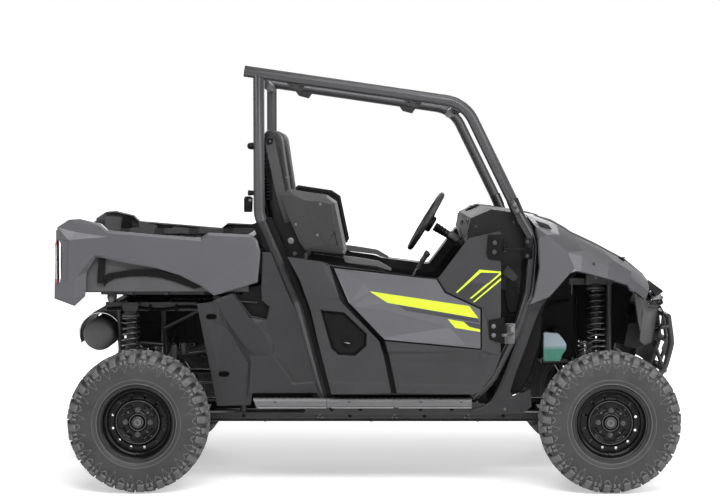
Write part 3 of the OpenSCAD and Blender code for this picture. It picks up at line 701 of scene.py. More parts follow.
def rim_mesh(name, w):
    """Steel rim: dished rim well, disc with a raised ring, pressed slots, vent holes, hub cap, lug nuts and valve. Axis Y, outer side +Y."""
    hw = w / 2
    e = 0.395 * w
    B = Build(M_RIM)
    # barrel and outer lips
    prof = [(0.1455, -e), (0.150, -e - 0.0005), (0.1665, -e), (0.1680, -e + 0.003), (0.1665, -e + 0.005), (0.1580, -e + 0.0055), (0.1535, -0.36 * w), (0.1515, -0.30 * w),
            (0.140, -0.24 * w), (0.137, -0.18 * w), (0.137, 0.05 * w), (0.142, 0.12 * w), (0.1515, 0.20 * w), (0.1520, 0.33 * w), (0.1545, 0.36 * w), (0.158, e - 0.0055),
            (0.1665, e - 0.005), (0.1685, e - 0.002), (0.1675, e + 0.0005), (0.1640, e + 0.001), (0.158, e - 0.002), (0.1505, e - 0.010), (0.1470, e - 0.016),
            (0.1465, 0.24 * w), (0.1415, 0.235 * w), (0.1370, 0.225 * w), (0.1345, 0.20 * w), (0.1330, 0.10 * w), (0.1320, -0.17 * w), (0.1360, -0.23 * w), (0.1455, -0.30 * w)]
    v, f = g_lathe(prof, 96, close=True)
    B.add(v, f, M_RIM)
    body = B.obj(name + "_barrel")
    # disc
    d0 = 0.225 * w
    D = Build(M_RIM)
    outer = [(0.1335, d0 - 0.022), (0.128, d0 - 0.014), (0.121, d0 - 0.012), (0.110, d0 - 0.013), (0.101, d0 - 0.010), (0.0985, d0 + 0.002), (0.0960, d0 + 0.0045), (0.0935, d0 + 0.003),
             (0.0915, d0 - 0.002), (0.0890, d0 - 0.004), (0.070, d0 - 0.004), (0.055, d0 - 0.003), (0.0405, d0 - 0.002), (0.0390, d0 + 0.003), (0.0365, d0 + 0.005), (0.0340, d0 + 0.003), (0.0335, d0 - 0.010)]
    inner = [(r, y - 0.0045) for r, y in outer[::-1]]
    v, f = g_lathe(outer + inner, 144, close=True)
    D.add(v, f, M_RIM)
    disc = D.obj(name + "_disc")
    # pressed slots between the lugs and 12 vent holes, cut through
    C = Build(M_RIM)
    for i in range(12):
        a = math.radians(30 * i + 15)
        v, f = g_cyl((0.1155 * math.cos(a), d0 - 0.04, 0.1155 * math.sin(a)), (0.1155 * math.cos(a), d0 + 0.02, 0.1155 * math.sin(a)), 0.0058, 16)
        C.add(v, f, M_RIM)
    for i in range(4):
        pts = []
        a0, a1 = math.radians(90 * i + 45 - 24), math.radians(90 * i + 45 + 24)
        for q in range(9):
            a = a0 + (a1 - a0) * q / 8
            pts.append((0.0845 * math.cos(a), 0.0845 * math.sin(a)))
        for q in range(9):
            a = a1 - (a1 - a0) * q / 8
            pts.append((0.0655 * math.cos(a), 0.0655 * math.sin(a)))
        v, f = g_plate(rounded(pts, 0.004, 2), d0 - 0.0062, d0 + 0.02)
        C.add(v, f, M_RIM)
    cut = C.obj(name + "_cut")
    md = disc.modifiers.new("cut", "BOOLEAN")
    md.operation = "DIFFERENCE"
    md.object = cut
    md.solver = "EXACT"
    disc2 = join([disc], name + "_disc2")
    bpy.data.objects.remove(cut)
    # hub tube behind the disc, cap, lug seats, nuts and valve
    H = Build(M_RIM, M_ZINC, M_BOLT, M_GRIP)
    v, f = g_lathe([(0.0335, d0 - 0.012), (0.0335, -0.020), (0.0180, -0.020), (0.0180, d0 - 0.018), (0.0, d0 - 0.018)], 48)
    H.add(v, f, M_CAST)
    v, f = g_lathe([(0.0335, d0 - 0.012), (0.0300, d0 - 0.006), (0.0285, d0 + 0.006), (0.0255, d0 + 0.0095), (0.018, d0 + 0.0115), (0.0, d0 + 0.012)], 48)
    H.add(v, f, M_RIM)
    v, f = g_lathe([(0.0215, d0 + 0.0108), (0.0205, d0 + 0.0125), (0.0185, d0 + 0.0125), (0.0175, d0 + 0.0112)], 48)
    H.add(v, f, M_RIM)
    for i in range(4):
        a = math.radians(90 * i)
        cx, cz = 0.055 * math.cos(a), 0.055 * math.sin(a)
        M = Matrix.Translation((cx, 0, cz))
        v, f = g_lathe([(0.0150, d0 - 0.0035), (0.0140, d0 + 0.0005), (0.0120, d0 + 0.0015), (0.0098, d0 + 0.001), (0.0, d0 + 0.001)], 24)
        H.add(v, f, M_RIM, M=M)
        v, f = g_tube([(0, d0, 0), (0, d0 + 0.011, 0), (0, d0 + 0.0135, 0)], [0.0088, 0.0088, 0.0070], 6)
        H.add(v, f, M_ZINC, M=M, smooth=False)
        v, f = g_tube([(0, d0 + 0.0130, 0), (0, d0 + 0.0165, 0), (0, d0 + 0.0175, 0)], [0.0048, 0.0048, 0.0035], 14)
        H.add(v, f, M_BOLT, M=M)
    v, f = g_tube(smooth_path([(0, 0.20 * w, -0.1475), (0, 0.24 * w, -0.140), (0, 0.30 * w, -0.1365)], 4), 0.0042, 12)
    H.add(v, f, M_GRIP)
    hub = H.obj(name + "_hub", bevel=0.0006, seg=1, angle=40)
    return body, disc2, hub


def brake_disc(sgn, y0):
    """Brake disc on the wheel hub."""
    B = Build(M_ROD)
    prof = [(0.050, 0.0), (0.105, 0.0), (0.105, 0.005), (0.050, 0.005)]
    v, f = g_lathe(prof, 64, close=True)
    B.add(v, f, M_ROD, M=Matrix.Translation((0, y0, 0)))
    v, f = g_lathe([(0.034, -0.004), (0.056, -0.004), (0.056, 0.009), (0.034, 0.009)], 40, close=True)
    B.add(v, f, M_CAST, M=Matrix.Translation((0, y0, 0)))
    return B.obj("bd", bevel=0.0008, seg=1)


def wheels():
    for w, tag, x, yy in ((0.203, "front", XF, YF), (0.254, "rear", XR, YR)):
        tb, tl = tyre_mesh("t_" + tag, w)
        ty = join([tb, tl], "tyre_src_" + tag)
        rb, rd, rh = rim_mesh("r_" + tag, w)
        bd = brake_disc(1, -0.048 if tag == "front" else -0.052)
        ri = join([rb, rd, rh, bd], "rim_src_" + tag)
        for side, sg in (("left", 1), ("right", -1)):
            for src, kind in ((ty, "tyre"), (ri, "rim")):
                me = src.data.copy()
                rot = {"front_left": 20, "front_right": 4, "rear_left": -15, "rear_right": 33}[f"{tag}_{side}"] if kind == "tyre" else {"front_left": 11, "front_right": 2, "rear_left": -7, "rear_right": 1}[f"{tag}_{side}"]
                M = Matrix.Translation((x, sg * yy, AZ)) @ Matrix.Diagonal((1, sg, 1, 1)) @ Matrix.Rotation(math.radians(rot), 4, "Y")
                me.transform(M)
                if sg < 0:
                    me.flip_normals()
                o = bpy.data.objects.new(f"{kind}_{tag}_{side}_visual", me)
                COL.objects.link(o)
                finish(o, f"{tag}_{side}_wheel", f"{kind}_{tag}_{side}")
        for src in (ty, ri):
            bpy.data.objects.remove(src)


wheels()
# ------------------------------------------------------------------ pressed and moulded panels


def area2(p):
    return sum(p[i - 1][0] * p[i][1] - p[i][0] * p[i - 1][1] for i in range(len(p))) / 2


def offset(poly, t):
    """Mitred offset of a closed (x, z) outline, outward for positive t."""
    sgn = 1 if area2(poly) > 0 else -1
    out = []
    n = len(poly)
    for i in range(n):
        a, b, c = Vector(poly[i - 1][:2]), Vector(poly[i][:2]), Vector(poly[(i + 1) % n][:2])
        u, w = (b - a).normalized(), (c - b).normalized()
        nu, nw = Vector((u.y, -u.x)) * sgn, Vector((w.y, -w.x)) * sgn
        m = nu + nw
        if m.length < 1e-6:
            m = nu
        m.normalize()
        k = t / max(0.35, m.dot(nu))
        q = b + m * k
        out.append((q.x, q.y))
    return out


def inside(p, poly):
    x, z = p
    r = False
    n = len(poly)
    for i in range(n):
        x0, z0 = poly[i - 1][:2]
        x1, z1 = poly[i][:2]
        if (z0 > z) != (z1 > z) and x < (x1 - x0) * (z - z0) / (z1 - z0) + x0:
            r = not r
    return r


from mathutils.geometry import delaunay_2d_cdt


def tri_depth(nv, nf, D, x, z):
    """Depth at (x, z) on a triangulated relief."""
    best, bd = 0.0, 1e9
    for f in nf:
        a, b, c = (nv[k] for k in f)
        det = (b.y - c.y) * (a.x - c.x) + (c.x - b.x) * (a.y - c.y)
        if abs(det) < 1e-12:
            continue
        u = ((b.y - c.y) * (x - c.x) + (c.x - b.x) * (z - c.y)) / det
        v = ((c.y - a.y) * (x - c.x) + (a.x - c.x) * (z - c.y)) / det
        w = 1 - u - v
        m = min(u, v, w)
        if m >= -1e-6:
            return u * D[f[0]] + v * D[f[1]] + w * D[f[2]]
        if -m < bd:
            bd = -m
            u, v, w = max(u, 0), max(v, 0), max(w, 0)
            t = u + v + w
            best = (u * D[f[0]] + v * D[f[1]] + w * D[f[2]]) / t
    return best


def g_relief(outline, lines, y0, thick, holes=(), base_d=0.0, yfun=None, decals=()):
    """Panel in the XZ plane at y0: outline and inner lines are (x, z, depth outward). Decal outlines only cut the faces."""
    def run(with_decals, depth):
        V, E = [], []

        def add(poly, closed, free=False):
            k = len(V)
            for p in poly:
                V.append((p[0], p[1], None if free else (p[2] if len(p) > 2 else base_d)))
            m = len(poly)
            for i in range(m if closed else m - 1):
                E.append((k + i, k + (i + 1) % m))
        add(outline, True)
        for h in holes:
            add(h, True)
        for l in lines:
            closed = l[0] == "loop"
            add(l[1:] if closed else l, closed)
        if with_decals:
            for d in with_decals:
                add(d, True, True)
        res = delaunay_2d_cdt([Vector(v[:2]) for v in V], E, [], 0, 1e-5)
        nv, nf, orig = res[0], res[2], res[3]
        D = []
        for i, q in enumerate(nv):
            ds = [V[o][2] for o in orig[i] if V[o][2] is not None]
            if ds:
                D.append(ds[-1])
            elif depth:
                D.append(depth(q.x, q.y))
            else:
                j = min(range(len(V)), key=lambda k: (V[k][0] - q.x) ** 2 + (V[k][1] - q.y) ** 2)
                D.append(V[j][2])
        return nv, nf, D
    nv, nf, D = run(None, None)
    if decals:
        b = (nv, nf, D)
        nv, nf, D = run(decals, lambda x, z: tri_depth(b[0], b[1], b[2], x, z))
    keep = []
    for f in nf:
        c = ((nv[f[0]].x + nv[f[1]].x + nv[f[2]].x) / 3, (nv[f[0]].y + nv[f[1]].y + nv[f[2]].y) / 3)
        if inside(c, outline) and not any(inside(c, h) for h in holes):
            keep.append((tuple(f), c))
    n = len(nv)

    def Y(i):
        b = y0 if yfun is None else yfun(nv[i].x, nv[i].y)
        return b + D[i]
    verts = [(nv[i].x, Y(i), nv[i].y) for i in range(n)] + [(nv[i].x, Y(i) - thick, nv[i].y) for i in range(n)]
    faces, cen = [], []
    cnt = {}
    for f, c in keep:
        faces.append(f)
        cen.append(c)
        for a, b in ((f[0], f[1]), (f[1], f[2]), (f[2], f[0])):
            cnt[(a, b)] = cnt.get((a, b), 0) + 1
    nfront = len(faces)
    for f, c in keep:
        faces.append((f[0] + n, f[2] + n, f[1] + n))
    for (a, b) in list(cnt):
        if (b, a) not in cnt:
            faces.append((b, a, a + n, b + n))
    used = sorted({i for f in faces for i in f})
    mp = {o: i for i, o in enumerate(used)}
    return [verts[i] for i in used], [tuple(mp[i] for i in f) for f in faces], cen, nfront


def add_relief(B, outline, lines, y0, thick, m, regions=(), holes=(), base_d=0.0, yfun=None, decals=()):
    v, f, cen, nf = g_relief(outline, lines, y0, thick, holes, base_d, yfun, [d for d, mm in decals])
    k = len(B.f)
    B.add(v, f, m)
    for i, c in enumerate(cen):
        for poly, mm in list(regions) + list(decals):
            if inside(c, poly):
                B.m[k + i] = B.mi(mm)
    return B


def groove(poly, w=0.0022, depth=0.0035, d=0.0):
    """Closed lines that sink a narrow groove along a closed outline."""
    return [["loop"] + [(x, z, d) for x, z in offset(poly, w)], ["loop"] + [(x, z, d - depth) for x, z in offset(poly, 0.0)],
            ["loop"] + [(x, z, d) for x, z in offset(poly, -w)]]


def bolt(B, c, d, r=0.007, h=0.005, m=None, washer=True):
    """Flange bolt at c, pointing along d."""
    c, d = Vector(c), Vector(d).normalized()
    m = m or M_BOLT
    if washer:
        v, f = g_tube([c - d * 0.001, c + d * 0.0012, c + d * 0.0018], [r * 1.5, r * 1.5, r * 1.3], 20)
        B.add(v, f, m)
    v, f = g_tube([c, c + d * h * 0.8, c + d * h], [r, r, r * 0.82], 6)
    B.add(v, f, m, smooth=False)


def screw(B, c, d, r=0.006, m=None):
    """Low round head with a small recess."""
    c, d = Vector(c), Vector(d).normalized()
    m = m or M_BOLT
    v, f = g_tube([c - d * 0.001, c + d * 0.001, c + d * 0.0022, c + d * 0.0026, c + d * 0.0026, c + d * 0.0012], [r, r, r * 0.8, r * 0.5, r * 0.38, r * 0.3], 18)
    B.add(v, f, m)


# cargo bed side panels
def bed_sides():
    Y = 0.662
    out = [(-1.4174, 0.8615, -0.01), (-1.4117, 1.0883, -0.012), (-1.4027, 1.1809, -0.016), (-1.3516, 1.2141, -0.016), (-1.3005, 1.2179, -0.01), (-1.2079, 1.1956, -0.008), (-1.1779, 1.1662, -0.008), (-0.7621, 1.1317, -0.008), (-0.7302, 1.1566, -0.008), (-0.5341, 1.1477, -0.008), (-0.5098, 1.1234, -0.006), (-0.4958, 1.0691, -0.004), (-0.5085, 0.935, -0.004), (-0.7033, 0.875, -0.006), (-0.7589, 0.9171, -0.002), (-0.8566, 0.9669, 0.0), (-0.9556, 0.9976, -0.002), (-1.0706, 1.0167, -0.004), (-1.192, 1.0423, -0.006), (-1.2303, 1.0461, -0.01), (-1.2731, 0.9797, -0.016), (-1.2801, 0.8711, -0.018), (-1.3274, 0.8277, -0.012)]
    lines = []
    # rolled top edge
    lines.append([(-1.3056, 1.1962, -0.006), (-1.2111, 1.1854, -0.003), (-1.1817, 1.156, -0.001), (-0.7602, 1.1202, 0.0), (-0.727, 1.1464, 0.0), (-0.5405, 1.1381, 0.0), (-0.52, 1.1189, 0.0), (-0.506, 1.0659, 0.0), (-0.5175, 0.9427, 0.0), (-0.7001, 0.8864, 0.0)])
    # crease round the lamp corner
    lines.append([(-1.3056, 1.1962, -0.006), (-1.3146, 1.1585, -0.009), (-1.3542, 1.1189, 0.0), (-1.3644, 0.9299, 0.0)])
    # shoulder facet that fades out
    lines.append([(-1.3146, 1.1585, -0.009), (-1.1824, 1.1381, 0.0)])
    lines.append([(-1.3516, 1.124, 0.0055), (-1.1824, 1.1381, 0.0)])
    lines.append([(-1.3484, 1.1087, 0.0055), (-1.3516, 0.935, 0.004)])
    lines.append([(-1.3644, 0.9299, 0.0), (-1.3286, 0.9222, 0.003), (-1.3312, 0.8647, 0.001)])
    # flare that turns in over the wheel
    lines.append([(-1.3286, 0.9222, 0.003), (-1.3165, 0.9573, 0.003), (-1.2622, 1.0276, 0.004), (-1.2335, 1.0576, 0.003), (-1.1856, 1.0551, 0.003), (-1.0706, 1.0295, 0.003), (-0.9492, 1.0091, 0.003), (-0.8502, 0.9771, 0.004), (-0.748, 0.9222, 0.003), (-0.7053, 0.8916, 0.0)])
    B = Build(M_PAINT)
    hole = [(-1.4066, 1.1126, -0.012), (-1.3951, 1.1247, -0.01), (-1.3823, 1.0979, -0.006), (-1.3823, 0.9733, -0.005), (-1.3951, 0.9273, -0.009), (-1.404, 0.9605, -0.012)]
    add_relief(B, out, lines, Y, 0.006, M_PAINT, holes=[hole])
    # rear return wall towards the tailgate
    v, f = g_box((-1.4085, 0.600, 0.918), (-1.402, 0.648, 1.168))
    B.add(v, f, M_PAINT)
    # inner return over the tub wall along the top
    top = [(-1.3516, 1.2109), (-1.3005, 1.2154), (-1.2079, 1.193), (-1.1779, 1.1636), (-0.7621, 1.1292), (-0.7302, 1.1541), (-0.5341, 1.1451)]
    for a, b in zip(top[:-1], top[1:]):
        vv = [(a[0], 0.650, a[1]), (b[0], 0.650, b[1]), (b[0], 0.612, b[1] + 0.001), (a[0], 0.612, a[1] + 0.001),
              (a[0], 0.650, a[1] - 0.005), (b[0], 0.650, b[1] - 0.005), (b[0], 0.612, b[1] - 0.004), (a[0], 0.612, a[1] - 0.004)]
        B.add(vv, [(0, 1, 2, 3), (7, 6, 5, 4), (0, 4, 5, 1), (1, 5, 6, 2), (2, 6, 7, 3), (3, 7, 4, 0)], M_PAINT)
    # front return towards the pillar
    a, b = [(-0.5098, 1.1202), (-0.4958, 1.0678)]
    c, = [(-0.5085, 0.9363)]
    for p, q in ((a, b), (b, c)):
        vv = [(p[0], 0.656, p[1]), (q[0], 0.656, q[1]), (q[0], 0.622, q[1]), (p[0], 0.622, p[1]), (p[0] - 0.005, 0.656, p[1]), (q[0] - 0.005, 0.656, q[1]), (q[0] - 0.005, 0.622, q[1]), (p[0] - 0.005, 0.622, p[1])]
        B.add(vv, [(0, 1, 2, 3), (7, 6, 5, 4), (0, 4, 5, 1), (1, 5, 6, 2), (2, 6, 7, 3), (3, 7, 4, 0)], M_PAINT)
    B.mirror_y()
    o = B.obj("bed_side_panels_visual", bevel=0.0022, seg=2, angle=11, crisp=2.0)
    finish(o, "bed", "bed_side_panels")
    # black arch lip, bracket and clips behind the panel
    A = Build(M_BLACK)
    up = [(-1.1991, 0.9302), (-1.1965, 0.959), (-1.1786, 0.9731), (-1.0928, 0.9878), (-1.0095, 0.9898), (-0.939, 0.9846), (-0.859, 0.9654), (-0.7584, 0.9129)]
    lo = [(-1.1991, 0.911), (-1.1812, 0.9334), (-1.1472, 0.9501), (-1.0864, 0.959), (-1.0095, 0.9603), (-0.9455, 0.9539), (-0.8814, 0.936), (-0.7956, 0.9039)]
    for i in range(len(up) - 1):
        for y0, y1, s in ((0.622, 0.640, 0),):
            vv = [(up[i][0], y1, up[i][1]), (up[i + 1][0], y1, up[i + 1][1]), (lo[i + 1][0], y0 + 0.006, lo[i + 1][1]), (lo[i][0], y0 + 0.006, lo[i][1]),
                  (up[i][0], y1 - 0.006, up[i][1]), (up[i + 1][0], y1 - 0.006, up[i + 1][1]), (lo[i + 1][0], y0, lo[i + 1][1]), (lo[i][0], y0, lo[i][1])]
            A.add(vv, [(0, 1, 2, 3), (7, 6, 5, 4), (0, 4, 5, 1), (1, 5, 6, 2), (2, 6, 7, 3), (3, 7, 4, 0)], M_BLACK)
    post = [(-1.2202, 1.0438), (-1.1933, 1.0413), (-1.192, 0.9913), (-1.201, 0.9305), (-1.2266, 0.9286), (-1.224, 0.9913)]
    v, f = g_plate(rounded(post, 0.004, 2), 0.622, 0.640)
    A.add(v, f, M_BLACK)
    v, f = g_plate(rounded([(-1.2164, 1.0265), (-1.1997, 1.0246), (-1.1997, 0.9977), (-1.2176, 0.9977)], 0.003, 2), 0.6405, 0.644)
    A.add(v, f, M_BLACK)
    A.mirror_y()
    o = A.obj("bed_arch_lips", bevel=0.0012, seg=2, angle=25)
    finish(o, "bed", None)


bed_sides()

M_DECAL = mat("decal_dark", (0.012, 0.012, 0.016), rough=0.35, vary=0.04, scale=5, coat=0.3)


# doors, quarter panels, sills and fender guards
# lighter, glossier copy of the body paint for the door accent: its extra lightness is painted light
M_ACC_LIT = mat("paint_accent_lit", (0.064, 0.064, 0.070), rough=0.28, metal=0.25, coat=0.30, vary=0.05, scale=3, grain=0.012, grain_scale=900, rough_var=0.010, coat_rough=0.10, spec=0.35)


def door_mesh():
    """Left door, outer face at y 0.700, built in metres."""
    L8 = 0.008
    out = [(-0.374, 1.043), (-0.217, 1.020), (-0.180, 1.007), (0.286, 0.946), (0.297, 0.949), (0.429, 1.125), (0.568, 1.157),
           (0.574, 1.150), (0.574, 0.603), (0.543, 0.521), (0.48, 0.443), (0.455, 0.430), (-0.179, 0.430), (-0.241, 0.677), (-0.271, 0.806), (-0.317, 0.936)]
    out = [(x, z + L8, -0.001) for x, z in out]
    seam = [(-0.1867, 1.0091, -0.01), (-0.1125, 0.8439, -0.01), (0.0477, 0.6787, -0.01), (0.0655, 0.6115, -0.01), (0.1001, 0.4433, -0.01), (0.1031, 0.4216, -0.01)]
    seam_l = [(-0.1996, 1.0081, 0.0), (-0.1244, 0.839, 0.001), (0.0339, 0.6748, 0.001), (0.0537, 0.6075, 0.001), (0.0873, 0.4433, 0.0), (0.0902, 0.4255, 0.0)]
    seam_r = [(-0.1738, 1.0071, 0.0), (-0.1006, 0.8479, 0.003), (0.0586, 0.6837, 0.006), (0.0774, 0.6154, 0.001), (0.113, 0.4433, 0.0), (0.115, 0.4255, 0.0)]
    accent = [(-0.1669, 1.0012, 0.0), (0.2881, 0.9497, 0.0), (0.3247, 0.8904, 0.0), (0.4829, 0.8172, 0.0), (0.4829, 0.6451, 0.0205), (0.0576, 0.6847, 0.022), (-0.0967, 0.8469, 0.001)]
    acc2 = [p[:2] for p in accent]
    lines = [seam, seam_l[1:-1], seam_r[1:-1]]
    # accent panel: raised with a groove round it
    g0 = [(x, z, p[2] - 0.0085) for (x, z), p in zip(offset(acc2, 0.0040), accent)]
    lines.append(["loop"] + g0)
    lines.append(["loop"] + [(x, z, p[2] - 0.0030) for (x, z), p in zip(offset(acc2, 0.0075), accent)])
    lines.append(["loop"] + accent)
    inn = [(x, z, p[2] + 0.0012) for (x, z), p in zip(offset(acc2, -0.004), accent)]
    # crease of the accent and its lower facet
    lines.append([(-0.0779, 0.8301, 0.002), (0.0853, 0.8073, 0.001), (0.3425, 0.7381, 0.001), (0.4216, 0.6609, 0.019)])
    lines.append([(0.0695, 0.6946, 0.0225), (0.4216, 0.6609, 0.019)])
    lines.append([(-0.1224, 0.9913, -0.004), (-0.0334, 0.9359, 0.006), (-0.0255, 0.9794, 0.0)])
    # dark facet below the accent
    lines.append([(0.0893, 0.5868, -0.004), (0.4651, 0.5788, -0.004), (0.4849, 0.6233, 0.01)])
    lines.append([(0.0705, 0.6352, 0.018), (0.4789, 0.6313, 0.016)])
    # raised border of the lower front
    lines.append([(0.1199, 0.4869, 0.0), (0.4433, 0.4849, 0.0), (0.4869, 0.5205, 0.0), (0.5106, 0.5917, 0.0), (0.5126, 0.6154, 0.0)])
    lines.append([(0.1199, 0.476, 0.0025), (0.4493, 0.474, 0.0025), (0.4987, 0.5165, 0.0025), (0.5225, 0.5897, 0.0025), (0.5244, 0.6154, 0.0025)])
    # rear part: step under the waist and the border above the bottom edge
    lines.append([(-0.2985, 0.8825, -0.001), (-0.1363, 0.8538, 0.0)])
    lines.append([(-0.3004, 0.8904, 0.0018), (-0.1422, 0.8627, 0.0022)])
    lines.append([(-0.1867, 0.4967, 0.0), (0.0695, 0.4928, 0.0)])
    lines.append([(-0.1837, 0.4869, 0.002), (0.0715, 0.4829, 0.002)])
    # waist bevel along the top
    lines.append([(-0.3618, 1.0308, 0.0), (-0.251, 1.015, 0.0), (-0.2154, 0.9992, 0.0)])
    # upper front: step beside the hinge plate
    tri = [(0.3029, 0.9497, 0.0), (0.4987, 1.1337, 0.0), (0.5027, 1.0308, 0.0), (0.5581, 1.0229, 0.0)]
    lines.append([(0.3326, 0.9023, 0.0), (0.382, 0.9458, 0.001), (0.471, 1.0308, 0.001), (0.4987, 1.1278, 0.0)])
    lines.append([(0.4928, 0.8291, 0.0), (0.5858, 0.8212, 0.0)])
    # pocket
    pk = [(-0.2292, 0.8152, 0.0), (-0.1224, 0.8014, 0.0), (-0.0235, 0.7104, 0.0), (-0.0235, 0.653, 0.0), (-0.0749, 0.6115, 0.0), (-0.1481, 0.6115, 0.0), (-0.1778, 0.6451, 0.0)]
    pk2 = [p[:2] for p in pk]
    lines.append(["loop"] + [(x, z, 0.0008) for x, z in offset(pk2, 0.003)])
    lines.append(["loop"] + [(x, z, -0.004) for x, z in offset(pk2, -0.002)])
    lines.append(["loop"] + [(x, z, -0.021) for x, z in offset(pk2, -0.011)])
    lines.append([(-0.157, 0.7104, -0.0235), (-0.1125, 0.7351, -0.024), (-0.0611, 0.6906, -0.0235), (-0.1125, 0.6431, -0.0235)])
    decals = [
        ([(-0.0087, 0.8984), (0.4333, 0.8322), (0.4749, 0.7778), (0.0704, 0.847)], M_LIME),
        ([(0.1149, 0.8381), (0.4739, 0.7758), (0.4808, 0.758), (0.1525, 0.8114)], M_DECAL),
        ([(0.3374, 0.7748), (0.4076, 0.762), (0.4353, 0.7392), (0.4818, 0.7284), (0.4818, 0.7185), (0.372, 0.7353)], M_LIME),
        ([(0.4116, 0.763), (0.4818, 0.7521), (0.4818, 0.7313), (0.4393, 0.7412)], M_DECAL),
        ([(0.374, 0.8925), (0.3819, 0.8915), (0.4848, 0.9815), (0.5678, 0.9785), (0.5748, 0.9855), (0.4788, 0.9944)], M_LIME),
        ([(0.4353, 0.8668), (0.4442, 0.8648), (0.5777, 0.9756), (0.5777, 0.9815), (0.5708, 0.9815)], M_LIME),
        ([(0.4492, 0.849), (0.4581, 0.85), (0.5797, 0.9518), (0.5807, 0.9637)], M_LIME),
        ([(0.4858, 0.9776), (0.5639, 0.9746), (0.5184, 0.934), (0.4353, 0.934)], M_DECAL),
    ]
    B = Build(M_DOOR)
    acc_reg = offset(acc2, 0.0012)
    band = [(x, z) for x, z, d in seam_l] + [(x, z) for x, z, d in seam_r[::-1]]
    # the accent region takes the lighter copy of the body paint, which is painted light
    add_relief(B, out, lines, 0.700, 0.0035, M_DOOR, regions=[(band, M_BLACK), (offset(acc2, 0.0062), M_BLACK), (acc_reg, M_ACC_LIT), (offset(pk2, 0.0005), M_BLACK)], decals=decals)
    # inner skin of the door
    ins = offset([(x, z) for x, z, d in out], -0.006)
    v, f, c, n = g_relief([(x, z, 0.0) for x, z in ins], [["loop"] + [(x, z, -0.008) for x, z in offset(ins, -0.045)]], 0.660, 0.0035)
    B.add(v, f, M_BLACK)
    # rim between the skins
    n = len(out)
    o1, o2 = [(x, z) for x, z, d in out], ins
    for i in range(n):
        j = (i + 1) % n
        vv = [(o1[i][0], 0.6985, o1[i][1]), (o1[j][0], 0.6985, o1[j][1]), (o2[j][0], 0.656, o2[j][1]), (o2[i][0], 0.656, o2[i][1])]
        inn_ = [(x + (0.08 - x) * 0.006, y, z + (0.75 - z) * 0.006) for x, y, z in vv]
        B.add(vv + inn_, [(0, 1, 2, 3), (7, 6, 5, 4), (0, 4, 5, 1), (1, 5, 6, 2), (2, 6, 7, 3), (3, 7, 4, 0)], M_DOOR)
    body = B.obj("door_body", bevel=0.0020, seg=2, angle=12, crisp=2.0)
    # hinge plates with bolts, latch, inner pull and hinge barrels
    H = Build(M_BLACK)
    up = rounded([(0.5162, 1.1497), (0.5775, 1.1497), (0.5894, 1.126), (0.5894, 1.0272), (0.5637, 1.0351), (0.5182, 1.041), (0.5083, 1.0667)], 0.006, 3)
    v, f = g_plate(up, 0.6995, 0.7065)
    H.add(v, f, M_BLACK)
    for x, z in [(0.5459, 1.1141), (0.5439, 1.0726)]:
        v, f = g_tube([(x, 0.700, z), (x, 0.7068, z), (x, 0.7085, z)], [0.0155, 0.0155, 0.0135], 24)
        H.add(v, f, M_BLACK)
        bolt(H, (x, 0.7085, z), (0, 1, 0), 0.0065, 0.0045, M_BOLT)
    lo = rounded([(0.5182, 0.7701), (0.5637, 0.7781), (0.5894, 0.786), (0.5914, 0.6614), (0.5676, 0.6693), (0.5222, 0.6851)], 0.006, 3)
    v, f = g_plate(lo, 0.6995, 0.7055)
    H.add(v, f, M_BLACK)
    for x, z in [(0.5419, 0.7425), (0.5419, 0.7029)]:
        v, f = g_tube([(x, 0.700, z), (x, 0.7060, z), (x, 0.7075, z)], [0.0155, 0.0155, 0.0140], 24)
        H.add(v, f, M_BLACK)
        bolt(H, (x, 0.7075, z), (0, 1, 0), 0.0065, 0.0045, M_ZINC)
    for z0 in (1.083, 0.703):
        z0 += 0.008
        m = M_BLACK if z0 > 0.9 else M_BLACK
        v, f = g_tube([(0.590, 0.706, z0), (0.590, 0.706, z0 + 0.001), (0.590, 0.706, z0 + 0.033), (0.590, 0.706, z0 + 0.034)], [0.009, 0.010, 0.010, 0.009], 28)
        H.add(v, f, m)
        v, f = g_tube([(0.590, 0.706, z0 - 0.016), (0.590, 0.706, z0)], 0.006, 16)
        H.add(v, f, M_BOLT)
        pl = [(0.560, 0.6995), (0.574, 0.7075), (0.586, 0.7145), (0.594, 0.700), (0.574, 0.6985)]
        vv = [(x, y, z0 + 0.001) for x, y in pl] + [(x, y, z0 + 0.033) for x, y in pl]
        H.add(vv, [(4, 3, 2, 1, 0), (5, 6, 7, 8, 9)] + [(i, (i + 1) % 5, (i + 1) % 5 + 5, i + 5) for i in range(5)], m)
    # latch lever in the pocket
    (lx, lz), = [(-0.1126, 0.6679)]
    v, f = g_box((lx - 0.018, 0.676, lz - 0.006), (lx + 0.018, 0.684, lz + 0.010))
    H.add(v, f, M_BLACK)
    v, f = g_tube(smooth_path([(lx - 0.014, 0.680, lz + 0.002), (lx - 0.004, 0.690, lz + 0.000), (lx + 0.010, 0.692, lz - 0.002), (lx + 0.018, 0.686, lz - 0.002)], 4), 0.0032, 10)
    H.add(v, f, M_ZINC)
    # inner grab strap and latch box
    v, f = g_box((-0.205, 0.6525, 0.80), (-0.125, 0.6585, 0.88))
    H.add(v, f, M_BLACK)
    v, f = g_tube(smooth_path([(-0.02, 0.6545, 0.86), (0.0, 0.650, 0.864), (0.12, 0.649, 0.846), (0.24, 0.650, 0.832), (0.26, 0.6545, 0.826)], 5), 0.0042, 10)
    H.add(v, f, M_GRIP)
    hard = H.obj("door_hard", bevel=0.0011, seg=2, angle=30)
    return join([body, hard], "door_src")




def doors():
    d = door_mesh()
    for side, sg in (("left", 1), ("right", -1)):
        me = d.data.copy()
        me.transform(Matrix.Diagonal((1, sg, 1, 1)))
        if sg < 0:
            me.flip_normals()
        o = bpy.data.objects.new(f"door_{side}_visual", me)
        COL.objects.link(o)
        finish(o, f"{side}_door", f"door_{side}")
    bpy.data.objects.remove(d)


doors()


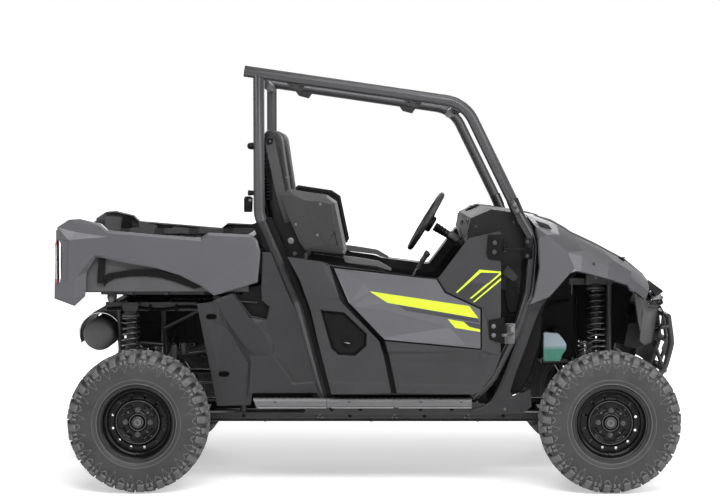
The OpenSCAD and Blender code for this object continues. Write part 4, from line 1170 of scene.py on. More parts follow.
def quarter_and_sills():
    H = 0.640
    B = Build(M_PLASTIC)
    out = [(-0.7823, 0.8375, -0.006), (-0.7186, 0.8444, -0.004), (-0.6887, 0.8624, -0.002), (-0.621, 0.8843, -0.002), (-0.5453, 0.7797, -0.003), (-0.4676, 0.7628, -0.003), (-0.4517, 0.8245, -0.003), (-0.4895, 0.8564, -0.002), (-0.4935, 0.9102, -0.002), (-0.4865, 1.0695, -0.002), (-0.4497, 1.0675, -0.002), (-0.38, 0.8962, -0.002), (-0.3322, 0.7946, -0.002), (-0.2505, 0.4859, -0.002), (-0.2346, 0.4381, -0.002), (-0.5353, 0.4361, -0.002), (-0.5413, 0.3824, -0.004), (-0.6927, 0.3784, -0.006), (-0.7126, 0.4859, -0.006)]
    lines = [
        # blade and its dark diagonal facet
        [(-0.6867, 0.8404, 0.004), (-0.6608, 0.7847, 0.004), (-0.5493, 0.6054, 0.004), (-0.5393, 0.5795, 0.004), (-0.5493, 0.4361, 0.003)],
        [(-0.6708, 0.7389, -0.012), (-0.6429, 0.7209, -0.014), (-0.5493, 0.6174, -0.014)],
        [(-0.6867, 0.8404, 0.004), (-0.6708, 0.7389, -0.012), (-0.5533, 0.5696, -0.008), (-0.5652, 0.3963, -0.004)],
        [(-0.611, 0.8703, 0.006), (-0.5652, 0.7946, 0.006), (-0.4716, 0.6791, 0.005), (-0.382, 0.5736, 0.004), (-0.3421, 0.4899, 0.003)],
        # step at the bottom right
        [(-0.4358, 0.6074, 0.0), (-0.3501, 0.4859, 0.0), (-0.2605, 0.4899, 0.0)],
        [(-0.4457, 0.6034, 0.0035), (-0.3561, 0.476, 0.0035), (-0.2565, 0.479, 0.0035)],
        # facets of the middle
        [(-0.5214, 0.7508, 0.006), (-0.4437, 0.6831, -0.01), (-0.382, 0.6751, -0.006), (-0.3402, 0.6234, -0.002), (-0.4338, 0.6273, -0.004), (-0.4437, 0.6831, -0.01)],
        [(-0.5114, 0.7528, 0.006), (-0.4437, 0.6473, 0.002), (-0.4338, 0.6254, -0.003)],
        # seam under the upper part
        [(-0.4895, 0.9121, -0.0015), (-0.384, 0.8882, -0.0015)],
        [(-0.4905, 0.9201, 0.0012), (-0.388, 0.8982, 0.0012)],
    ]
    slots = []
    for cx, cy in ((92, 346), (148, 605)):
        sl = [(cx - 20, cy - 8), (cx - 12, cy - 12), (cx + 12, cy - 12), (cx + 24, cy - 6), (cx + 24, cy + 4), (cx + 14, cy + 11), (cx - 14, cy + 11), (cx - 22, cy + 4)]
        k = 1986 / (9.5 - 0.64)
        sl = [(round((190 + a / 4.48 - 366) / k - 0.025, 4), round(1.49 - (240 + b / 4.48 - 156) / k + 0.008, 4), -0.005) for a, b in sl]
        slots.append(sl)
        lines.append(["loop"] + [(x, z, -0.001) for x, z in offset([p[:2] for p in sl], 0.003)])
    dark = [(-0.6867, 0.8404), (-0.6608, 0.7847), (-0.5493, 0.6054), (-0.5393, 0.5795), (-0.5552, 0.5656), (-0.6728, 0.7389)]
    add_relief(B, out, lines, H, 0.005, M_PLASTIC, holes=slots)
    # inner liner behind, with the black duct opening
    v, f = g_plate([(-0.782, 0.831), (-0.6223, 0.8729), (-0.6073, 0.8978), (-0.4826, 0.9228), (-0.4826, 1.0625), (-0.4447, 1.0565), (-0.3289, 0.7871), (-0.247, 0.4837), (-0.253, 0.4437), (-0.5365, 0.4417), (-0.5505, 0.3878), (-0.6902, 0.3858), (-0.7101, 0.4837)], 0.606, 0.612)
    B.add(v, f, M_BLACK)
    # lip round the duct
    lip = [(-0.615, 0.8813), (-0.5413, 0.7827), (-0.4686, 0.7668), (-0.4547, 0.8245), (-0.4915, 0.8584)]
    v, f = g_tube([(x, 0.639, z) for x, z in lip], 0.0032, 8)
    B.add(v, f, M_PLASTIC)
    lip = [(-0.5997, 0.8477), (-0.512, 0.8417)]
    v, f = g_tube([(x, 0.622, z) for x, z in lip], 0.0035, 8)
    B.add(v, f, M_PLASTIC)
    # front edge turned in beside the pillar
    edge = [(-0.4497, 1.0675), (-0.38, 0.8962), (-0.3322, 0.7946), (-0.2505, 0.4859), (-0.2346, 0.4381)]
    for p, q in zip(edge[:-1], edge[1:]):
        vv = [(p[0], 0.636, p[1]), (q[0], 0.636, q[1]), (q[0], 0.606, q[1]), (p[0], 0.606, p[1]), (p[0] - 0.004, 0.636, p[1]), (q[0] - 0.004, 0.636, q[1]), (q[0] - 0.004, 0.606, q[1]), (p[0] - 0.004, 0.606, p[1])]
        B.add(vv, [(0, 1, 2, 3), (7, 6, 5, 4), (0, 4, 5, 1), (1, 5, 6, 2), (2, 6, 7, 3), (3, 7, 4, 0)], M_PLASTIC)
    B.mirror_y()
    o = B.obj("quarter_panels_visual", bevel=0.0020, seg=2, angle=12, crisp=2.0)
    finish(o, "chassis", "quarter_panels")
    # sill bar
    S = Build(M_GREYBAR)
    xs = [-0.530, -0.20, 0.10, 0.448]
    sec = [(0.643, 0.416), (0.655, 0.4165), (0.664, 0.412), (0.6675, 0.402), (0.666, 0.392), (0.6675, 0.387), (0.6665, 0.379), (0.658, 0.373), (0.643, 0.372)]
    k = len(sec)
    for i in range(3):
        a, b = xs[i] + (0.0012 if i else 0), xs[i + 1] - (0.0012 if i < 2 else 0)
        vv = [(a, y, z) for y, z in sec] + [(b, y, z) for y, z in sec]
        if i == 0:
            vv[:k] = [(x + (0.416 - z) * 0.35, y, z) for x, y, z in vv[:k]]
        S.add(vv, [tuple(range(k))[::-1], tuple(range(k, 2 * k))] + [(j, (j + 1) % k, (j + 1) % k + k, j + k) for j in range(k)], M_GREYBAR)
        # bright lower strip under the bar
        vv = [(a + 0.02, y, z) for y, z in ((0.660, 0.3755), (0.6665, 0.3755), (0.6665, 0.3715), (0.660, 0.3715))]
        vv += [(b - 0.001, y, z) for x, y, z in vv]
        S.add(vv, [(0, 1, 2, 3), (7, 6, 5, 4), (0, 4, 5, 1), (1, 5, 6, 2), (2, 6, 7, 3), (3, 7, 4, 0)], M_SILLEDGE)
    for x in (-0.43, -0.10, 0.22, 0.40):
        screw(S, (x, 0.6676, 0.400), (0, 1, 0), 0.0045)
    # tread grooves on top, drawn as raised black strips: their dark is painted shade
    for i in range(36):
        x = -0.50 + i * 0.026
        v, f = g_box((x, 0.645, 0.4135), (x + 0.012, 0.657, 0.4175))
        S.add(v, f, M_BLACK)
    S.mirror_y()
    o = S.obj("rocker_sills_visual", bevel=0.0012, seg=2, angle=25)
    finish(o, "chassis", "rocker_sills")
    # fender guards: from the hinge pillar down to the sill's front
    G = Build(M_PLASTIC)
    gout = [(0.7931, 0.8698, 0.0), (0.7606, 0.826, 0.0), (0.7293, 0.7571, 0.0), (0.6955, 0.657, 0.0), (0.6479, 0.5318, 0.0), (0.6204, 0.4441, 0.0), (0.6329, 0.4241, 0.0), (0.6792, 0.4391, 0.0), (0.7118, 0.4554, 0.0), (0.718, 0.3753, -0.002), (0.673, 0.3427, -0.004), (0.4382, 0.3452, -0.003), (0.4382, 0.3628, -0.003), (0.4977, 0.3753, -0.003), (0.5352, 0.4003, -0.003), (0.5728, 0.4692, -0.003), (0.6104, 0.5631, -0.003), (0.6479, 0.6695, -0.003), (0.6823, 0.7696, -0.003), (0.7011, 0.8372, -0.002), (0.7293, 0.851, -0.001)]
    gl = [[(0.7136, 0.8372, 0.003), (0.698, 0.7696, 0.003), (0.6604, 0.6632, 0.003), (0.6229, 0.5568, 0.003), (0.5853, 0.4692, 0.003), (0.5478, 0.4003, 0.002), (0.5165, 0.3753, 0.001)],
          [(0.7606, 0.8416, -0.001), (0.7293, 0.7696, -0.001), (0.6855, 0.657, -0.001), (0.6417, 0.538, -0.001), (0.6104, 0.4441, -0.001), (0.6191, 0.4178, -0.001), (0.6417, 0.4128, -0.001), (0.7118, 0.4466, -0.001)],
          [(0.5352, 0.3715, 0.002), (0.5978, 0.3765, 0.002), (0.6179, 0.4103, 0.002)]]
    add_relief(G, gout, gl, 0.638, 0.004, M_PLASTIC)
    (sx, sz), = [(0.5978, 0.3646)]
    screw(G, (sx, 0.6385, sz), (0, 1, 0), 0.006, M_ZINC)
    G.mirror_y()
    o = G.obj("fender_guards_visual", bevel=0.0022, seg=2, angle=12, crisp=2.0)
    finish(o, "chassis", "fender_guards")


M_SILLEDGE = mat("sill_edge", (0.16, 0.16, 0.165), rough=0.38, vary=0.08, scale=5)
quarter_and_sills()

# ------------------------------------------------------------------ cage
def weld(B, c, d, r, m, n=26, t=0.0016):
    """Ring of small overlapping ripples round a tube end."""
    c, d = Vector(c), Vector(d).normalized()
    u, w = frame_of(d)
    k = 72
    vs, fs = [], []
    m6 = 6
    for i in range(k):
        a = 2 * math.pi * i / k
        rr = t * (1 + 0.35 * math.sin(a * n))
        o = u * math.cos(a) + w * math.sin(a)
        for j in range(m6):
            b = 2 * math.pi * j / m6
            vs.append(c + o * (r + rr * math.cos(b)) + d * (rr * 1.5 * math.sin(b) + 0.0004 * math.sin(a * n)))
    for i in range(k):
        for j in range(m6):
            fs.append((i * m6 + j, ((i + 1) % k) * m6 + j, ((i + 1) % k) * m6 + (j + 1) % m6, i * m6 + (j + 1) % m6))
    B.add(vs, fs, m)


def cage():
    Z = 0.612
    z8 = 0.008
    R = 0.0252

    def at(p, y=Z):
        return [Vector((q[0], y, q[1] + z8)) for q in p]
    top = bent(at([(-0.564, 1.868), (0.416, 1.7255), (0.6405, 1.268)]), [0.16], 14)
    low = bent(at([(0.646, 1.2555), (0.667, 1.208), (0.724, 1.110), (0.706, 0.880), (0.664, 0.740), (0.545, 0.500), (0.4505, 0.402)]), [0.16, 0.16, 0.30, 0.30, 0.12], 10)
    # B pillar: straight, then one bend, then a gentle one near the foot
    pil = bent(at([(-0.5035, 1.852), (-0.5035, 1.225), (-0.330, 0.820), (-0.2165, 0.393)]), [0.15, 0.30], 12)
    B = Build(M_CAGE)
    v, f = g_tube(top, R, 28)
    B.add(v, f, M_CAGE)
    # rounded rear end cap with a rim
    a, d = top[0], (top[0] - top[1]).normalized()
    v, f = g_tube([a, a + d * 0.002, a + d * 0.004], [R + 0.001, R + 0.001, R - 0.002], 28)
    B.add(v, f, M_CAGE2)
    v, f = g_tube(pil[:16], R, 28)
    B.add(v, f, M_CAGE)
    v, f = g_tube(pil[12:], R, 28)
    B.add(v, f, M_CAGE)
    weld(B, (-0.5035, Z, 1.8605 - 0.022), (0, 0, 1), R - 0.001, M_CAGE)
    # lower pillar: black tube with two slim paler strips along its edges, which are painted highlights
    v, f = g_tube(low, R, 28)
    B.add(v, f, M_CAGE2)
    for off in (-1, 1):
        line = []
        for i, q in enumerate(low):
            t = (low[min(i + 1, len(low) - 1)] - low[max(i - 1, 0)]).normalized()
            nrm_ = Vector((-t.z, 0, t.x))
            line.append(q + nrm_ * off * 0.0145 + Vector((0, 0.0195, 0)))
        v, f = g_tube(line[2:-1], 0.0028, 8)
        B.add(v, f, M_CAGE)
    # joint sleeve with two bolts
    a, b = top[-1], low[0]
    d = (b - a).normalized()
    v, f = g_tube([a - d * 0.030, a - d * 0.028, b + d * 0.022, b + d * 0.024], [R - 0.002, R + 0.0024, R + 0.0024, R - 0.002], 28)
    B.add(v, f, M_CAGE2)
    for k in (-0.014, 0.016):
        c = (a + b) / 2 + d * k
        bolt(B, c + Vector((0, R + 0.0015, 0)), (0, 1, 0), 0.0065, 0.005, M_ZINC)
    # foot flanges with bolts
    for x in (0.440, -0.215):
        v, f = g_plate([(x - 0.040, 0.390), (x + 0.040, 0.390), (x + 0.040, 0.396), (x - 0.040, 0.396)], 0.590, 0.634)
        B.add(v, f, M_CAGE2)
        for k in (-0.032, 0.032):
            bolt(B, (x + k, 0.628, 0.396), (0, 0, 1), 0.0055, 0.0045, M_ZINC)
    # black bands either side of the door pillar, from the waist down
    for s in (-1, 1):
        line = []
        for i in range(12, len(pil)):
            q = pil[i]
            t = (pil[min(i + 1, len(pil) - 1)] - pil[max(i - 1, 0)]).normalized()
            nrm_ = Vector((-t.z, 0, t.x)) * s
            line.append((q + nrm_ * 0.020, q + nrm_ * (0.048 if s > 0 else 0.044)))
        vs, fs = [], []
        for k, (p, q) in enumerate(line):
            vs += [(p.x, 0.628, p.z), (q.x, 0.626, q.z), (q.x, 0.596, q.z), (p.x, 0.596, p.z)]
        n = len(line)
        for k in range(n - 1):
            for j in range(4):
                fs.append((k * 4 + j, k * 4 + 4 + j, k * 4 + 4 + (j + 1) % 4, k * 4 + (j + 1) % 4))
        fs += [(0, 1, 2, 3), (4 * n - 1, 4 * n - 2, 4 * n - 3, 4 * n - 4)]
        B.add(vs, fs, M_BLACK)
    # slim pale line down the pillar's front face: a painted highlight
    line = [q + Vector((0.004, 0.0245, 0)) for q in pil[14:]]
    v, f = g_tube(line, 0.0020, 6)
    B.add(v, f, M_GREYBAR)
    # hinge ears of the door with gussets
    for z, xe in ((1.070, 0.718), (0.690, 0.640)):
        z += z8
        m = M_BLACK if z > 0.9 else M_GREYBAR
        pl = [(0.586, 0.694), (xe, 0.624), (xe + 0.004, 0.628), (0.600, 0.716), (0.594, 0.7185), (0.584, 0.7165), (0.578, 0.710), (0.5795, 0.700)]
        k = len(pl)
        vv = [(x, y, z + 0.0005) for x, y in pl] + [(x, y, z + 0.0115) for x, y in pl]
        B.add(vv, [tuple(range(k))[::-1], tuple(range(k, 2 * k))] + [(i, (i + 1) % k, (i + 1) % k + k, i + k) for i in range(k)], m)
        # bracket plate on the tube with two bolts, under and over the ear
        px = xe - 0.016
        v, f = g_plate(rounded([(px - 0.030, z - 0.040), (px + 0.016, z - 0.040), (px + 0.020, z + 0.052), (px - 0.026, z + 0.052)], 0.006, 3), 0.628, 0.640)
        B.add(v, f, m)
        for dz in (-0.026, 0.038):
            bolt(B, (px - 0.006, 0.640, z + dz), (0, 1, 0), 0.0055, 0.0045, M_ZINC if m is M_GREYBAR else M_BOLT)
    # roof tabs for a canopy
    for x0, x1 in ((-0.385, -0.295), (0.14, 0.228)):
        zz = lambda x: 1.876 + (x + 0.564) * (1.7335 - 1.876) / 0.98
        pts = [(x0, zz(x0) - 0.020), (x0 + 0.02, zz(x0) - 0.048), (x1 - 0.02, zz(x1) - 0.048), (x1, zz(x1) - 0.020)]
        v, f = g_plate(pts, Z - 0.030, Z - 0.026)
        B.add(v, f, M_CAGE2)
        for t in (0.3, 0.7):
            x = x0 + (x1 - x0) * t
            bolt(B, (x, Z - 0.026, zz(x) - 0.036), (0, 1, 0), 0.005, 0.004, M_BOLT)
    # net hooks and knobs on the rear of the pillar
    for z in (1.535, 1.325):
        v, f = g_tube([(-0.528, Z, z + z8), (-0.545, Z, z + z8), (-0.552, Z, z + z8), (-0.5535, Z, z + z8)], [0.010, 0.012, 0.012, 0.007], 20)
        B.add(v, f, M_BLACK)
    src = B.obj("cage_src", bevel=0.0009, seg=1, angle=40)
    src = join([src], "cage_src2")
    for side, sg in (("left", 1), ("right", -1)):
        me = src.data.copy()
        me.transform(Matrix.Diagonal((1, sg, 1, 1)))
        if sg < 0:
            me.flip_normals()
        o = bpy.data.objects.new(f"cage_{side}_visual", me)
        COL.objects.link(o)
        finish(o, "chassis", f"cage_{side}")
    bpy.data.objects.remove(src)
    # cross bars with welds
    C = Build(M_CAGEX)
    e = Z - 0.0235
    for x, z, r in ((0.396, 1.714, 0.0218), (-0.5035, 1.840, 0.0218), (-0.5035, 1.251, 0.0188)):
        v, f = g_tube([(x, -e, z), (x, e, z)], r, 28)
        C.add(v, f, M_CAGEX)
        for s in (-1, 1):
            weld(C, (x, s * (e - 0.002), z), (0, s, 0), r - 0.001, M_CAGEX)
    v, f = g_tube(bent([(-0.505, -0.575, 1.543), (-0.545, -0.555, 1.543), (-0.545, 0.555, 1.543), (-0.505, 0.575, 1.543)], [0.02, 0.02], 6), 0.0155, 24)
    C.add(v, f, M_CAGEX)
    o = C.obj("cage_crossbars_visual")
    finish(o, "chassis", "cage_crossbars")
    # inner sills: close the floor between the tub and the outer rails
    I = Build(M_BLACK)
    prof = [(0.541, 0.396), (0.541, 0.404), (0.580, 0.408), (0.586, 0.452), (0.594, 0.452), (0.594, 0.392)]
    a, b = -0.50, 0.52
    k = len(prof)
    vv = [(a, y, z) for y, z in prof] + [(b, y, z) for y, z in prof]
    I.add(vv, [tuple(range(k))[::-1], tuple(range(k, 2 * k))] + [(i, (i + 1) % k, (i + 1) % k + k, i + k) for i in range(k)], M_BLACK)
    # seat-side liner behind the pillar up to the seat base
    lin = [(-0.545, 0.398), (-0.20, 0.398), (-0.200, 0.46), (-0.255, 0.70), (-0.330, 0.93), (-0.415, 1.08), (-0.478, 1.08), (-0.478, 0.93), (-0.470, 0.80), (-0.52, 0.77)]
    v, f = g_plate(lin, 0.572, 0.578)
    I.add(v, f, M_BLACK)
    I.mirror_y()
    o = I.obj("inner_sills", bevel=0.0015, seg=2, angle=25)
    finish(o, "chassis", None)


cage()

# ------------------------------------------------------------------ front bodywork


def shell(B, faces, thick, m, smooth=True):
    """Facet shell from lists of points, thickened inwards along averaged normals."""
    key = {}
    V = []

    def vid(p):
        k = tuple(round(c, 4) for c in p)
        if k not in key:
            key[k] = len(V)
            V.append(Vector(p))
        return key[k]
    F = [[vid(p) for p in f] for f in faces]
    N = [Vector((0, 0, 0)) for _ in V]
    for f in F:
        c = Vector((0, 0, 0))
        n = Vector((0, 0, 0))
        for i in range(len(f)):
            a, b = V[f[i]], V[f[(i + 1) % len(f)]]
            n += Vector(((a.y - b.y) * (a.z + b.z), (a.z - b.z) * (a.x + b.x), (a.x - b.x) * (a.y + b.y)))
        n.normalize()
        for i in f:
            N[i] += n
    n = len(V)
    vs = V + [v - (k.normalized() if k.length > 0 else Vector((0, 0, 1))) * thick for v, k in zip(V, N)]
    fs = [tuple(f) for f in F] + [tuple(i + n for i in f[::-1]) for f in F]
    cnt = set()
    for f in F:
        for i in range(len(f)):
            cnt.add((f[i], f[(i + 1) % len(f)]))
    for a, b in cnt:
        if (b, a) not in cnt:
            fs.append((b, a, a + n, b + n))
    B.add(vs, fs, m, smooth=smooth)


def fender():
    a = [(0.704, 0.437, 1.226), (0.842, 0.437, 1.178), (0.906, 0.437, 1.140), (1.050, 0.437, 1.066), (1.182, 0.437, 0.994), (1.258, 0.437, 0.928)]
    b = [(0.735, 0.598, 1.178), (0.842, 0.588, 1.142), (0.947, 0.592, 1.070), (1.085, 0.592, 1.026), (1.165, 0.578, 0.976), (1.250, 0.545, 0.908)]
    c = [(0.742, 0.688, 1.128), (0.774, 0.700, 1.146), (0.867, 0.710, 1.070), (0.932, 0.690, 1.050), (1.050, 0.688, 1.010), (1.155, 0.664, 0.952), (1.236, 0.628, 0.888)]
    r3, r4, r5 = (0.746, 0.711, 1.000), (0.722, 0.710, 0.880), (0.700, 0.706, 0.842)
    C2 = (0.899, 0.717, 0.998)
    A = [(0.7856, 0.718, 0.878), (0.879, 0.722, 0.986), (0.907, 0.723, 0.992), (0.928, 0.723, 0.989), (1.046, 0.720, 0.958), (1.133, 0.706, 0.930), (1.149, 0.700, 0.906), (1.224, 0.641, 0.862)]
    B = Build(M_PAINT)
    F = [[a[0], b[0], b[1], a[1]], [a[1], b[1], b[2], a[2]], [a[2], b[2], b[3], a[3]], [a[3], b[3], b[4], a[4]], [a[4], b[4], b[5], a[5]],
         [b[0], c[0], c[1], b[1]], [b[1], c[1], c[2], b[2]], [b[2], c[2], c[3]], [b[2], c[3], c[4], b[3]], [b[3], c[4], c[5], b[4]], [b[4], c[5], c[6], b[5]],
         [c[0], r3, C2, c[2], c[1]], [r3, r4, A[0], C2], [r4, r5, A[0]], [A[0], A[1], C2], [A[1], A[2], C2],
         [c[2], C2, A[2], A[3], c[3]], [c[3], A[3], A[4], c[4]], [c[4], A[4], A[5], c[5]], [c[5], A[5], A[6]], [c[5], A[6], A[7], c[6]]]
    # lip turned in round the arch
    arch = [r5] + A
    for p, q in zip(arch[:-1], arch[1:]):
        F.append([p, (p[0] + 0.001, p[1] - 0.022, p[2] - 0.004), (q[0] + 0.001, q[1] - 0.022, q[2] - 0.004), q])
    shell(B, F, 0.0045, M_PAINT)
    # rear edge turned in beside the pillar
    rear = [b[0], c[0], r3, r4, r5]
    F = []
    for p, q in zip(rear[:-1], rear[1:]):
        F.append([q, p, (p[0] + 0.004, p[1] - 0.022, p[2]), (q[0] + 0.004, q[1] - 0.022, q[2])])
    shell(B, F, 0.004, M_PAINT)
    # clips and the blind plug
    for x, z in [(0.8129, 0.9837), (0.7695, 0.9092)]:
        v, f = g_plate(rounded([(x - 0.011, z - 0.006), (x + 0.010, z - 0.005), (x + 0.011, z + 0.006), (x - 0.010, z + 0.006)], 0.004, 3), 0.700, 0.7165)
        B.add(v, f, M_PAINT)
    (x, z), = [(0.9853, 1.0233)]
    v, f = g_tube([(x, 0.690, z), (x, 0.706, z - 0.004), (x, 0.708, z - 0.005)], [0.006, 0.006, 0.004], 16)
    B.add(v, f, M_DOOR)
    # dark intake slot between hood and fender
    F = [[(0.742, 0.520, 1.2075), (0.800, 0.516, 1.188), (0.812, 0.560, 1.170), (0.760, 0.570, 1.186)]]
    shell(B, F, 0.004, M_BLACK)
    B.mirror_y()
    o = B.obj("front_fenders_visual", bevel=0.0045, seg=3, angle=9, weld=True)
    finish(o, "chassis", "front_fenders")


def hood():
    ys = [-0.430, -0.330, -0.215, -0.195, 0.0, 0.195, 0.215, 0.330, 0.430]
    st = [(0.702, 1.226), (0.760, 1.210), (0.842, 1.180), (0.906, 1.142), (0.935, 1.122), (1.050, 1.068), (1.184, 0.996), (1.262, 0.932), (1.322, 0.852)]
    B = Build(M_PAINT)
    G = []
    for y in ys:
        k = 1 - (y / 0.43) ** 2
        row = []
        for i, (x, z) in enumerate(st):
            lift_ = 0.013 * k
            if abs(y) <= 0.196:
                lift_ += (0.0, 0.004, 0.011, 0.012, 0.011, 0.010, 0.009, 0.006, 0.0)[i]
            fx = 0.016 * k * (i / 8.0) ** 2
            row.append((x + fx, y, z + lift_ - 0.004 * (abs(y) / 0.43) ** 4))
        G.append(row)
    F = []
    for i in range(len(ys) - 1):
        for j in range(len(st) - 1):
            F.append([G[i][j], G[i][j + 1], G[i + 1][j + 1], G[i + 1][j]])
    F = [f[::-1] for f in F]
    n = Vector(F[0][1]) - Vector(F[0][0])
    m = Vector(F[0][2]) - Vector(F[0][0])
    if n.cross(m).z < 0:
        F = [f[::-1] for f in F]
    shell(B, F, 0.005, M_PAINT)
    # side flanges down into the fender gap
    for s in (0, len(ys) - 1):
        y = ys[s]
        F = []
        for j in range(len(st) - 1):
            p, q = G[s][j], G[s][j + 1]
            f = [p, q, (q[0] - 0.002, y - math.copysign(0.004, y), q[2] - 0.018), (p[0] - 0.002, y - math.copysign(0.004, y), p[2] - 0.018)]
            F.append(f if y < 0 else f[::-1])
        shell(B, F, 0.003, M_PAINT)
    # cowl vent with slats at the rear
    for i in range(7):
        x = 0.722 + i * 0.0095
        z = 1.226 + 0.012 - (x - 0.702) * 0.25
        v, f = g_box((x, -0.150, z - 0.001), (x + 0.0045, 0.150, z + 0.0045))
        B.add(v, f, M_BLACK)
    # latches
    for y in (-0.36, 0.36):
        v, f = g_tube([(1.150, y, 1.020), (1.154, y, 1.027), (1.155, y, 1.029)], [0.016, 0.016, 0.012], 24)
        B.add(v, f, M_BLACK)
        v, f = g_box((1.138, y - 0.003, 1.028), (1.170, y + 0.003, 1.033))
        B.add(v, f, M_BLACK)
    o = B.obj("hood_visual", bevel=0.0040, seg=3, angle=8, weld=True)
    finish(o, "chassis", "hood")


def fascia():
    B = Build(M_PLASTIC)
    # centre: grille with horizontal bars between an upper brow and a lower skid
    ys = [-0.366, -0.24, -0.12, 0.0, 0.12, 0.24, 0.366]

    def bow(y):
        return 26 * (abs(y) / 0.366) ** 2 / 1000
    st = [(1.338, 0.838), (1.364, 0.830), (1.366, 0.822), (1.350, 0.812), (1.352, 0.800)]
    G = [[(x - bow(y), y, z) for x, z in st] for y in ys]
    F = [[G[i][j], G[i + 1][j], G[i + 1][j + 1], G[i][j + 1]] for i in range(len(ys) - 1) for j in range(len(st) - 1)]
    shell(B, F, 0.006, M_PLASTIC)
    st = [(1.356, 0.800), (1.369, 0.776), (1.364, 0.716), (1.350, 0.690), (1.340, 0.628), (1.318, 0.560), (1.302, 0.528)]
    G = [[(x - bow(y), y, z) for x, z in st] for y in ys]
    F = []
    for i in range(len(ys) - 1):
        for j in range(len(st) - 1):
            if 1 <= j <= 2 and 0 < i < len(ys) - 2:
                continue            # grille opening
            F.append([G[i][j], G[i + 1][j], G[i + 1][j + 1], G[i][j + 1]])
    shell(B, F, 0.006, M_PLASTIC)
    for k in range(6):
        z = 0.700 + k * 0.0135
        pts = [(1.360 - bow(y) - 0.004, y, z) for y in (-0.243, -0.12, 0.0, 0.12, 0.243)]
        v, f = g_tube(smooth_path(pts, 3), 0.0034, 8)
        B.add(v, f, M_PLASTIC)
    for y in (-0.12, 0.0, 0.12):
        v, f = g_box((1.342 - bow(y), y - 0.005, 0.690), (1.357 - bow(y), y + 0.005, 0.782))
        B.add(v, f, M_PLASTIC)
    v, f = g_box((1.300, -0.26, 0.66), (1.306, 0.26, 0.80))
    B.add(v, f, M_BLACK)
    # lower intake slats
    for k in range(4):
        z = 0.548 + k * 0.018
        v, f = g_box((1.318 + k * 0.006, -0.20, z), (1.328 + k * 0.006, 0.20, z + 0.007))
        B.add(v, f, M_BLACK)
    # corner pieces: wing under the lamp and the side of the nose
    for s in (1, -1):
        def P(x, y, z):
            return (x, s * y, z)
        F = [
            [P(1.308, 0.372, 0.832), P(1.318, 0.372, 0.796), P(1.262, 0.500, 0.790), P(1.256, 0.500, 0.826)],
            [P(1.256, 0.500, 0.826), P(1.262, 0.500, 0.790), P(1.216, 0.596, 0.800), P(1.214, 0.604, 0.862)],
            [P(1.318, 0.372, 0.796), P(1.302, 0.372, 0.708), P(1.244, 0.500, 0.700), P(1.262, 0.500, 0.790)],
            [P(1.262, 0.500, 0.790), P(1.244, 0.500, 0.700), P(1.206, 0.590, 0.712), P(1.216, 0.596, 0.800)],
            [P(1.214, 0.604, 0.862), P(1.216, 0.596, 0.800), P(1.206, 0.590, 0.712), P(1.190, 0.628, 0.760), P(1.168, 0.680, 0.880), P(1.222, 0.634, 0.880)],
            [P(1.302, 0.372, 0.708), P(1.290, 0.372, 0.640), P(1.236, 0.480, 0.640), P(1.244, 0.500, 0.700)],
            [P(1.244, 0.500, 0.700), P(1.236, 0.480, 0.640), P(1.206, 0.560, 0.668), P(1.206, 0.590, 0.712)],
        ]
        if s < 0:
            F = [f[::-1] for f in F]
        F = [f[::-1] for f in F]
        shell(B, F, 0.005, M_PLASTIC)
        # dark plate low behind the corner
        vv = [(1.181, 0.7323), (1.2195, 0.7323), (1.2548, 0.6233), (1.1971, 0.6168), (1.1586, 0.6265)]
        v, f = g_plate(vv, 0.405, 0.411)
        B.add([(x, s * y, z) for x, y, z in v], f if s > 0 else [q[::-1] for q in f], M_PLASTIC)
        # brow over the lamp
        F = [[P(1.262, 0.436, 0.930), P(1.326, 0.436, 0.884), P(1.276, 0.556, 0.872), P(1.252, 0.556, 0.900)],
             [P(1.326, 0.436, 0.884), P(1.330, 0.436, 0.876), P(1.280, 0.556, 0.864), P(1.276, 0.556, 0.872)]]
        if s < 0:
            F = [f[::-1] for f in F]
        F = [f[::-1] for f in F]
        shell(B, F, 0.004, M_BLACK)
        F = [[P(1.300, 0.434, 0.884), P(1.344, 0.380, 0.850), P(1.340, 0.372, 0.838), P(1.300, 0.434, 0.838)]]
        if s < 0:
            F = [f[::-1] for f in F]
        shell(B, F, 0.004, M_BLACK)
        # slim fins at the nose corner
        for k in range(3):
            z = 0.846 - k * 0.014
            v, f = g_tube([P(1.262 - k * 0.006, 0.566 + k * 0.004, z), P(1.300 - k * 0.006, 0.500, z - 0.010), P(1.322 - k * 0.004, 0.440, z - 0.014)], 0.0032, 8)
            B.add(v, f, M_BLACK)
    o = B.obj("front_fascia_visual", bevel=0.0022, seg=2, angle=12, weld=True)
    finish(o, "chassis", "front_fascia")


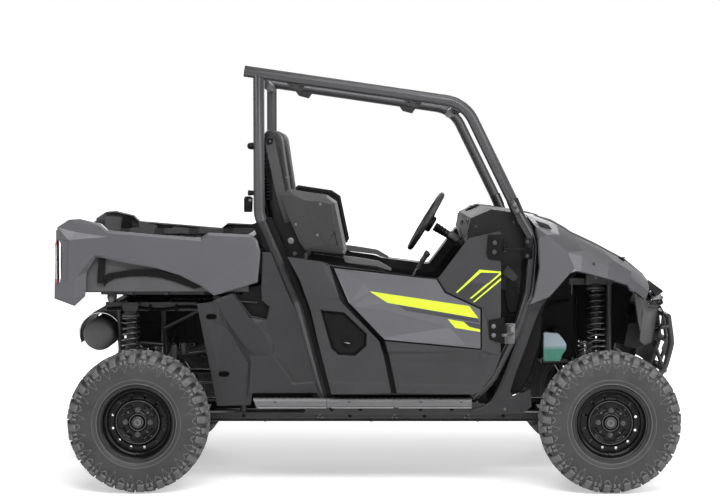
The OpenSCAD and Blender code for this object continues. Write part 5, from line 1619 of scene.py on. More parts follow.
def headlights():
    B = Build(M_LENS)
    for s in (1, -1):
        def P(x, y, z):
            return (x, s * y, z)
        ring = [((1.326, 0.440, 0.850), (1.322, 0.440, 0.872), (1.296, 0.440, 0.894), (1.270, 0.440, 0.894)),
                ((1.306, 0.480, 0.848), (1.303, 0.480, 0.866), (1.284, 0.480, 0.885), (1.266, 0.480, 0.886)),
                ((1.288, 0.520, 0.848), (1.285, 0.520, 0.862), (1.272, 0.520, 0.878), (1.260, 0.520, 0.880)),
                ((1.272, 0.552, 0.848), (1.268, 0.552, 0.858), (1.262, 0.552, 0.870), (1.256, 0.552, 0.874))]
        vs, fs = [], []
        for st in ring:
            vs += [P(*q) for q in st]
        for i in range(3):
            for j in range(3):
                fs.append((i * 4 + j, i * 4 + j + 1, (i + 1) * 4 + j + 1, (i + 1) * 4 + j))
        n = len(vs)
        vs2 = [(x - 0.003, y - s * 0.001, z - 0.001) for x, y, z in vs]
        fs2 = [tuple(i + n for i in f[::-1]) for f in fs]
        edge = [0, 1, 2, 3, 7, 11, 15, 14, 13, 12, 8, 4]
        rim = [(edge[i], edge[(i + 1) % 12], edge[(i + 1) % 12] + n, edge[i] + n) for i in range(12)]
        B.add(vs + vs2, fs + fs2 + rim, M_LENSD)
        # housing, two projector bowls and a light bar
        hv = [(x - 0.020, y - s * 0.002, z - 0.003) for x, y, z in vs]
        B.add(hv + [(x - 0.012, y, z) for x, y, z in hv], fs + fs2 + rim, M_BLACK)
        for y, x, z in ((0.466, 1.292, 0.864), (0.512, 1.270, 0.861)):
            M = Matrix.Translation(P(x, y, z)) @ Matrix.Rotation(math.radians(90 + s * 22), 4, "Z") @ Matrix.Rotation(math.pi, 4, "Z")
            v, f = g_lathe([(0.0165, 0.006), (0.0150, 0.005), (0.0125, -0.004), (0.0080, -0.009), (0.0, -0.010)], 28)
            B.add(v, f, M_REFL, M=M)
            v, f = g_lathe([(0.0095, 0.000), (0.0085, 0.004), (0.0050, 0.0068), (0.0, 0.0075)], 24)
            B.add(v, f, M_LENS, M=M)
        v, f = g_tube([P(1.312, 0.446, 0.8515), P(1.286, 0.500, 0.8500), P(1.264, 0.545, 0.8495)], 0.0028, 8)
        B.add(v, f, M_REFL)
    o = B.obj("headlights_visual", bevel=0.0008, seg=1, angle=30)
    finish(o, "chassis", "headlights")


def bumper():
    B = Build(M_BUMPER)
    z8 = 0.008
    side = [(1.12, 0.231, 0.300), (1.26, 0.262, 0.400), (1.366, 0.270, 0.492), (1.4015, 0.262, 0.618), (1.385, 0.255, 0.742)]
    for s in (1, -1):
        p = [Vector((x, s * y, z + z8)) for x, y, z in side]
        v, f = g_tube(bent(p, [0.14, 0.12, 0.16], 8), 0.0140, 24)
        B.add(v, f, M_BUMPER)
        v, f = g_tube([Vector((1.385, s * 0.255, 0.750)), Vector((1.384, s * 0.255, 0.7525)), Vector((1.3838, s * 0.255, 0.754))], [0.0141, 0.012, 0.007], 24)
        B.add(v, f, M_BUMPER)
        # stay to the fascia and gusset plates
        v, f = g_tube([(1.392, s * 0.262, 0.706), (1.300, s * 0.262, 0.690)], 0.0095, 20)
        B.add(v, f, M_BUMPER)
        v, f = g_tube([(1.3615, s * 0.270, 0.506), (1.315, s * 0.266, 0.640)], 0.0095, 20)
        B.add(v, f, M_BUMPER)
        for (x, z) in ((1.366, 0.500), (1.4005, 0.626)):
            weld(B, (x, s * 0.258, z), (0, s, 0), 0.013, M_BUMPER, n=18, t=0.0014)
        v, f = g_plate(rounded([(1.372, 0.56), (1.386, 0.60), (1.3965, 0.66), (1.378, 0.66), (1.352, 0.60)], 0.004, 2), 0.2585, 0.2625)
        B.add([(x, s * y, z) for x, y, z in v], f if s > 0 else [q[::-1] for q in f], M_BUMPER)
    for x, z, h in ((1.366, 0.492, 0.270), (1.4015, 0.618, 0.262), (1.385, 0.742, 0.255)):
        v, f = g_tube([(x, -h, z + z8), (x, h, z + z8)], 0.0133, 24)
        B.add(v, f, M_BUMPER)
    # centre uprights of the guard
    for y in (-0.10, 0.10):
        v, f = g_tube([(1.367, y, 0.505), (1.4008, y, 0.622), (1.386, y, 0.744)], 0.0088, 18)
        B.add(v, f, M_BUMPER)
    # tow hook plate
    v, f = g_plate(rounded([(1.330, 0.484), (1.362, 0.476), (1.385, 0.490), (1.385, 0.512), (1.362, 0.522), (1.335, 0.512)], 0.008, 3), -0.004, 0.004)
    B.add(v, f, M_BUMPER)
    o = B.obj("front_bumper_visual", bevel=0.0010, seg=1, angle=40)
    finish(o, "chassis", "front_bumper")


M_BUMPER = mat("bumper_satin", (0.022, 0.022, 0.023), rough=0.42, metal=0.2, vary=0.1, scale=8, grain=0.12, grain_scale=1500, spec=0.45)
fender()
hood()
fascia()
headlights()
bumper()

# ------------------------------------------------------------------ cargo bed, tailgate and lamps


def pieces(B, m, boxes, M=None):
    for a, b in boxes:
        v, f = g_box(a, b)
        B.add(v, f, m, smooth=True, M=M)


M_TUB = mat("bed_moulding", (0.042, 0.042, 0.044), rough=0.44, vary=0.12, scale=7, grain=0.25, grain_scale=700, spec=0.25)


def bed_tub():
    B = Build(M_TUB)
    L_ = 0.008
    # floor pan with long corrugations
    pieces(B, M_PLASTIC, [((-1.374, -0.616, 0.888), (-0.550, 0.616, 0.899))])
    for i in range(-9, 10):
        y = i * 0.0615
        v, f = g_plate([(-1.352, 0.898), (-1.345, 0.9055), (-0.595, 0.9055), (-0.588, 0.898)], y - 0.021, y + 0.021)
        B.add(v, f, M_PLASTIC)
    for s in (1, -1):
        # side wall, its vertical ribs on the load side and the rail cap with stake pockets
        a, b = sorted((s * 0.612, s * 0.618))
        v, f = g_plate([(-1.368, 0.892), (-1.368, 1.060), (-1.350, 1.126), (-0.552, 1.126), (-0.552, 0.892)], a, b)
        B.add(v, f, M_TUB)
        v, f = g_plate([(-1.360, 0.904), (-1.360, 1.060), (-1.344, 1.104), (-0.562, 1.104), (-0.562, 0.904)], *sorted((s * 0.6105, s * 0.6125)))
        B.add(v, f, M_TUB)
        for x in (-1.30, -1.215, -1.13, -1.045, -0.96, -0.875, -0.79, -0.705, -0.62):
            vv = [(x - 0.016, s * 0.6125, 0.900), (x + 0.016, s * 0.6125, 0.900), (x + 0.010, s * 0.594, 0.906), (x - 0.010, s * 0.594, 0.906),
                  (x - 0.016, s * 0.6125, 1.104), (x + 0.016, s * 0.6125, 1.104), (x + 0.010, s * 0.598, 1.092), (x - 0.010, s * 0.598, 1.092)]
            B.add(vv, [(3, 2, 1, 0), (4, 5, 6, 7), (0, 1, 5, 4), (1, 2, 6, 5), (2, 3, 7, 6), (3, 0, 4, 7)], M_TUB)
        seg = [(-1.368, -1.275), (-1.225, -1.100), (-1.050, -0.925), (-0.875, -0.750), (-0.700, -0.552)]
        for x0, x1 in seg:
            v, f = g_plate(rounded([(x0, 1.104), (x1, 1.104), (x1, 1.132), (x0, 1.132)], 0.005, 3), *sorted((s * 0.590, s * 0.6195)))
            B.add(v, f, M_TUB)
        for x0, x1 in zip([k[1] for k in seg[:-1]], [k[0] for k in seg[1:]]):
            pieces(B, M_BLACK, [((x0, min(s * 0.594, s * 0.6185), 1.100), (x1, max(s * 0.594, s * 0.6185), 1.118))])
            pieces(B, M_PLASTIC, [((x0 - 0.002, min(s * 0.591, s * 0.595), 1.100), (x1 + 0.002, max(s * 0.591, s * 0.595), 1.130))])
        # tie-down loops
        for x in (-1.262, -0.66):
            p = smooth_path([(x - 0.022, s * 0.592, 1.078), (x - 0.020, s * 0.580, 1.070), (x, s * 0.577, 1.066), (x + 0.020, s * 0.580, 1.070), (x + 0.022, s * 0.592, 1.078)], 5)
            v, f = g_tube(p, 0.0034, 10)
            B.add(v, f, M_ZINC)
        # hinge post at the tail
        v, f = g_plate(rounded([(-1.410, 0.897), (-1.364, 0.897), (-1.364, 0.919), (-1.410, 0.919)], 0.009, 4), *sorted((s * 0.594, s * 0.618)))
        B.add(v, f, M_PLASTIC)
        # long rails under the floor with hinge lugs and pins
        v, f = g_plate(rounded([(-1.250, 0.858), (-0.570, 0.858), (-0.570, 0.887), (-1.250, 0.887)], 0.003, 2), *sorted((s * 0.315, s * 0.345)))
        B.add(v, f, M_FRAME)
        for y in (0.298, 0.354):
            v, f = g_plate(rounded([(-1.218, 0.886), (-1.219, 0.842), (-1.212, 0.824), (-1.200, 0.820), (-1.188, 0.824), (-1.181, 0.842), (-1.182, 0.886)], 0.004, 2), *sorted((s * y, s * (y + 0.008))))
            B.add(v, f, M_FRAME)
        v, f = g_cyl((-1.200, s * 0.298, 0.838), (-1.200, s * 0.3625, 0.838), 0.0098, 24, ch=0.002)
        B.add(v, f, M_ZINC)
        bolt(B, (-1.200, s * 0.362, 0.838), (0, s, 0), 0.009, 0.006, M_ZINC)
        # latch loop near the front
        p = smooth_path([(-0.640, s * 0.330, 0.858), (-0.642, s * 0.330, 0.842), (-0.628, s * 0.330, 0.838), (-0.612, s * 0.330, 0.842), (-0.610, s * 0.330, 0.858)], 5)
        v, f = g_tube(p, 0.004, 10)
        B.add(v, f, M_ZINC)
    # front wall with ribs and its cap
    pieces(B, M_PLASTIC, [((-0.562, -0.612, 0.892), (-0.556, 0.612, 1.120))])
    for i in range(-7, 8):
        y = i * 0.080
        vv = [(-0.562, y - 0.016, 0.900), (-0.562, y + 0.016, 0.900), (-0.580, y + 0.010, 0.906), (-0.580, y - 0.010, 0.906),
              (-0.562, y - 0.016, 1.100), (-0.562, y + 0.016, 1.100), (-0.577, y + 0.010, 1.088), (-0.577, y - 0.010, 1.088)]
        B.add(vv, [(0, 1, 2, 3), (7, 6, 5, 4), (0, 4, 5, 1), (1, 5, 6, 2), (2, 6, 7, 3), (3, 7, 4, 0)], M_PLASTIC)
    v, f = g_box((-0.584, -0.612, 1.102), (-0.548, 0.612, 1.126))
    B.add(v, f, M_PLASTIC)
    # ribs on the front face of the wall and stiffeners below the floor
    for i in range(-6, 7):
        y = i * 0.092
        pieces(B, M_PLASTIC, [((-0.556, y - 0.005, 0.895), (-0.549, y + 0.005, 1.104))])
    for x in (-1.34, -1.08, -0.92, -0.76, -0.585):
        for y0, y1 in ((-0.612, -0.350), (-0.310, 0.310), (0.350, 0.612)):
            pieces(B, M_PLASTIC, [((x - 0.008, y0, 0.876), (x + 0.008, y1, 0.8885))])
    for y in (-0.48, -0.16, 0.16, 0.48):
        pieces(B, M_PLASTIC, [((-1.36, y - 0.006, 0.878), (-0.57, y + 0.006, 0.8885))])
    # floor bolts
    for x in (-1.25, -0.95, -0.65):
        for y in (-0.34, 0.34):
            bolt(B, (x, y, 0.9055), (0, 0, 1), 0.008, 0.004, M_BOLT)
    o = B.obj("cargo_bed_visual", bevel=0.0022, seg=2, angle=30)
    finish(o, "bed", "cargo_bed")
    # posts and pockets that stand behind the side panels
    C = Build(M_BLACK)
    for s in (1, -1):
        def top(x):
            pts = [(-1.363, 1.198), (-1.199, 1.186), (-1.175, 1.160), (-0.759, 1.122), (-0.727, 1.140), (-0.534, 1.130)]
            for (a, za), (b, zb) in zip(pts[:-1], pts[1:]):
                if a <= x <= b:
                    return za + (zb - za) * (x - a) / (b - a) + 0.004
            return 1.13
        for x0, x1 in ((-1.267, -1.216), (-1.084, -1.015), (-0.905, -0.868), (-0.744, -0.690)):
            z0, z1 = top(x0), top(x1)
            v, f = g_plate([(x0, 1.126), (x0 + 0.004, z0 - 0.004), (x1 - 0.004, z1 - 0.004), (x1, 1.126)], *sorted((s * 0.596, s * 0.618)))
            C.add(v, f, M_BLACK)
        for x0, x1 in ((-1.359, -1.267), (-1.187, -1.084), (-1.015, -0.905), (-0.868, -0.748)):
            z0, z1 = top(x0), top(x1)
            v, f = g_plate([(x0 + 0.004, 1.128), (x0 + 0.006, z0 - 0.010), (x1 - 0.006, z1 - 0.010), (x1 - 0.004, 1.128)], *sorted((s * 0.606, s * 0.616)))
            C.add(v, f, M_TUB)
    o = C.obj("bed_posts", bevel=0.002, seg=2, angle=30)
    finish(o, "bed", None)


def tailgate():
    B = Build(M_PAINT)
    # outline in (y, z), relief towards the rear
    def rel(outline, lines, thick, m, regions=(), holes=()):
        T = Build(m)
        add_relief(T, outline, lines, 0.0, thick, m, regions=regions, holes=holes)
        for mm in T.mats:
            B.mi(mm)
        k = len(B.v)
        B.v.extend([(-1.3985 - y, x, z) for x, y, z in T.v])
        for f, mi_, s in zip(T.f, T.m, T.s):
            B.f.append([q + k for q in f])
            B.m.append(B.mats.index(T.mats[mi_]))
            B.s.append(s)
    out = [(-0.580, 0.916), (-0.584, 1.020), (-0.574, 1.120), (-0.540, 1.136), (0.540, 1.136), (0.574, 1.120), (0.584, 1.020), (0.580, 0.916)]
    lines = [
        ["loop", (-0.545, 0.938, 0.000), (-0.548, 1.050, 0.000), (-0.532, 1.102, 0.000), (0.532, 1.102, 0.000), (0.548, 1.050, 0.000), (0.545, 0.938, 0.000)],
        ["loop", (-0.520, 0.952, -0.009), (-0.523, 1.046, -0.009), (-0.510, 1.086, -0.009), (0.510, 1.086, -0.009), (0.523, 1.046, -0.009), (0.520, 0.952, -0.009)],
        ["loop", (-0.420, 0.968, -0.009), (-0.400, 1.030, -0.009), (-0.260, 1.030, -0.009), (-0.240, 0.968, -0.009)],
        ["loop", (-0.405, 0.974, -0.001), (-0.390, 1.022, -0.001), (-0.268, 1.022, -0.001), (-0.254, 0.974, -0.001)],
        ["loop", (0.240, 0.968, -0.009), (0.260, 1.030, -0.009), (0.400, 1.030, -0.009), (0.420, 0.968, -0.009)],
        ["loop", (0.254, 0.974, -0.001), (0.268, 1.022, -0.001), (0.390, 1.022, -0.001), (0.405, 0.974, -0.001)],
        ["loop", (-0.130, 1.020, -0.009), (-0.110, 1.082, -0.009), (0.110, 1.082, -0.009), (0.130, 1.020, -0.009)],
        ["loop", (-0.116, 1.026, -0.016), (-0.100, 1.076, -0.016), (0.100, 1.076, -0.016), (0.116, 1.026, -0.016)],
    ]
    pocket = [(-0.118, 1.025), (-0.101, 1.077), (0.101, 1.077), (0.118, 1.025)]
    rel(out, lines, 0.004, M_PAINT, regions=[(pocket, M_BLACK)])
    # inner skin, ribs, top roll
    pieces(B, M_PLASTIC, [((-1.380, -0.580, 0.914), (-1.376, 0.580, 1.128))])
    for i in range(-6, 7):
        y = i * 0.088
        pieces(B, M_PLASTIC, [((-1.378, y - 0.007, 0.925), (-1.373, y + 0.007, 1.105))])
    pieces(B, M_PAINT, [((-1.398, -0.570, 1.122), (-1.376, 0.570, 1.136))])
    pieces(B, M_PAINT, [((-1.394, -0.582, 0.912), (-1.376, 0.582, 0.920))])
    # paddle handle
    v, f = g_tube(smooth_path([(-1.392, -0.070, 1.062), (-1.400, -0.060, 1.058), (-1.402, 0.0, 1.056), (-1.400, 0.060, 1.058), (-1.392, 0.070, 1.062)], 6), 0.0060, 14)
    B.add(v, f, M_BLACK)
    for s in (1, -1):
        # latch pins at the top corners, hinge pin and its ear
        v, f = g_cyl((-1.390, s * 0.578, 1.098), (-1.390, s * 0.592, 1.098), 0.0058, 20, ch=0.0015)
        B.add(v, f, M_ZINC)
        v, f = g_plate(rounded([(-1.404, 0.904), (-1.390, 0.904), (-1.390, 0.922), (-1.404, 0.922)], 0.004, 3), *sorted((s * 0.560, s * 0.584)))
        B.add(v, f, M_FRAME)
        v, f = g_cyl((-1.398, s * 0.576, 0.908), (-1.398, s * 0.606, 0.908), 0.0059, 24, ch=0.001)
        B.add(v, f, M_ZINC)
        # rubber stops
        v, f = g_cyl((-1.379, s * 0.50, 1.118), (-1.371, s * 0.50, 1.118), 0.009, 20, ch=0.002)
        B.add(v, f, M_BLACK)
        # reflector strips
        v, f = g_plate(rounded([(s * 0.470, 0.962), (s * 0.512, 0.962), (s * 0.512, 0.978), (s * 0.470, 0.978)], 0.003, 2), 0.0, 0.003)
        B.add([(-1.3905 - y, x, z) for x, y, z in v], f, M_RED)
    o = B.obj("tailgate_visual", bevel=0.0020, seg=2, angle=14, crisp=2.0)
    finish(o, "tailgate", "tailgate")


def taillights():
    B = Build(M_LENS)
    for s in (1, -1):
        prof = [(-1.4025, 0.626), (-1.4135, 0.630), (-1.4150, 0.641), (-1.4125, 0.652), (-1.4025, 0.657)]
        zs = [0.930, 0.936, 0.950, 1.100, 1.114, 1.121]
        sc = [0.35, 0.8, 1.0, 1.0, 0.8, 0.35]
        vs, fs = [], []
        for z, k in zip(zs, sc):
            for x, y in prof:
                vs.append((-1.4025 + (x + 1.4025) * k, s * (0.6415 + (y - 0.6415) * (0.7 + 0.3 * k)), z))
        n = len(prof)
        for i in range(len(zs) - 1):
            for j in range(n):
                fs.append((i * n + j, i * n + (j + 1) % n, (i + 1) * n + (j + 1) % n, (i + 1) * n + j))
        fs.append(tuple(range(n)))
        fs.append(tuple(range((len(zs) - 1) * n, len(zs) * n))[::-1])
        k = len(B.f)
        B.add(vs, fs, M_LENS)
        # red zones above and below the clear strip
        for i in range(k, len(B.f)):
            zc = sum(B.v[q][2] for q in B.f[i]) / len(B.f[i])
            if zc < 0.945 or zc > 1.105:
                B.m[i] = B.mi(M_RED)
        # base and inner steps
        pieces(B, M_BLACK, [((-1.4028, min(s * 0.624, s * 0.658), 0.930), (-1.4005, max(s * 0.624, s * 0.658), 1.1235))])
        for i in range(7):
            z = 0.958 + i * 0.0215
            v, f = g_tube([(-1.4085, s * 0.631, z), (-1.4102, s * 0.6415, z), (-1.4085, s * 0.652, z)], 0.0022, 8)
            B.add(v, f, M_RED if i % 2 else M_REFL)
        for z in (0.935, 1.117):
            screw(B, (-1.4055, s * 0.6415, z), (-1, 0, 0), 0.0035)
    o = B.obj("taillights_visual", bevel=0.0006, seg=1, angle=30)
    finish(o, "bed", "taillights")


bed_tub()
tailgate()
taillights()

# ------------------------------------------------------------------ running gear and frames


def coil(B, a, b, R, wire, turns, m, n=20, dead=0.8, nr=12):
    """Spring round the line a-b: closed end coils, open in between."""
    a, b = Vector(a), Vector(b)
    d = (b - a)
    Ln = d.length
    u = d.normalized()
    s1 = u.orthogonal().normalized()
    s2 = u.cross(s1)
    N_ = int(turns * n)
    pts = []
    for i in range(N_ + 1):
        t = i / N_
        tt = t * turns
        if tt < dead:
            z = wire * 1.05 * (tt / dead) * dead
        elif tt > turns - dead:
            z = Ln - wire * 1.05 * (turns - tt)
        else:
            k = (tt - dead) / (turns - 2 * dead)
            z = wire * 1.05 * dead + (Ln - 2 * wire * 1.05 * dead) * k
        w = 2 * math.pi * tt
        pts.append(a + u * z + (s1 * math.cos(w) + s2 * math.sin(w)) * R)
    v, f = g_tube(pts, wire / 2, nr)
    B.add(v, f, m)


def ring(B, a, b, r, m, n=28, ch=0.002):
    v, f = g_cyl(a, b, r, n, ch=ch)
    B.add(v, f, m)


def along(a, b, t):
    return Vector(a) + (Vector(b) - Vector(a)) * t


def shocks():
    B = Build(M_SPRING)
    for s in (1, -1):
        for a, b, R, t0, t1, turns in (((1.034, 0.418 * s, 0.442), (1.034, 0.344 * s, 0.938), 0.0385, 0.14, 0.885, 15.0),
                                       ((-1.107, 0.384 * s, 0.284), (-1.107, 0.374 * s, 0.808), 0.0395, 0.32, 0.905, 13.0)):
            u = (Vector(b) - Vector(a)).normalized()
            # lower eye and fork
            e = Vector(a)
            v, f = g_cyl(e - Vector((0, 0.018, 0)), e + Vector((0, 0.018, 0)), 0.0145, 24, ch=0.002)
            B.add(v, f, M_CAST)
            ring(B, e + u * 0.008, along(a, b, t0) - u * 0.004, 0.0125, M_CAST)
            ring(B, along(a, b, t0) - u * 0.008, along(a, b, t0), 0.040, M_CAST, 36)
            ring(B, along(a, b, t0) - u * 0.022, along(a, b, t0) - u * 0.008, 0.026, M_CAST, 32)
            coil(B, along(a, b, t0), along(a, b, t1), R, 0.0115, turns, M_SPRING, 16, nr=8)
            # damper body, bump rubber and rod
            ring(B, along(a, b, t1), along(a, b, 0.52), 0.0225, M_CAST, 32, 0.003)
            ring(B, along(a, b, 0.54), along(a, b, t0), 0.0075, M_ROD, 20)
            ring(B, along(a, b, 0.33), along(a, b, 0.40), 0.0165, M_BLACK, 24, 0.004)
            # preload collar with notches
            ring(B, along(a, b, t1), along(a, b, t1) + u * 0.012, 0.041, M_GREYBAR, 36)
            ring(B, along(a, b, t1) + u * 0.012, along(a, b, t1) + u * 0.024, 0.034, M_CAST, 12, 0.001)
            ring(B, along(a, b, t1) + u * 0.024, Vector(b) - u * 0.012, 0.0150, M_CAST)
            v, f = g_cyl(Vector(b) - Vector((0, 0.017, 0)), Vector(b) + Vector((0, 0.017, 0)), 0.0145, 24, ch=0.002)
            B.add(v, f, M_CAST)
            for e_ in (a, b):
                bolt(B, Vector(e_) + Vector((0, s * 0.018, 0)), (0, s, 0), 0.0085, 0.007, M_ZINC)
    o = B.obj("shock_absorbers_visual", bevel=None)
    finish(o, "chassis", "shock_absorbers")


def bellows(B, a, b, r0, r1, n, m, amp=0.0035):
    a, b = Vector(a), Vector(b)
    d = (b - a)
    u = d.normalized()
    k = n * 4
    p, r = [], []
    for i in range(k + 1):
        t = i / k
        p.append(a + d * t)
        r.append(r0 + (r1 - r0) * t + amp * (math.cos(2 * math.pi * n * t)) - amp)
    v, f = g_tube(p, r, 28)
    B.add(v, f, m)


def driveline():
    B = Build(M_CAST)
    az = 0.3235
    for x in (-1.040, 1.060):
        az = 0.3235
        v, f = g_plate(rounded([(x - 0.070, 0.312), (x - 0.056, 0.299), (x + 0.040, 0.299), (x + 0.060, 0.318), (x + 0.060, 0.372), (x + 0.030, 0.402), (x - 0.040, 0.402), (x - 0.070, 0.380)], 0.010, 3), -0.085, 0.085)
        B.add(v, f, M_CAST)
        for k in (-0.06, -0.03, 0.0, 0.03, 0.06):
            v, f = g_plate([(x - 0.066, 0.318), (x - 0.050, 0.3015), (x + 0.040, 0.3015), (x + 0.058, 0.322), (x + 0.058, 0.370), (x + 0.028, 0.4005), (x - 0.040, 0.4005), (x - 0.066, 0.378)], k - 0.003, k + 0.003)
            B.add([(p[0] + (p[0] - x) * 0.012, p[1], p[2]) for p in v], f, M_CAST)
        for s in (1, -1):
            # cover flange with bolts
            v, f = g_cyl((x, s * 0.080, 0.3235), (x, s * 0.094, 0.3235), 0.0350, 32, ch=0.002)
            B.add(v, f, M_CAST)
            for k in range(6):
                w = math.radians(60 * k + 15)
                bolt(B, (x + 0.044 * math.cos(w) * 0.6, s * 0.094, 0.3235 + 0.044 * math.sin(w) * 0.6), (0, s, 0), 0.004, 0.003, M_BOLT, washer=False)
            ring(B, (x, s * 0.092, 0.3235), (x, s * 0.108, 0.3235), 0.0345, M_CAST)
            bellows(B, (x, s * 0.106, 0.3235), (x, s * 0.172, 0.3235), 0.0335, 0.0190, 4, M_BLACK)
            ring(B, (x, s * 0.104, 0.3235), (x, s * 0.1075, 0.3235), 0.0350, M_ZINC)
            ring(B, (x, s * 0.170, 0.3235), (x, s * 0.1735, 0.3235), 0.0185, M_ZINC)
            ring(B, (x, s * 0.168, 0.3235), (x, s * 0.470, 0.3235), 0.0125, M_CAST)
            bellows(B, (x, s * 0.466, 0.3235), (x, s * 0.522, 0.3235), 0.0190, 0.0345, 4, M_BLACK)
            ring(B, (x, s * 0.4655, 0.3235), (x, s * 0.469, 0.3235), 0.0185, M_ZINC)
            ring(B, (x, s * 0.519, 0.3235), (x, s * 0.523, 0.3235), 0.0355, M_ZINC)
            ring(B, (x, s * 0.521, 0.3235), (x, s * 0.535, 0.3235), 0.0345, M_CAST)
    ring(B, (-0.985, 0, 0.323), (1.000, 0, 0.323), 0.0165, M_FRAME)
    for x in (-0.975, 0.02, 0.985):
        ring(B, (x - 0.020, 0, 0.323), (x + 0.020, 0, 0.323), 0.0195, M_CAST, 24, 0.003)
        v, f = g_cyl((x, -0.019, 0.323), (x, 0.019, 0.323), 0.007, 16)
        B.add(v, f, M_ZINC)
    # drain and fill plugs
    for x in (-1.040, 1.060):
        bolt(B, (x + 0.020, 0.0, 0.402), (0, 0, 1), 0.009, 0.004, M_BOLT, washer=False)
        bolt(B, (x, 0.0, 0.2990), (0, 0, -1), 0.009, 0.003, M_ZINC, washer=False)
    o = B.obj("driveline_visual", bevel=0.0012, seg=1, angle=40)
    finish(o, "chassis", "driveline")


def arms():
    B = Build(M_FRAME)
    L_ = 0.008
    xf, xr, ky = 1.060, -1.040, 0.585
    for s in (1, -1):
        for zo, zi, xa, xb, yi in ((0.215, 0.268, 0.940, 1.172, 0.228), (0.407, 0.432, 0.945, 1.148, 0.242)):
            z0, z1 = zo + L_, zi + L_
            # ball-joint housing
            v, f = g_lathe([(0.0095, -0.012), (0.0190, -0.012), (0.0200, -0.008), (0.0200, 0.007), (0.0170, 0.012), (0.0095, 0.012)], 32, close=True)
            B.add(v, f, M_CAST, M=Matrix.Translation((xf, s * ky, z0)) @ Matrix.Rotation(math.radians(90), 4, "X"))
            for xe in (xa, xb):
                p = [(xf + (xe - xf) * 0.07, s * (ky - 0.018), z0), (xf + (xe - xf) * 0.55, s * (ky - 0.018 - (ky - 0.018 - yi) * 0.5), z0 + (z1 - z0) * 0.5), (xe, s * yi, z1)]
                v, f = g_tube(p, 0.0108, 20)
                B.add(v, f, M_FRAME)
                # inner bush sleeve on its axis
                d = 0.020
                ring(B, (xe - d, s * yi, z1), (xe + d, s * yi, z1), 0.0135, M_FRAME, 24)
                ring(B, (xe - d - 0.004, s * yi, z1), (xe + d + 0.004, s * yi, z1), 0.0100, M_BLACK, 20)
                bolt(B, (xe + d + 0.003, s * yi, z1), (1, 0, 0), 0.0068, 0.006, M_ZINC, washer=False)
            if zo > 0.3:
                v, f = g_tube([(xf - 0.054, s * 0.42, 0.427), (xf + 0.042, s * 0.42, 0.427)], 0.009, 18)
                B.add(v, f, M_FRAME)
                for xx in (xf - 0.046, xf - 0.006):
                    pieces(B, M_FRAME, [((xx - 0.002, min(s * 0.406, s * 0.432), 0.424), (xx + 0.002, max(s * 0.406, s * 0.432), 0.440))])
            else:
                # gusset web between the legs near the joint
                vv = [(xf - 0.030, s * 0.500, z0 + 0.012), (xf + 0.030, s * 0.500, z0 + 0.012), (xf + 0.010, s * 0.560, z0 + 0.004), (xf - 0.010, s * 0.560, z0 + 0.004)]
                v2 = [(x, y, z - 0.004) for x, y, z in vv]
                B.add(vv + v2, [(0, 1, 2, 3), (7, 6, 5, 4), (0, 4, 5, 1), (1, 5, 6, 2), (2, 6, 7, 3), (3, 7, 4, 0)], M_FRAME)
        # rear arms
        for a, b, r in (((xr + 0.003, 0.538, 0.243), (xr + 0.120, 0.228, 0.276), 0.0138), ((xr - 0.003, 0.538, 0.244), (xr - 0.120, 0.228, 0.277), 0.0134),
                        ((xr, 0.538, 0.393), (xr + 0.080, 0.262, 0.448), 0.0128), ((xr - 0.002, 0.538, 0.393), (xr - 0.014, 0.262, 0.449), 0.0124)):
            a = Vector((a[0], s * a[1], a[2]))
            b = Vector((b[0], s * b[1], b[2]))
            v, f = g_tube([a, b], r, 22)
            B.add(v, f, M_FRAME)
            ring(B, b - Vector((0.020, 0, 0)), b + Vector((0.020, 0, 0)), r + 0.0020, M_FRAME, 24)
            bolt(B, b + Vector((0.020, 0, 0)), (1, 0, 0), 0.0068, 0.005, M_ZINC, washer=False)
        for z in (0.243, 0.393):
            ring(B, (xr - 0.032, s * 0.538, z), (xr + 0.032, s * 0.538, z), 0.0150, M_FRAME, 26)
            bolt(B, (xr + 0.031, s * 0.538, z), (1, 0, 0), 0.0075, 0.006, M_ZINC, washer=False)
    o = B.obj("control_arms_visual", bevel=0.0010, seg=1, angle=40)
    finish(o, "chassis", "control_arms")


def knuckle_parts(B, x, y, s, z0, z1):
    """Cast upright between z0 and z1 with a waist and a boss round the axle."""
    prof = [(x - 0.018, z0), (x + 0.018, z0), (x + 0.024, z0 + 0.030), (x + 0.029, 0.300), (x + 0.029, 0.348), (x + 0.024, z1 - 0.030), (x + 0.018, z1), (x - 0.018, z1), (x - 0.024, z1 - 0.030), (x - 0.029, 0.348), (x - 0.029, 0.300), (x - 0.024, z0 + 0.030)]
    v, f = g_plate(rounded(prof, 0.006, 2), *sorted((s * (y - 0.019), s * (y + 0.012))))
    B.add(v, f, M_CAST)
    ring(B, (x, s * (y + 0.008), 0.3235), (x, s * (y + 0.0205), 0.3235), 0.0285, M_CAST, 36, 0.003)


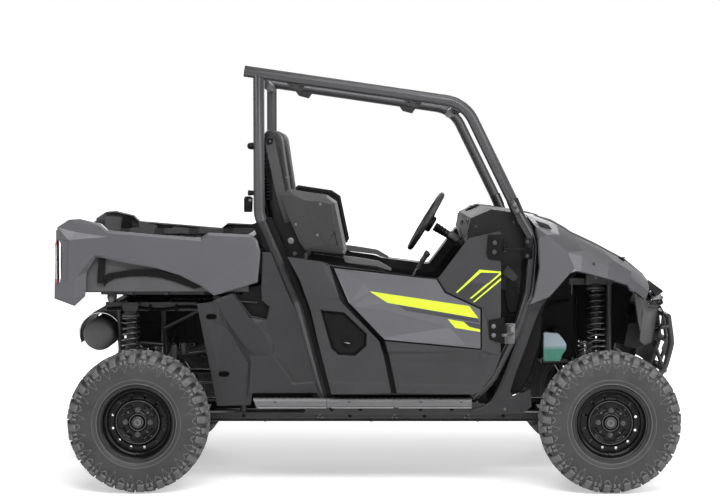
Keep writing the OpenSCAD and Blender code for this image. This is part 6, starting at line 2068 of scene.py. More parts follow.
def knuckles():
    for s, side in ((1, "left"), (-1, "right")):
        B = Build(M_CAST)
        knuckle_parts(B, 1.060, 0.585, s, 0.238, 0.400)
        ring(B, (1.060, s * 0.585, 0.211), (1.060, s * 0.585, 0.427), 0.0088, M_ZINC, 24)
        bolt(B, (1.060, s * 0.585, 0.4245), (0, 0, 1), 0.0085, 0.003, M_ZINC, washer=False)
        ring(B, (1.060, s * 0.585, 0.3235), (1.060, s * 0.674, 0.3235), 0.0172, M_ROD, 32)
        # steering arm
        v, f = g_plate([(0.946, 0.387), (1.050, 0.387), (1.050, 0.399), (0.946, 0.399)], *sorted((s * 0.567, s * 0.590)))
        B.add(v, f, M_CAST)
        # brake caliper bracket with two bolts
        v, f = g_plate(rounded([(1.078, 0.338), (1.090, 0.346), (1.090, 0.384), (1.072, 0.392), (1.066, 0.360)], 0.005, 2), *sorted((s * 0.586, s * 0.604)))
        B.add(v, f, M_CAST)
        for z in (0.352, 0.378):
            bolt(B, (1.080, s * 0.604, z), (0, s, 0), 0.005, 0.004, M_ZINC, washer=False)
        o = B.obj("knuckle_front_%s_visual" % side, bevel=0.0025, seg=2, angle=40)
        finish(o, "%s_knuckle" % side, "knuckle_front_%s" % side)
    B = Build(M_CAST)
    for s in (1, -1):
        knuckle_parts(B, -1.040, 0.574, s, 0.220, 0.410)
        ring(B, (-1.040, s * 0.580, 0.3235), (-1.040, s * 0.682, 0.3235), 0.0172, M_ROD, 32)
        v, f = g_plate(rounded([(-1.022, 0.338), (-1.010, 0.346), (-1.010, 0.384), (-1.028, 0.392), (-1.034, 0.360)], 0.005, 2), *sorted((s * 0.575, s * 0.594)))
        B.add(v, f, M_CAST)
    o = B.obj("rear_knuckles_visual", bevel=0.0025, seg=2, angle=40)
    finish(o, "chassis", "rear_knuckles")


def tie_rods():
    B = Build(M_ROD)
    x, z = 0.960, 0.372
    v, f = g_cyl((x, -0.150, z), (x, 0.150, z), 0.0096, 24)
    B.add(v, f, M_ROD)
    for s in (1, -1):
        ring(B, (x, s * 0.150, z), (x, s * 0.570, z), 0.0086, M_FRAME, 22)
        ring(B, (x, s * 0.520, z), (x, s * 0.545, z), 0.0098, M_ZINC, 6, 0.001)
        v, f = g_cyl((x, s * 0.577, z - 0.011), (x, s * 0.577, z + 0.011), 0.0118, 28, ch=0.002)
        B.add(v, f, M_CAST)
        bolt(B, (x, s * 0.577, z + 0.011), (0, 0, 1), 0.0062, 0.003, M_ZINC, washer=False)
    o = B.obj("tie_rods_visual", bevel=None)
    finish(o, "tie_rods", "tie_rods")


def steering_gear():
    B = Build(M_BLACK)
    x, z = 0.960, 0.372
    for s in (1, -1):
        # rack tube as an open sleeve with clamps
        v, f = g_lathe([(0.0105, 0.004), (0.0215, 0.004), (0.0215, 0.150), (0.0105, 0.150)], 32, close=True)
        B.add(v, f, M_CAST, M=Matrix.Translation((x, 0, z)) @ (Matrix.Identity(4) if s > 0 else Matrix.Scale(-1, 4, (0, 1, 0))))
        v, f = g_lathe([(0.0218, 0.118), (0.0242, 0.118), (0.0242, 0.142), (0.0218, 0.142)], 32, close=True)
        B.add(v, f, M_FRAME, M=Matrix.Translation((x, 0, z)) @ (Matrix.Identity(4) if s > 0 else Matrix.Scale(-1, 4, (0, 1, 0))))
        v, f = g_plate(rounded([(x - 0.033, 0.298), (x - 0.003, 0.298), (x - 0.006, 0.350), (x - 0.022, 0.362), (x - 0.033, 0.340)], 0.003, 2), *sorted((s * 0.120, s * 0.141)))
        B.add(v, f, M_FRAME)
        for xx in (x - 0.026, x - 0.010):
            bolt(B, (xx, s * 0.1415, 0.318), (0, s, 0), 0.0045, 0.004, M_ZINC, washer=False)
    ring(B, (x, 0.110 + 0.003, z + 0.012), (0.722, 0.249, 0.796), 0.0088, M_ROD, 22)
    for t in (0.06, 0.94):
        c = Vector((x, 0.110, z + 0.010)).lerp(Vector((0.720, 0.250, 0.798)), t)
        u = (Vector((0.720, 0.250, 0.798)) - Vector((x, 0.110, z + 0.010))).normalized()
        ring(B, c - u * 0.020, c + u * 0.020, 0.0125, M_CAST, 20, 0.003)
    # column tube behind the wheel with its boot and tilt bracket
    M = Matrix.Translation((0.272, 0.330, 1.176)) @ Matrix.Rotation(math.radians(-58.76), 4, "Y")
    def at(z_):
        return M @ Vector((0, 0, z_))
    ring(B, at(-0.335), at(-0.062), 0.0185, M_FRAME, 28)
    bellows(B, at(-0.050), at(-0.120), 0.0235, 0.0200, 4, M_BLACK, 0.0015)
    ring(B, at(-0.215), at(-0.190), 0.0235, M_CAST, 28)
    ring(B, at(-0.339), at(-0.310), 0.0235, M_CAST, 24)
    # moulded cover, collar rings and cable
    for a0_, b0_, r0_, m0_ in ((-0.130, -0.185, 0.0240, M_GREYBAR), (-0.225, -0.300, 0.0225, M_GREYBAR), (-0.186, -0.190, 0.0245, M_ZINC), (-0.300, -0.304, 0.0235, M_ZINC)):
        ring(B, at(a0_), at(b0_), r0_, m0_, 28)
    v, f = g_tube(smooth_path([at(-0.12) + Vector((0, -0.028, -0.012)), at(-0.20) + Vector((0, -0.034, -0.020)), at(-0.30) + Vector((0, -0.030, -0.012)), at(-0.335) + Vector((0, -0.020, 0.0))], 5), 0.005, 10)
    B.add(v, f, M_BLACK)
    # stalks beside the column
    v, f = g_tube([at(-0.085) + Vector((0, -0.020, 0)), at(-0.083) + Vector((0, -0.026, 0))], 0.006, 14)
    B.add(v, f, M_BLACK)
    o = B.obj("steering_column_visual", bevel=0.0010, seg=1, angle=40)
    finish(o, "chassis", "steering_column")


def exhaust():
    B = Build(M_EXH)
    c = (-1.262, 0.672)
    def P(y):
        return (c[0], y, c[1])
    for s in (1, -1):
        M = Matrix.Translation(P(0)) @ (Matrix.Identity(4) if s > 0 else Matrix.Scale(-1, 4, (0, 1, 0)))
        prof = [(0.0735, 0.0), (0.0735, 0.300), (0.0748, 0.304), (0.0748, 0.314), (0.0735, 0.318), (0.0700, 0.330), (0.0600, 0.338), (0.0480, 0.3415), (0.0250, 0.3440), (0.0, 0.3445)]
        v, f = g_lathe(prof, 56)
        B.add(v, f, M_EXH, M=M)
        for y in (0.10, 0.205):
            v, f = g_lathe([(0.0732, y), (0.0749, y + 0.002), (0.0749, y + 0.016), (0.0732, y + 0.018)], 56)
            B.add(v, f, M_EXH, M=M)
        for k in range(3):
            w = math.radians(120 * k + 20)
            bolt(B, (c[0] + 0.048 * math.cos(w), s * 0.3395, c[1] + 0.048 * math.sin(w)), (0, s, 0), 0.0045, 0.004, M_BOLT, washer=False)
    p = [Vector((-1.205, 0.118, 0.668)), Vector((-1.150, 0.120, 0.650)), Vector((-1.080, 0.120, 0.606)), Vector((-1.012, 0.120, 0.570))]
    v, f = g_tube(smooth_path(p, 5), 0.0205, 28)
    B.add(v, f, M_EXH)
    u = (p[3] - p[2]).normalized()
    ring(B, p[3] - u * 0.030, p[3] - u * 0.020, 0.0238, M_ZINC, 28)
    o = B.obj("muffler_visual", bevel=None)
    finish(o, "chassis", "muffler")
    # bright guard round the muffler
    S = Build(M_CHROME)
    r0, r1 = 0.0985, 0.1015
    a0, a1 = math.radians(24), math.radians(206)
    n = 44
    ys = [-0.283, -0.262, -0.20, -0.185, -0.120, -0.105, -0.040, -0.025, 0.040, 0.055, 0.120, 0.135, 0.200, 0.215, 0.262, 0.283]
    def V3(r, w, y):
        return (c[0] + r * math.cos(w), y, c[1] + r * math.sin(w))
    vs, fs = [], []
    m = len(ys)
    for i in range(n + 1):
        w = a0 + (a1 - a0) * i / n
        for y in ys:
            vs.append(V3(r1, w, y))
        for y in ys:
            vs.append(V3(r0, w, y))
    st = 2 * m
    for i in range(n):
        for j in range(m - 1):
            a = i * st + j
            fs.append((a, a + 1, a + st + 1, a + st))
            b_ = a + m
            fs.append((b_ + st, b_ + st + 1, b_ + 1, b_))
        for j in (0, m - 1):
            a = i * st + j
            fs.append((a, a + st, a + st + m, a + m))
    for i in (0, n):
        for j in range(m - 1):
            a = i * st + j
            fs.append((a, a + m, a + m + 1, a + 1))
    S.add(vs, fs, M_SHIELD)
    # end hoops
    for y in (-0.281, 0.281):
        v, f = g_tube([V3(0.0975, a0 + (a1 - a0) * i / n, y) for i in range(n + 1)], 0.0042, 10)
        S.add(v, f, M_CHROME)
    # louvres pressed out of the guard
    for y in (-0.20, -0.10, 0.0, 0.10, 0.20):
        for w0 in (60, 95, 130, 165):
            pts = [V3(0.1012, math.radians(w0 + k), y) for k in range(0, 24, 3)]
            v, f = g_tube(pts, [0.0012, 0.0024, 0.0028, 0.0028, 0.0028, 0.0028, 0.0024, 0.0012], 8)
            S.add(v, f, M_SHIELD)
    for y in (-0.24, 0.24):
        for w in (40, 190):
            bolt(S, V3(0.1012, math.radians(w), y), (math.cos(math.radians(w)), 0, math.sin(math.radians(w))), 0.0045, 0.002, M_BOLT, washer=False)
    o = S.obj("muffler_shield_visual", bevel=None)
    finish(o, "chassis", "muffler_shield")


def frames():
    L_ = 0.008
    # ladder
    B = Build(M_FRAME)
    def sq(a, b, r=0.004):
        v, f = g_box(a, b)
        B.add(v, f, M_FRAME)
    for s in (1, -1):
        y0, y1 = sorted((s * 0.180, s * 0.216))
        sq((-1.180, y0, 0.263), (1.140, y1, 0.295))
        for x in (-1.05, -0.60, -0.10, 0.25, 0.62, 0.95):
            v, f = g_cyl((x, s * 0.2158, 0.279), (x, s * 0.2168, 0.279), 0.009, 20)
            B.add(v, f, M_BLACK)
        for x in (-1.170, 1.130):
            pieces(B, M_BLACK, [((x - 0.008 if x > 0 else x - 0.0112, y0 + 0.004, 0.267), (x + 0.0112 if x > 0 else x + 0.008, y1 - 0.004, 0.291))])
    for x in (-1.178, -0.820, -0.240, 0.420, 0.800, 1.093):
        sq((x, -0.184, 0.265), (x + 0.045, 0.184, 0.293))
        for s in (1, -1):
            vv = [(x - 0.020, s * 0.180, 0.2935), (x + 0.065, s * 0.180, 0.2935), (x + 0.045, s * 0.140, 0.2935), (x, s * 0.140, 0.2935)]
            v2 = [(a, b, c - 0.004) for a, b, c in vv]
            B.add(vv + v2, [(0, 1, 2, 3), (7, 6, 5, 4), (0, 4, 5, 1), (1, 5, 6, 2), (2, 6, 7, 3), (3, 7, 4, 0)], M_FRAME)
    o = B.obj("main_frame_visual", bevel=0.0035, seg=2, angle=40)
    finish(o, "chassis", "main_frame")
    # side rails
    B = Build(M_FRAME)
    for s in (1, -1):
        v, f = g_box((-0.300, min(s * 0.585, s * 0.625), 0.338), (0.510, max(s * 0.585, s * 0.625), 0.388))
        B.add(v, f, M_FRAME)
        for x in (-0.240, 0.110, 0.450):
            v, f = g_tube([(x, s * 0.220, 0.288), (x, s * 0.590, 0.361)], 0.0122, 22)
            B.add(v, f, M_FRAME)
            pieces(B, M_FRAME, [((x - 0.016, min(s * 0.2165, s * 0.222), 0.266), (x + 0.016, max(s * 0.2165, s * 0.222), 0.304))])
            for z in (0.272, 0.298):
                bolt(B, (x - 0.010, s * 0.222, z), (0, s, 0), 0.0042, 0.003, M_ZINC, washer=False)
                bolt(B, (x + 0.010, s * 0.222, z), (0, s, 0), 0.0042, 0.003, M_ZINC, washer=False)
            weld(B, (x, s * 0.584, 0.3600), (0, s, 0.19), 0.0125, M_FRAME, n=18, t=0.0016)
        for x in (-0.18, -0.05, 0.22, 0.36):
            v, f = g_cyl((x, s * 0.6245, 0.363), (x, s * 0.6258, 0.363), 0.010, 20)
            B.add(v, f, M_BLACK)
    o = B.obj("side_rails_visual", bevel=0.0035, seg=2, angle=40)
    finish(o, "chassis", "side_rails")
    # receiver
    B = Build(M_FRAME)
    w, t = 0.03175, 0.00635
    iy = w - t
    zc = 0.263 + w
    prof = [(-1.400, 0.0), (-1.1786, 0.0)]
    outr = rounded([(-w, 0.263), (w, 0.263), (w, 0.3265), (-w, 0.3265)], 0.005, 3)
    inn = rounded([(-iy, 0.263 + t), (iy, 0.263 + t), (iy, 0.3265 - t), (-iy, 0.3265 - t)], 0.003, 3)
    n = len(outr)
    vs = []
    for x in (-1.400, -1.1786):
        vs += [(x, y, z) for y, z in outr]
        vs += [(x, y, z) for y, z in inn]
    fs = []
    for j in range(n):
        k = (j + 1) % n
        fs.append((j, k, 2 * n + k, 2 * n + j))
        fs.append((n + k, n + j, 3 * n + j, 3 * n + k))
        fs.append((j, n + j, n + k, k))
        fs.append((2 * n + k, 3 * n + k, 3 * n + j, 2 * n + j))
    B.add(vs, fs, M_FRAME)
    # collar round the mouth
    oc = rounded([(-w - 0.004, 0.260), (w + 0.004, 0.260), (w + 0.004, 0.3295), (-w - 0.004, 0.3295)], 0.006, 3)
    ic = rounded([(-w + 0.001, 0.264), (w - 0.001, 0.264), (w - 0.001, 0.3255), (-w + 0.001, 0.3255)], 0.005, 3)
    vs = []
    for x in (-1.400, -1.386):
        vs += [(x, y, z) for y, z in oc]
        vs += [(x, y, z) for y, z in ic]
    B.add(vs, fs, M_FRAME)
    for s in (1, -1):
        v, f = g_lathe([(0.0082, 0.0), (0.0130, 0.0), (0.0130, 0.0022), (0.0082, 0.0022)], 28, close=True)
        B.add(v, f, M_ZINC, M=Matrix.Translation((-1.372, s * w, zc)) @ (Matrix.Identity(4) if s > 0 else Matrix.Scale(-1, 4, (0, 1, 0))))
        # chain loops
        p = smooth_path([(-1.290, s * 0.030, 0.275), (-1.290, s * 0.036, 0.268), (-1.275, s * 0.038, 0.266), (-1.260, s * 0.036, 0.268), (-1.260, s * 0.030, 0.275)], 5)
        v, f = g_tube(p, 0.0032, 10)
        B.add(v, f, M_FRAME)
    o = B.obj("hitch_receiver_visual", bevel=0.0012, seg=1, angle=40)
    finish(o, "chassis", "hitch_receiver")
    # skid plate with pressed ribs and bolts
    B = Build(M_GREYBAR)
    outl = [(-1.150, 0.2535), (1.150, 0.2535), (1.290, 0.380), (1.283, 0.388), (1.146, 0.260), (-1.150, 0.260)]
    v, f = g_plate(outl, -0.220, 0.220)
    B.add(v, f, M_FRAME)
    for y in (-0.16, -0.08, 0.0, 0.08, 0.16):
        v, f = g_plate([(-1.10, 0.254), (-1.09, 0.2505), (1.10, 0.2505), (1.11, 0.254)], y - 0.012, y + 0.012)
        B.add(v, f, M_FRAME)
    for x in (-1.0, -0.5, 0.0, 0.5, 1.0):
        for y in (-0.198, 0.198):
            bolt(B, (x, y, 0.2535), (0, 0, -1), 0.008, 0.004, M_ZINC)
    o = B.obj("skid_plate_visual", bevel=0.0012, seg=1, angle=30)
    finish(o, "chassis", "skid_plate")
    # rear towers
    B = Build(M_FRAME)
    for s in (1, -1):
        for x in (-1.164, -0.960, -0.600):
            v, f = g_tube([(x, s * 0.203, 0.300), (x, s * 0.329, 0.790)], 0.0158, 26)
            B.add(v, f, M_FRAME)
            weld(B, (x, s * 0.2045, 0.303), (0, s * 0.126, 0.49), 0.0158, M_FRAME, n=20, t=0.0018)
        v, f = g_box((-1.228, min(s * 0.310, s * 0.350), 0.783), (-0.560, max(s * 0.310, s * 0.350), 0.823))
        B.add(v, f, M_FRAME)
        v, f = g_plate(rounded([(-1.214, 0.822), (-1.186, 0.822), (-1.186, 0.840), (-1.192, 0.850), (-1.200, 0.853), (-1.208, 0.850), (-1.214, 0.840)], 0.003, 2), *sorted((s * 0.326, s * 0.334)))
        # lug sits beside the hinge pin, under it
        vv = [(x, y, min(z, 0.8275)) for x, y, z in v]
        B.add(vv, f, M_FRAME)
        # rest rubber
        v, f = g_lathe([(0.0, 0.0), (0.0150, 0.0), (0.0158, 0.008), (0.0140, 0.030), (0.0100, 0.0335), (0.0, 0.0338)], 28)
        B.add(v, f, M_BLACK, M=Matrix.Translation((-0.620, s * 0.330, 0.822)) @ Matrix.Rotation(math.radians(90), 4, "X"))
        # shock upper mount ears, seen at the rear wheel
        for dx in (-0.022, 0.022):
            v, f = g_plate(rounded([(-1.107 + dx - 0.004, 0.788), (-1.107 + dx + 0.004, 0.788), (-1.107 + dx + 0.004, 0.815), (-1.107 + dx - 0.004, 0.815)], 0.001, 1), *sorted((s * 0.345, s * 0.362)))
            B.add(v, f, M_FRAME)
    for a, b in (((-1.225, -0.312, 0.790), (-1.192, 0.312, 0.812)), ((-0.760, -0.314, 0.786), (-0.725, 0.314, 0.820))):
        v, f = g_box(a, b)
        B.add(v, f, M_FRAME)
    o = B.obj("rear_subframe_visual", bevel=0.0030, seg=2, angle=40)
    finish(o, "chassis", "rear_subframe")
    # front towers
    B = Build(M_FRAME)
    for s in (1, -1):
        for a, b in (((0.930, 0.202, 0.299), (0.930, 0.299, 0.906)), ((1.1155, 0.202, 0.299), (1.1003, 0.299, 0.906))):
            a = (a[0], s * a[1], a[2])
            b = (b[0], s * b[1], b[2])
            m = M_GREYBAR if a[0] > 1 else M_FRAME
            v, f = g_tube([a, b], 0.0132, 24)
            B.add(v, f, m)
            weld(B, a, tuple(Vector(b) - Vector(a)), 0.0135, m, n=18, t=0.0016)
        v, f = g_box((0.915, min(s * 0.285, s * 0.315), 0.903), (1.118, max(s * 0.285, s * 0.315), 0.933))
        B.add(v, f, M_FRAME)
        for x in (0.932, 1.100):
            bolt(B, (x, s * 0.300, 0.933), (0, 0, 1), 0.007, 0.005, M_ZINC)
    for a, b in (((0.915, -0.287, 0.905), (0.945, 0.287, 0.931)), ((1.088, -0.287, 0.905), (1.116, 0.287, 0.931))):
        v, f = g_box(a, b)
        B.add(v, f, M_FRAME)
    v, f = g_box((0.785, -0.400, 0.541), (0.942, -0.220, 0.547))
    B.add(v, f, M_FRAME)
    pieces(B, M_FRAME, [((0.785, -0.400, 0.541), (0.789, -0.300, 0.556)), ((0.785, -0.400, 0.541), (0.905, -0.397, 0.556))])
    o = B.obj("front_subframe_visual", bevel=0.0030, seg=2, angle=40)
    finish(o, "chassis", "front_subframe")


shocks()
driveline()
arms()
knuckles()
tie_rods()
steering_gear()
exhaust()
frames()

# ------------------------------------------------------------------ cabin


def plate_xz(B, m, pts, y0, y1, r=0.006, n=3):
    v, f = g_plate(rounded(pts, r, n) if r else pts, *sorted((y0, y1)))
    B.add(v, f, m)


def strip_sheet(B, m, line, y0, y1, t, ny=2):
    """Sheet that follows an open line in X and Z across the cab."""
    line = [Vector((x, 0, z)) for x, z in line]
    nrm = []
    for i, p in enumerate(line):
        a = line[i - 1] if i else None
        b = line[i + 1] if i < len(line) - 1 else None
        d = Vector((0, 0, 0))
        if a is not None:
            d += (p - a).normalized()
        if b is not None:
            d += (b - p).normalized()
        d.normalize()
        nrm.append(Vector((-d.z, 0, d.x)))
    vs, fs = [], []
    for p, k in zip(line, nrm):
        for j in range(ny):
            y = y0 + (y1 - y0) * j / (ny - 1)
            vs.append(p + Vector((0, y, 0)) + k * t / 2)
        for j in range(ny):
            y = y0 + (y1 - y0) * j / (ny - 1)
            vs.append(p + Vector((0, y, 0)) - k * t / 2)
    st = 2 * ny
    n = len(line)
    for i in range(n - 1):
        for j in range(ny - 1):
            a = i * st + j
            fs.append((a, a + st, a + st + 1, a + 1))
            b = a + ny
            fs.append((b, b + 1, b + st + 1, b + st))
        a = i * st
        fs.append((a, a + ny, a + st + ny, a + st))
        a = i * st + ny - 1
        fs.append((a, a + st, a + st + ny, a + ny))
    for i in (0, n - 1):
        for j in range(ny - 1):
            a = i * st + j
            fs.append((a, a + 1, a + 1 + ny, a + ny))
    B.add(vs, fs, m)


def prism(outline, y0, y1, dome, name, mats):
    """Closed slab from an outline in X and Z with a crowned shape towards its sides."""
    n = len(outline)
    cx = sum(p[0] for p in outline) / n
    cz = sum(p[1] for p in outline) / n
    rows = []
    k = 10
    for i in range(k + 1):
        t = i / k
        y = y0 + (y1 - y0) * t
        e = 1 - abs(2 * t - 1) ** 6
        s = 1 - dome * (1 - e)
        rows.append([(cx + (x - cx) * s, y, cz + (z - cz) * s) for x, z in outline])
    vs = [p for r in rows for p in r]
    fs = []
    for i in range(k):
        for j in range(n):
            a, b = i * n + j, i * n + (j + 1) % n
            fs.append((a, b, b + n, a + n))
    fs.append(tuple(range(n))[::-1])
    fs.append(tuple(range(k * n, k * n + n)))
    B = Build(*mats)
    B.add(vs, fs, mats[0])
    return B.obj(name)


def soften(o, pressure, voxel=0.006, size=0.05):
    """Puffs a closed form into an upholstered one."""
    bpy.context.view_layer.objects.active = o
    for k in bpy.data.objects:
        k.select_set(False)
    o.select_set(True)
    md = o.modifiers.new("rm", "REMESH")
    md.mode = "VOXEL"
    md.voxel_size = voxel
    md.use_smooth_shade = True
    bpy.ops.object.modifier_apply(modifier="rm")
    start = [v.co.copy() for v in o.data.vertices]
    lo = Vector([min(c[i] for c in start) for i in range(3)])
    hi = Vector([max(c[i] for c in start) for i in range(3)])
    # the outer border of the form is what the cover is fixed to
    vg = o.vertex_groups.new(name="hold")
    ids = []
    for v in o.data.vertices:
        if v.co.y < lo.y + 0.008 or v.co.y > hi.y - 0.008:
            ids.append(v.index)
    vg.add(ids, 0.25, "REPLACE")
    md = o.modifiers.new("cloth", "CLOTH")
    c = md.settings
    c.quality = 6
    c.mass = 0.3
    c.tension_stiffness = 25
    c.compression_stiffness = 25
    c.shear_stiffness = 12
    c.bending_stiffness = 3.0
    c.use_pressure = True
    c.uniform_pressure_force = pressure
    c.effector_weights.gravity = 0.0
    c.vertex_group_mass = "hold"
    c.pin_stiffness = 0.6
    md.collision_settings.use_collision = False
    md.point_cache.frame_start = 1
    md.point_cache.frame_end = 20
    sc = bpy.context.scene
    for f in range(1, 21):
        sc.frame_set(f)
    dg = bpy.context.evaluated_depsgraph_get()
    ev = o.evaluated_get(dg)
    me = bpy.data.meshes.new_from_object(ev)
    o.modifiers.remove(md)
    old = o.data
    o.data = me
    bpy.data.meshes.remove(old)
    cap = 0.024
    for v, p in zip(o.data.vertices, start):
        d = v.co - p
        if d.length > cap:
            v.co = p + d * (cap / d.length)
    sc.frame_set(1)
    for p in o.data.polygons:
        p.use_smooth = True
    # light smoothing of the voxel steps
    bm = bmesh.new()
    bm.from_mesh(o.data)
    for _ in range(4):
        bmesh.ops.smooth_vert(bm, verts=bm.verts, factor=0.5, use_axis_x=True, use_axis_y=True, use_axis_z=True)
    bm.to_mesh(o.data)
    bm.free()
    return o


def ray_line(o, pts, d, r, mat_, name, gap=0.0008, n=4, stitches=False):
    """Returns points along pts dropped onto a surface along d, for a welt or stitches to follow."""
    from mathutils.bvhtree import BVHTree
    dg = bpy.context.evaluated_depsgraph_get()
    bvh = BVHTree.FromObject(o, dg)
    out = []
    d = Vector(d).normalized()
    for p in smooth_path(pts, n):
        h = bvh.ray_cast(Vector(p) - d * 0.15, d, 0.4)
        if h[0] is not None:
            out.append(h[0] + h[1] * gap)
    return out


def seats():
    cush = [(-0.392, 0.772), (0.030, 0.772), (0.056, 0.800), (0.054, 0.846), (0.020, 0.878), (-0.060, 0.872), (-0.180, 0.856), (-0.300, 0.860), (-0.388, 0.874)]
    back = [(-0.318, 0.916), (-0.392, 0.908), (-0.420, 1.050), (-0.466, 1.250), (-0.490, 1.480), (-0.492, 1.590), (-0.478, 1.632), (-0.452, 1.634), (-0.436, 1.596), (-0.420, 1.480), (-0.396, 1.320), (-0.338, 1.120), (-0.318, 1.000)]
    C, D = [], []
    for s, side in ((1, "l"), (-1, "r")):
        for part, outline, y0, y1, store in (("cushion", cush, 0.118, 0.528, C), ("back", back, 0.126, 0.524, D)):
            a, b = sorted((s * y0, s * y1))
            o = prism(outline, a, b, 0.20 if part == "back" else 0.10, "seat_%s_%s" % (part, side), [M_SEAT])
            soften(o, 4.0, 0.0065)
            store.append(o)
    for store, node, nm in ((C, "seat_cushions", "seat_cushions_visual"), (D, "seat_backs", "seat_backs_visual")):
        # welts and stitching that follow the covers
        T = Build(M_SEAT2)
        for o, s in zip(store, (1, -1)):
            if node == "seat_cushions":
                for yy in (0.165, 0.325, 0.485):
                    pts = ray_line(o, [(x, s * yy, 1.0) for x in (-0.36, -0.28, -0.18, -0.08, 0.0, 0.03)], (0, 0, -1), 0, None, "")
                    if len(pts) > 3:
                        v, f = g_tube(pts, 0.0030 if yy != 0.325 else 0.0018, 8)
                        T.add(v, f, M_SEAT2 if yy != 0.325 else M_STITCH)
                for xx in (-0.30, -0.10):
                    pts = ray_line(o, [(xx, s * y, 1.0) for y in (0.165, 0.22, 0.28, 0.325, 0.37, 0.43, 0.485)], (0, 0, -1), 0, None, "")
                    if len(pts) > 3:
                        v, f = g_tube(pts, 0.0018, 8)
                        T.add(v, f, M_STITCH)
                # base pan
                v, f = g_box((-0.385, min(s * 0.120, s * 0.530), 0.762), (0.040, max(s * 0.120, s * 0.530), 0.774))
                T.add(v, f, M_BLACK)
                for xx, yy in ((-0.34, 0.15), (-0.34, 0.50), (0.0, 0.15), (0.0, 0.50)):
                    ring(T, (xx, s * yy, 0.756), (xx, s * yy, 0.764), 0.014, M_BLACK, 20)
            else:
                for yy in (0.180, 0.470):
                    pts = ray_line(o, [(-0.2, s * yy, z) for z in (1.00, 1.10, 1.20, 1.30, 1.40, 1.48, 1.54)], (-1, 0, 0), 0, None, "")
                    if len(pts) > 3:
                        v, f = g_tube(pts, 0.0030, 8)
                        T.add(v, f, M_SEAT2)
                for zz in (1.06, 1.20, 1.40):
                    pts = ray_line(o, [(-0.2, s * y, zz) for y in (0.180, 0.25, 0.325, 0.40, 0.470)], (-1, 0, 0), 0, None, "")
                    if len(pts) > 3:
                        v, f = g_tube(pts, 0.0018, 8)
                        T.add(v, f, M_STITCH)
                # moulded back shell with ribs at its outer edge
                sh = [(-0.398, 0.930), (-0.404, 0.932), (-0.432, 1.060), (-0.478, 1.250), (-0.500, 1.480), (-0.500, 1.600), (-0.494, 1.600), (-0.494, 1.480), (-0.470, 1.250), (-0.424, 1.056)]
                v, f = g_plate(sh, *sorted((s * 0.150, s * 0.500)))
                T.add(v, f, M_BLACK)
                for k in range(14):
                    z = 1.300 + k * 0.0155
                    x = -0.4965 - 0.0 + (1.50 - z) * 0.03
                    for yy in (0.532,):
                        v, f = g_box((x + 0.010, min(s * 0.500, s * yy), z), (x + 0.040, max(s * 0.500, s * yy), z + 0.008))
                        T.add(v, f, M_BLACK)
        t = T.obj("t_" + nm, bevel=None)
        o = join(store + [t], nm)
        finish(o, "chassis", node)


M_SIDE = mat("bolster_plastic", (0.019, 0.019, 0.020), rough=0.42, vary=0.1, scale=6, grain=0.3, grain_scale=800, spec=0.2)


def bolsters():
    B = Build(M_SIDE)
    M_BORDER = M_GREYBAR
    out = [(-0.370, 1.350), (-0.199, 1.324), (-0.155, 1.2945), (-0.110, 1.079), (-0.121, 1.057), (-0.299, 1.076), (-0.3215, 1.109), (-0.373, 1.228), (-0.403, 1.324)]
    lines = [
        ["loop", (-0.366, 1.338, 0.004), (-0.202, 1.314, 0.004), (-0.166, 1.288, 0.004), (-0.124, 1.081, 0.004), (-0.130, 1.068, 0.004), (-0.294, 1.086, 0.004), (-0.311, 1.113, 0.004), (-0.361, 1.231, 0.004), (-0.389, 1.320, 0.004)],
        [(-0.355, 1.322, 0.012), (-0.290, 1.2965, 0.014), (-0.235, 1.296, 0.013), (-0.182, 1.282, 0.010)],
        [(-0.290, 1.2965, 0.014), (-0.255, 1.180, 0.010), (-0.200, 1.100, 0.009)],
        ["loop", (-0.205, 1.100, 0.010), (-0.150, 1.094, 0.010), (-0.165, 1.165, 0.010)],
        ["loop", (-0.199, 1.104, 0.003), (-0.156, 1.099, 0.003), (-0.167, 1.155, 0.003)],
    ]
    edge = [(-0.199, 1.326), (-0.155, 1.2965), (-0.108, 1.079), (-0.119, 1.055), (-0.132, 1.066), (-0.124, 1.081), (-0.166, 1.290), (-0.204, 1.316)]
    add_relief(B, out, lines, 0.610, 0.010, M_SIDE, regions=[(edge, M_BORDER)])
    # moulded bucket side behind, and screws
    for x, z in ((-0.230, 1.283), (-0.340, 1.192), (-0.243, 1.143)):
        screw(B, (x, 0.6215, z), (0, 1, 0), 0.0065, M_ZINC)
    plate_xz(B, M_BLACK, [(-0.362, 1.336), (-0.204, 1.312), (-0.166, 1.286), (-0.122, 1.083), (-0.130, 1.066), (-0.294, 1.084), (-0.312, 1.112), (-0.362, 1.232), (-0.392, 1.320)], 0.594, 0.601, 0.01)
    # black carrier under it
    br = [(-0.412, 1.188), (-0.330, 1.213), (-0.285, 1.070), (-0.376, 1.020)]
    plate_xz(B, M_BLACK, br, 0.582, 0.591, 0.014, 4)
    plate_xz(B, M_BLACK, [(-0.392, 1.160), (-0.345, 1.180), (-0.320, 1.090), (-0.366, 1.066)], 0.590, 0.5935, 0.010, 3)
    bolt(B, (-0.362, 0.5935, 1.118), (0, 1, 0), 0.009, 0.006, M_ZINC)
    bolt(B, (-0.345, 0.5915, 1.060), (0, 1, 0), 0.006, 0.005, M_BOLT)
    B.mirror_y()
    o = B.obj("hip_bolsters_visual", bevel=0.003, seg=3, angle=14, crisp=2.0)
    finish(o, "chassis", "hip_bolsters")


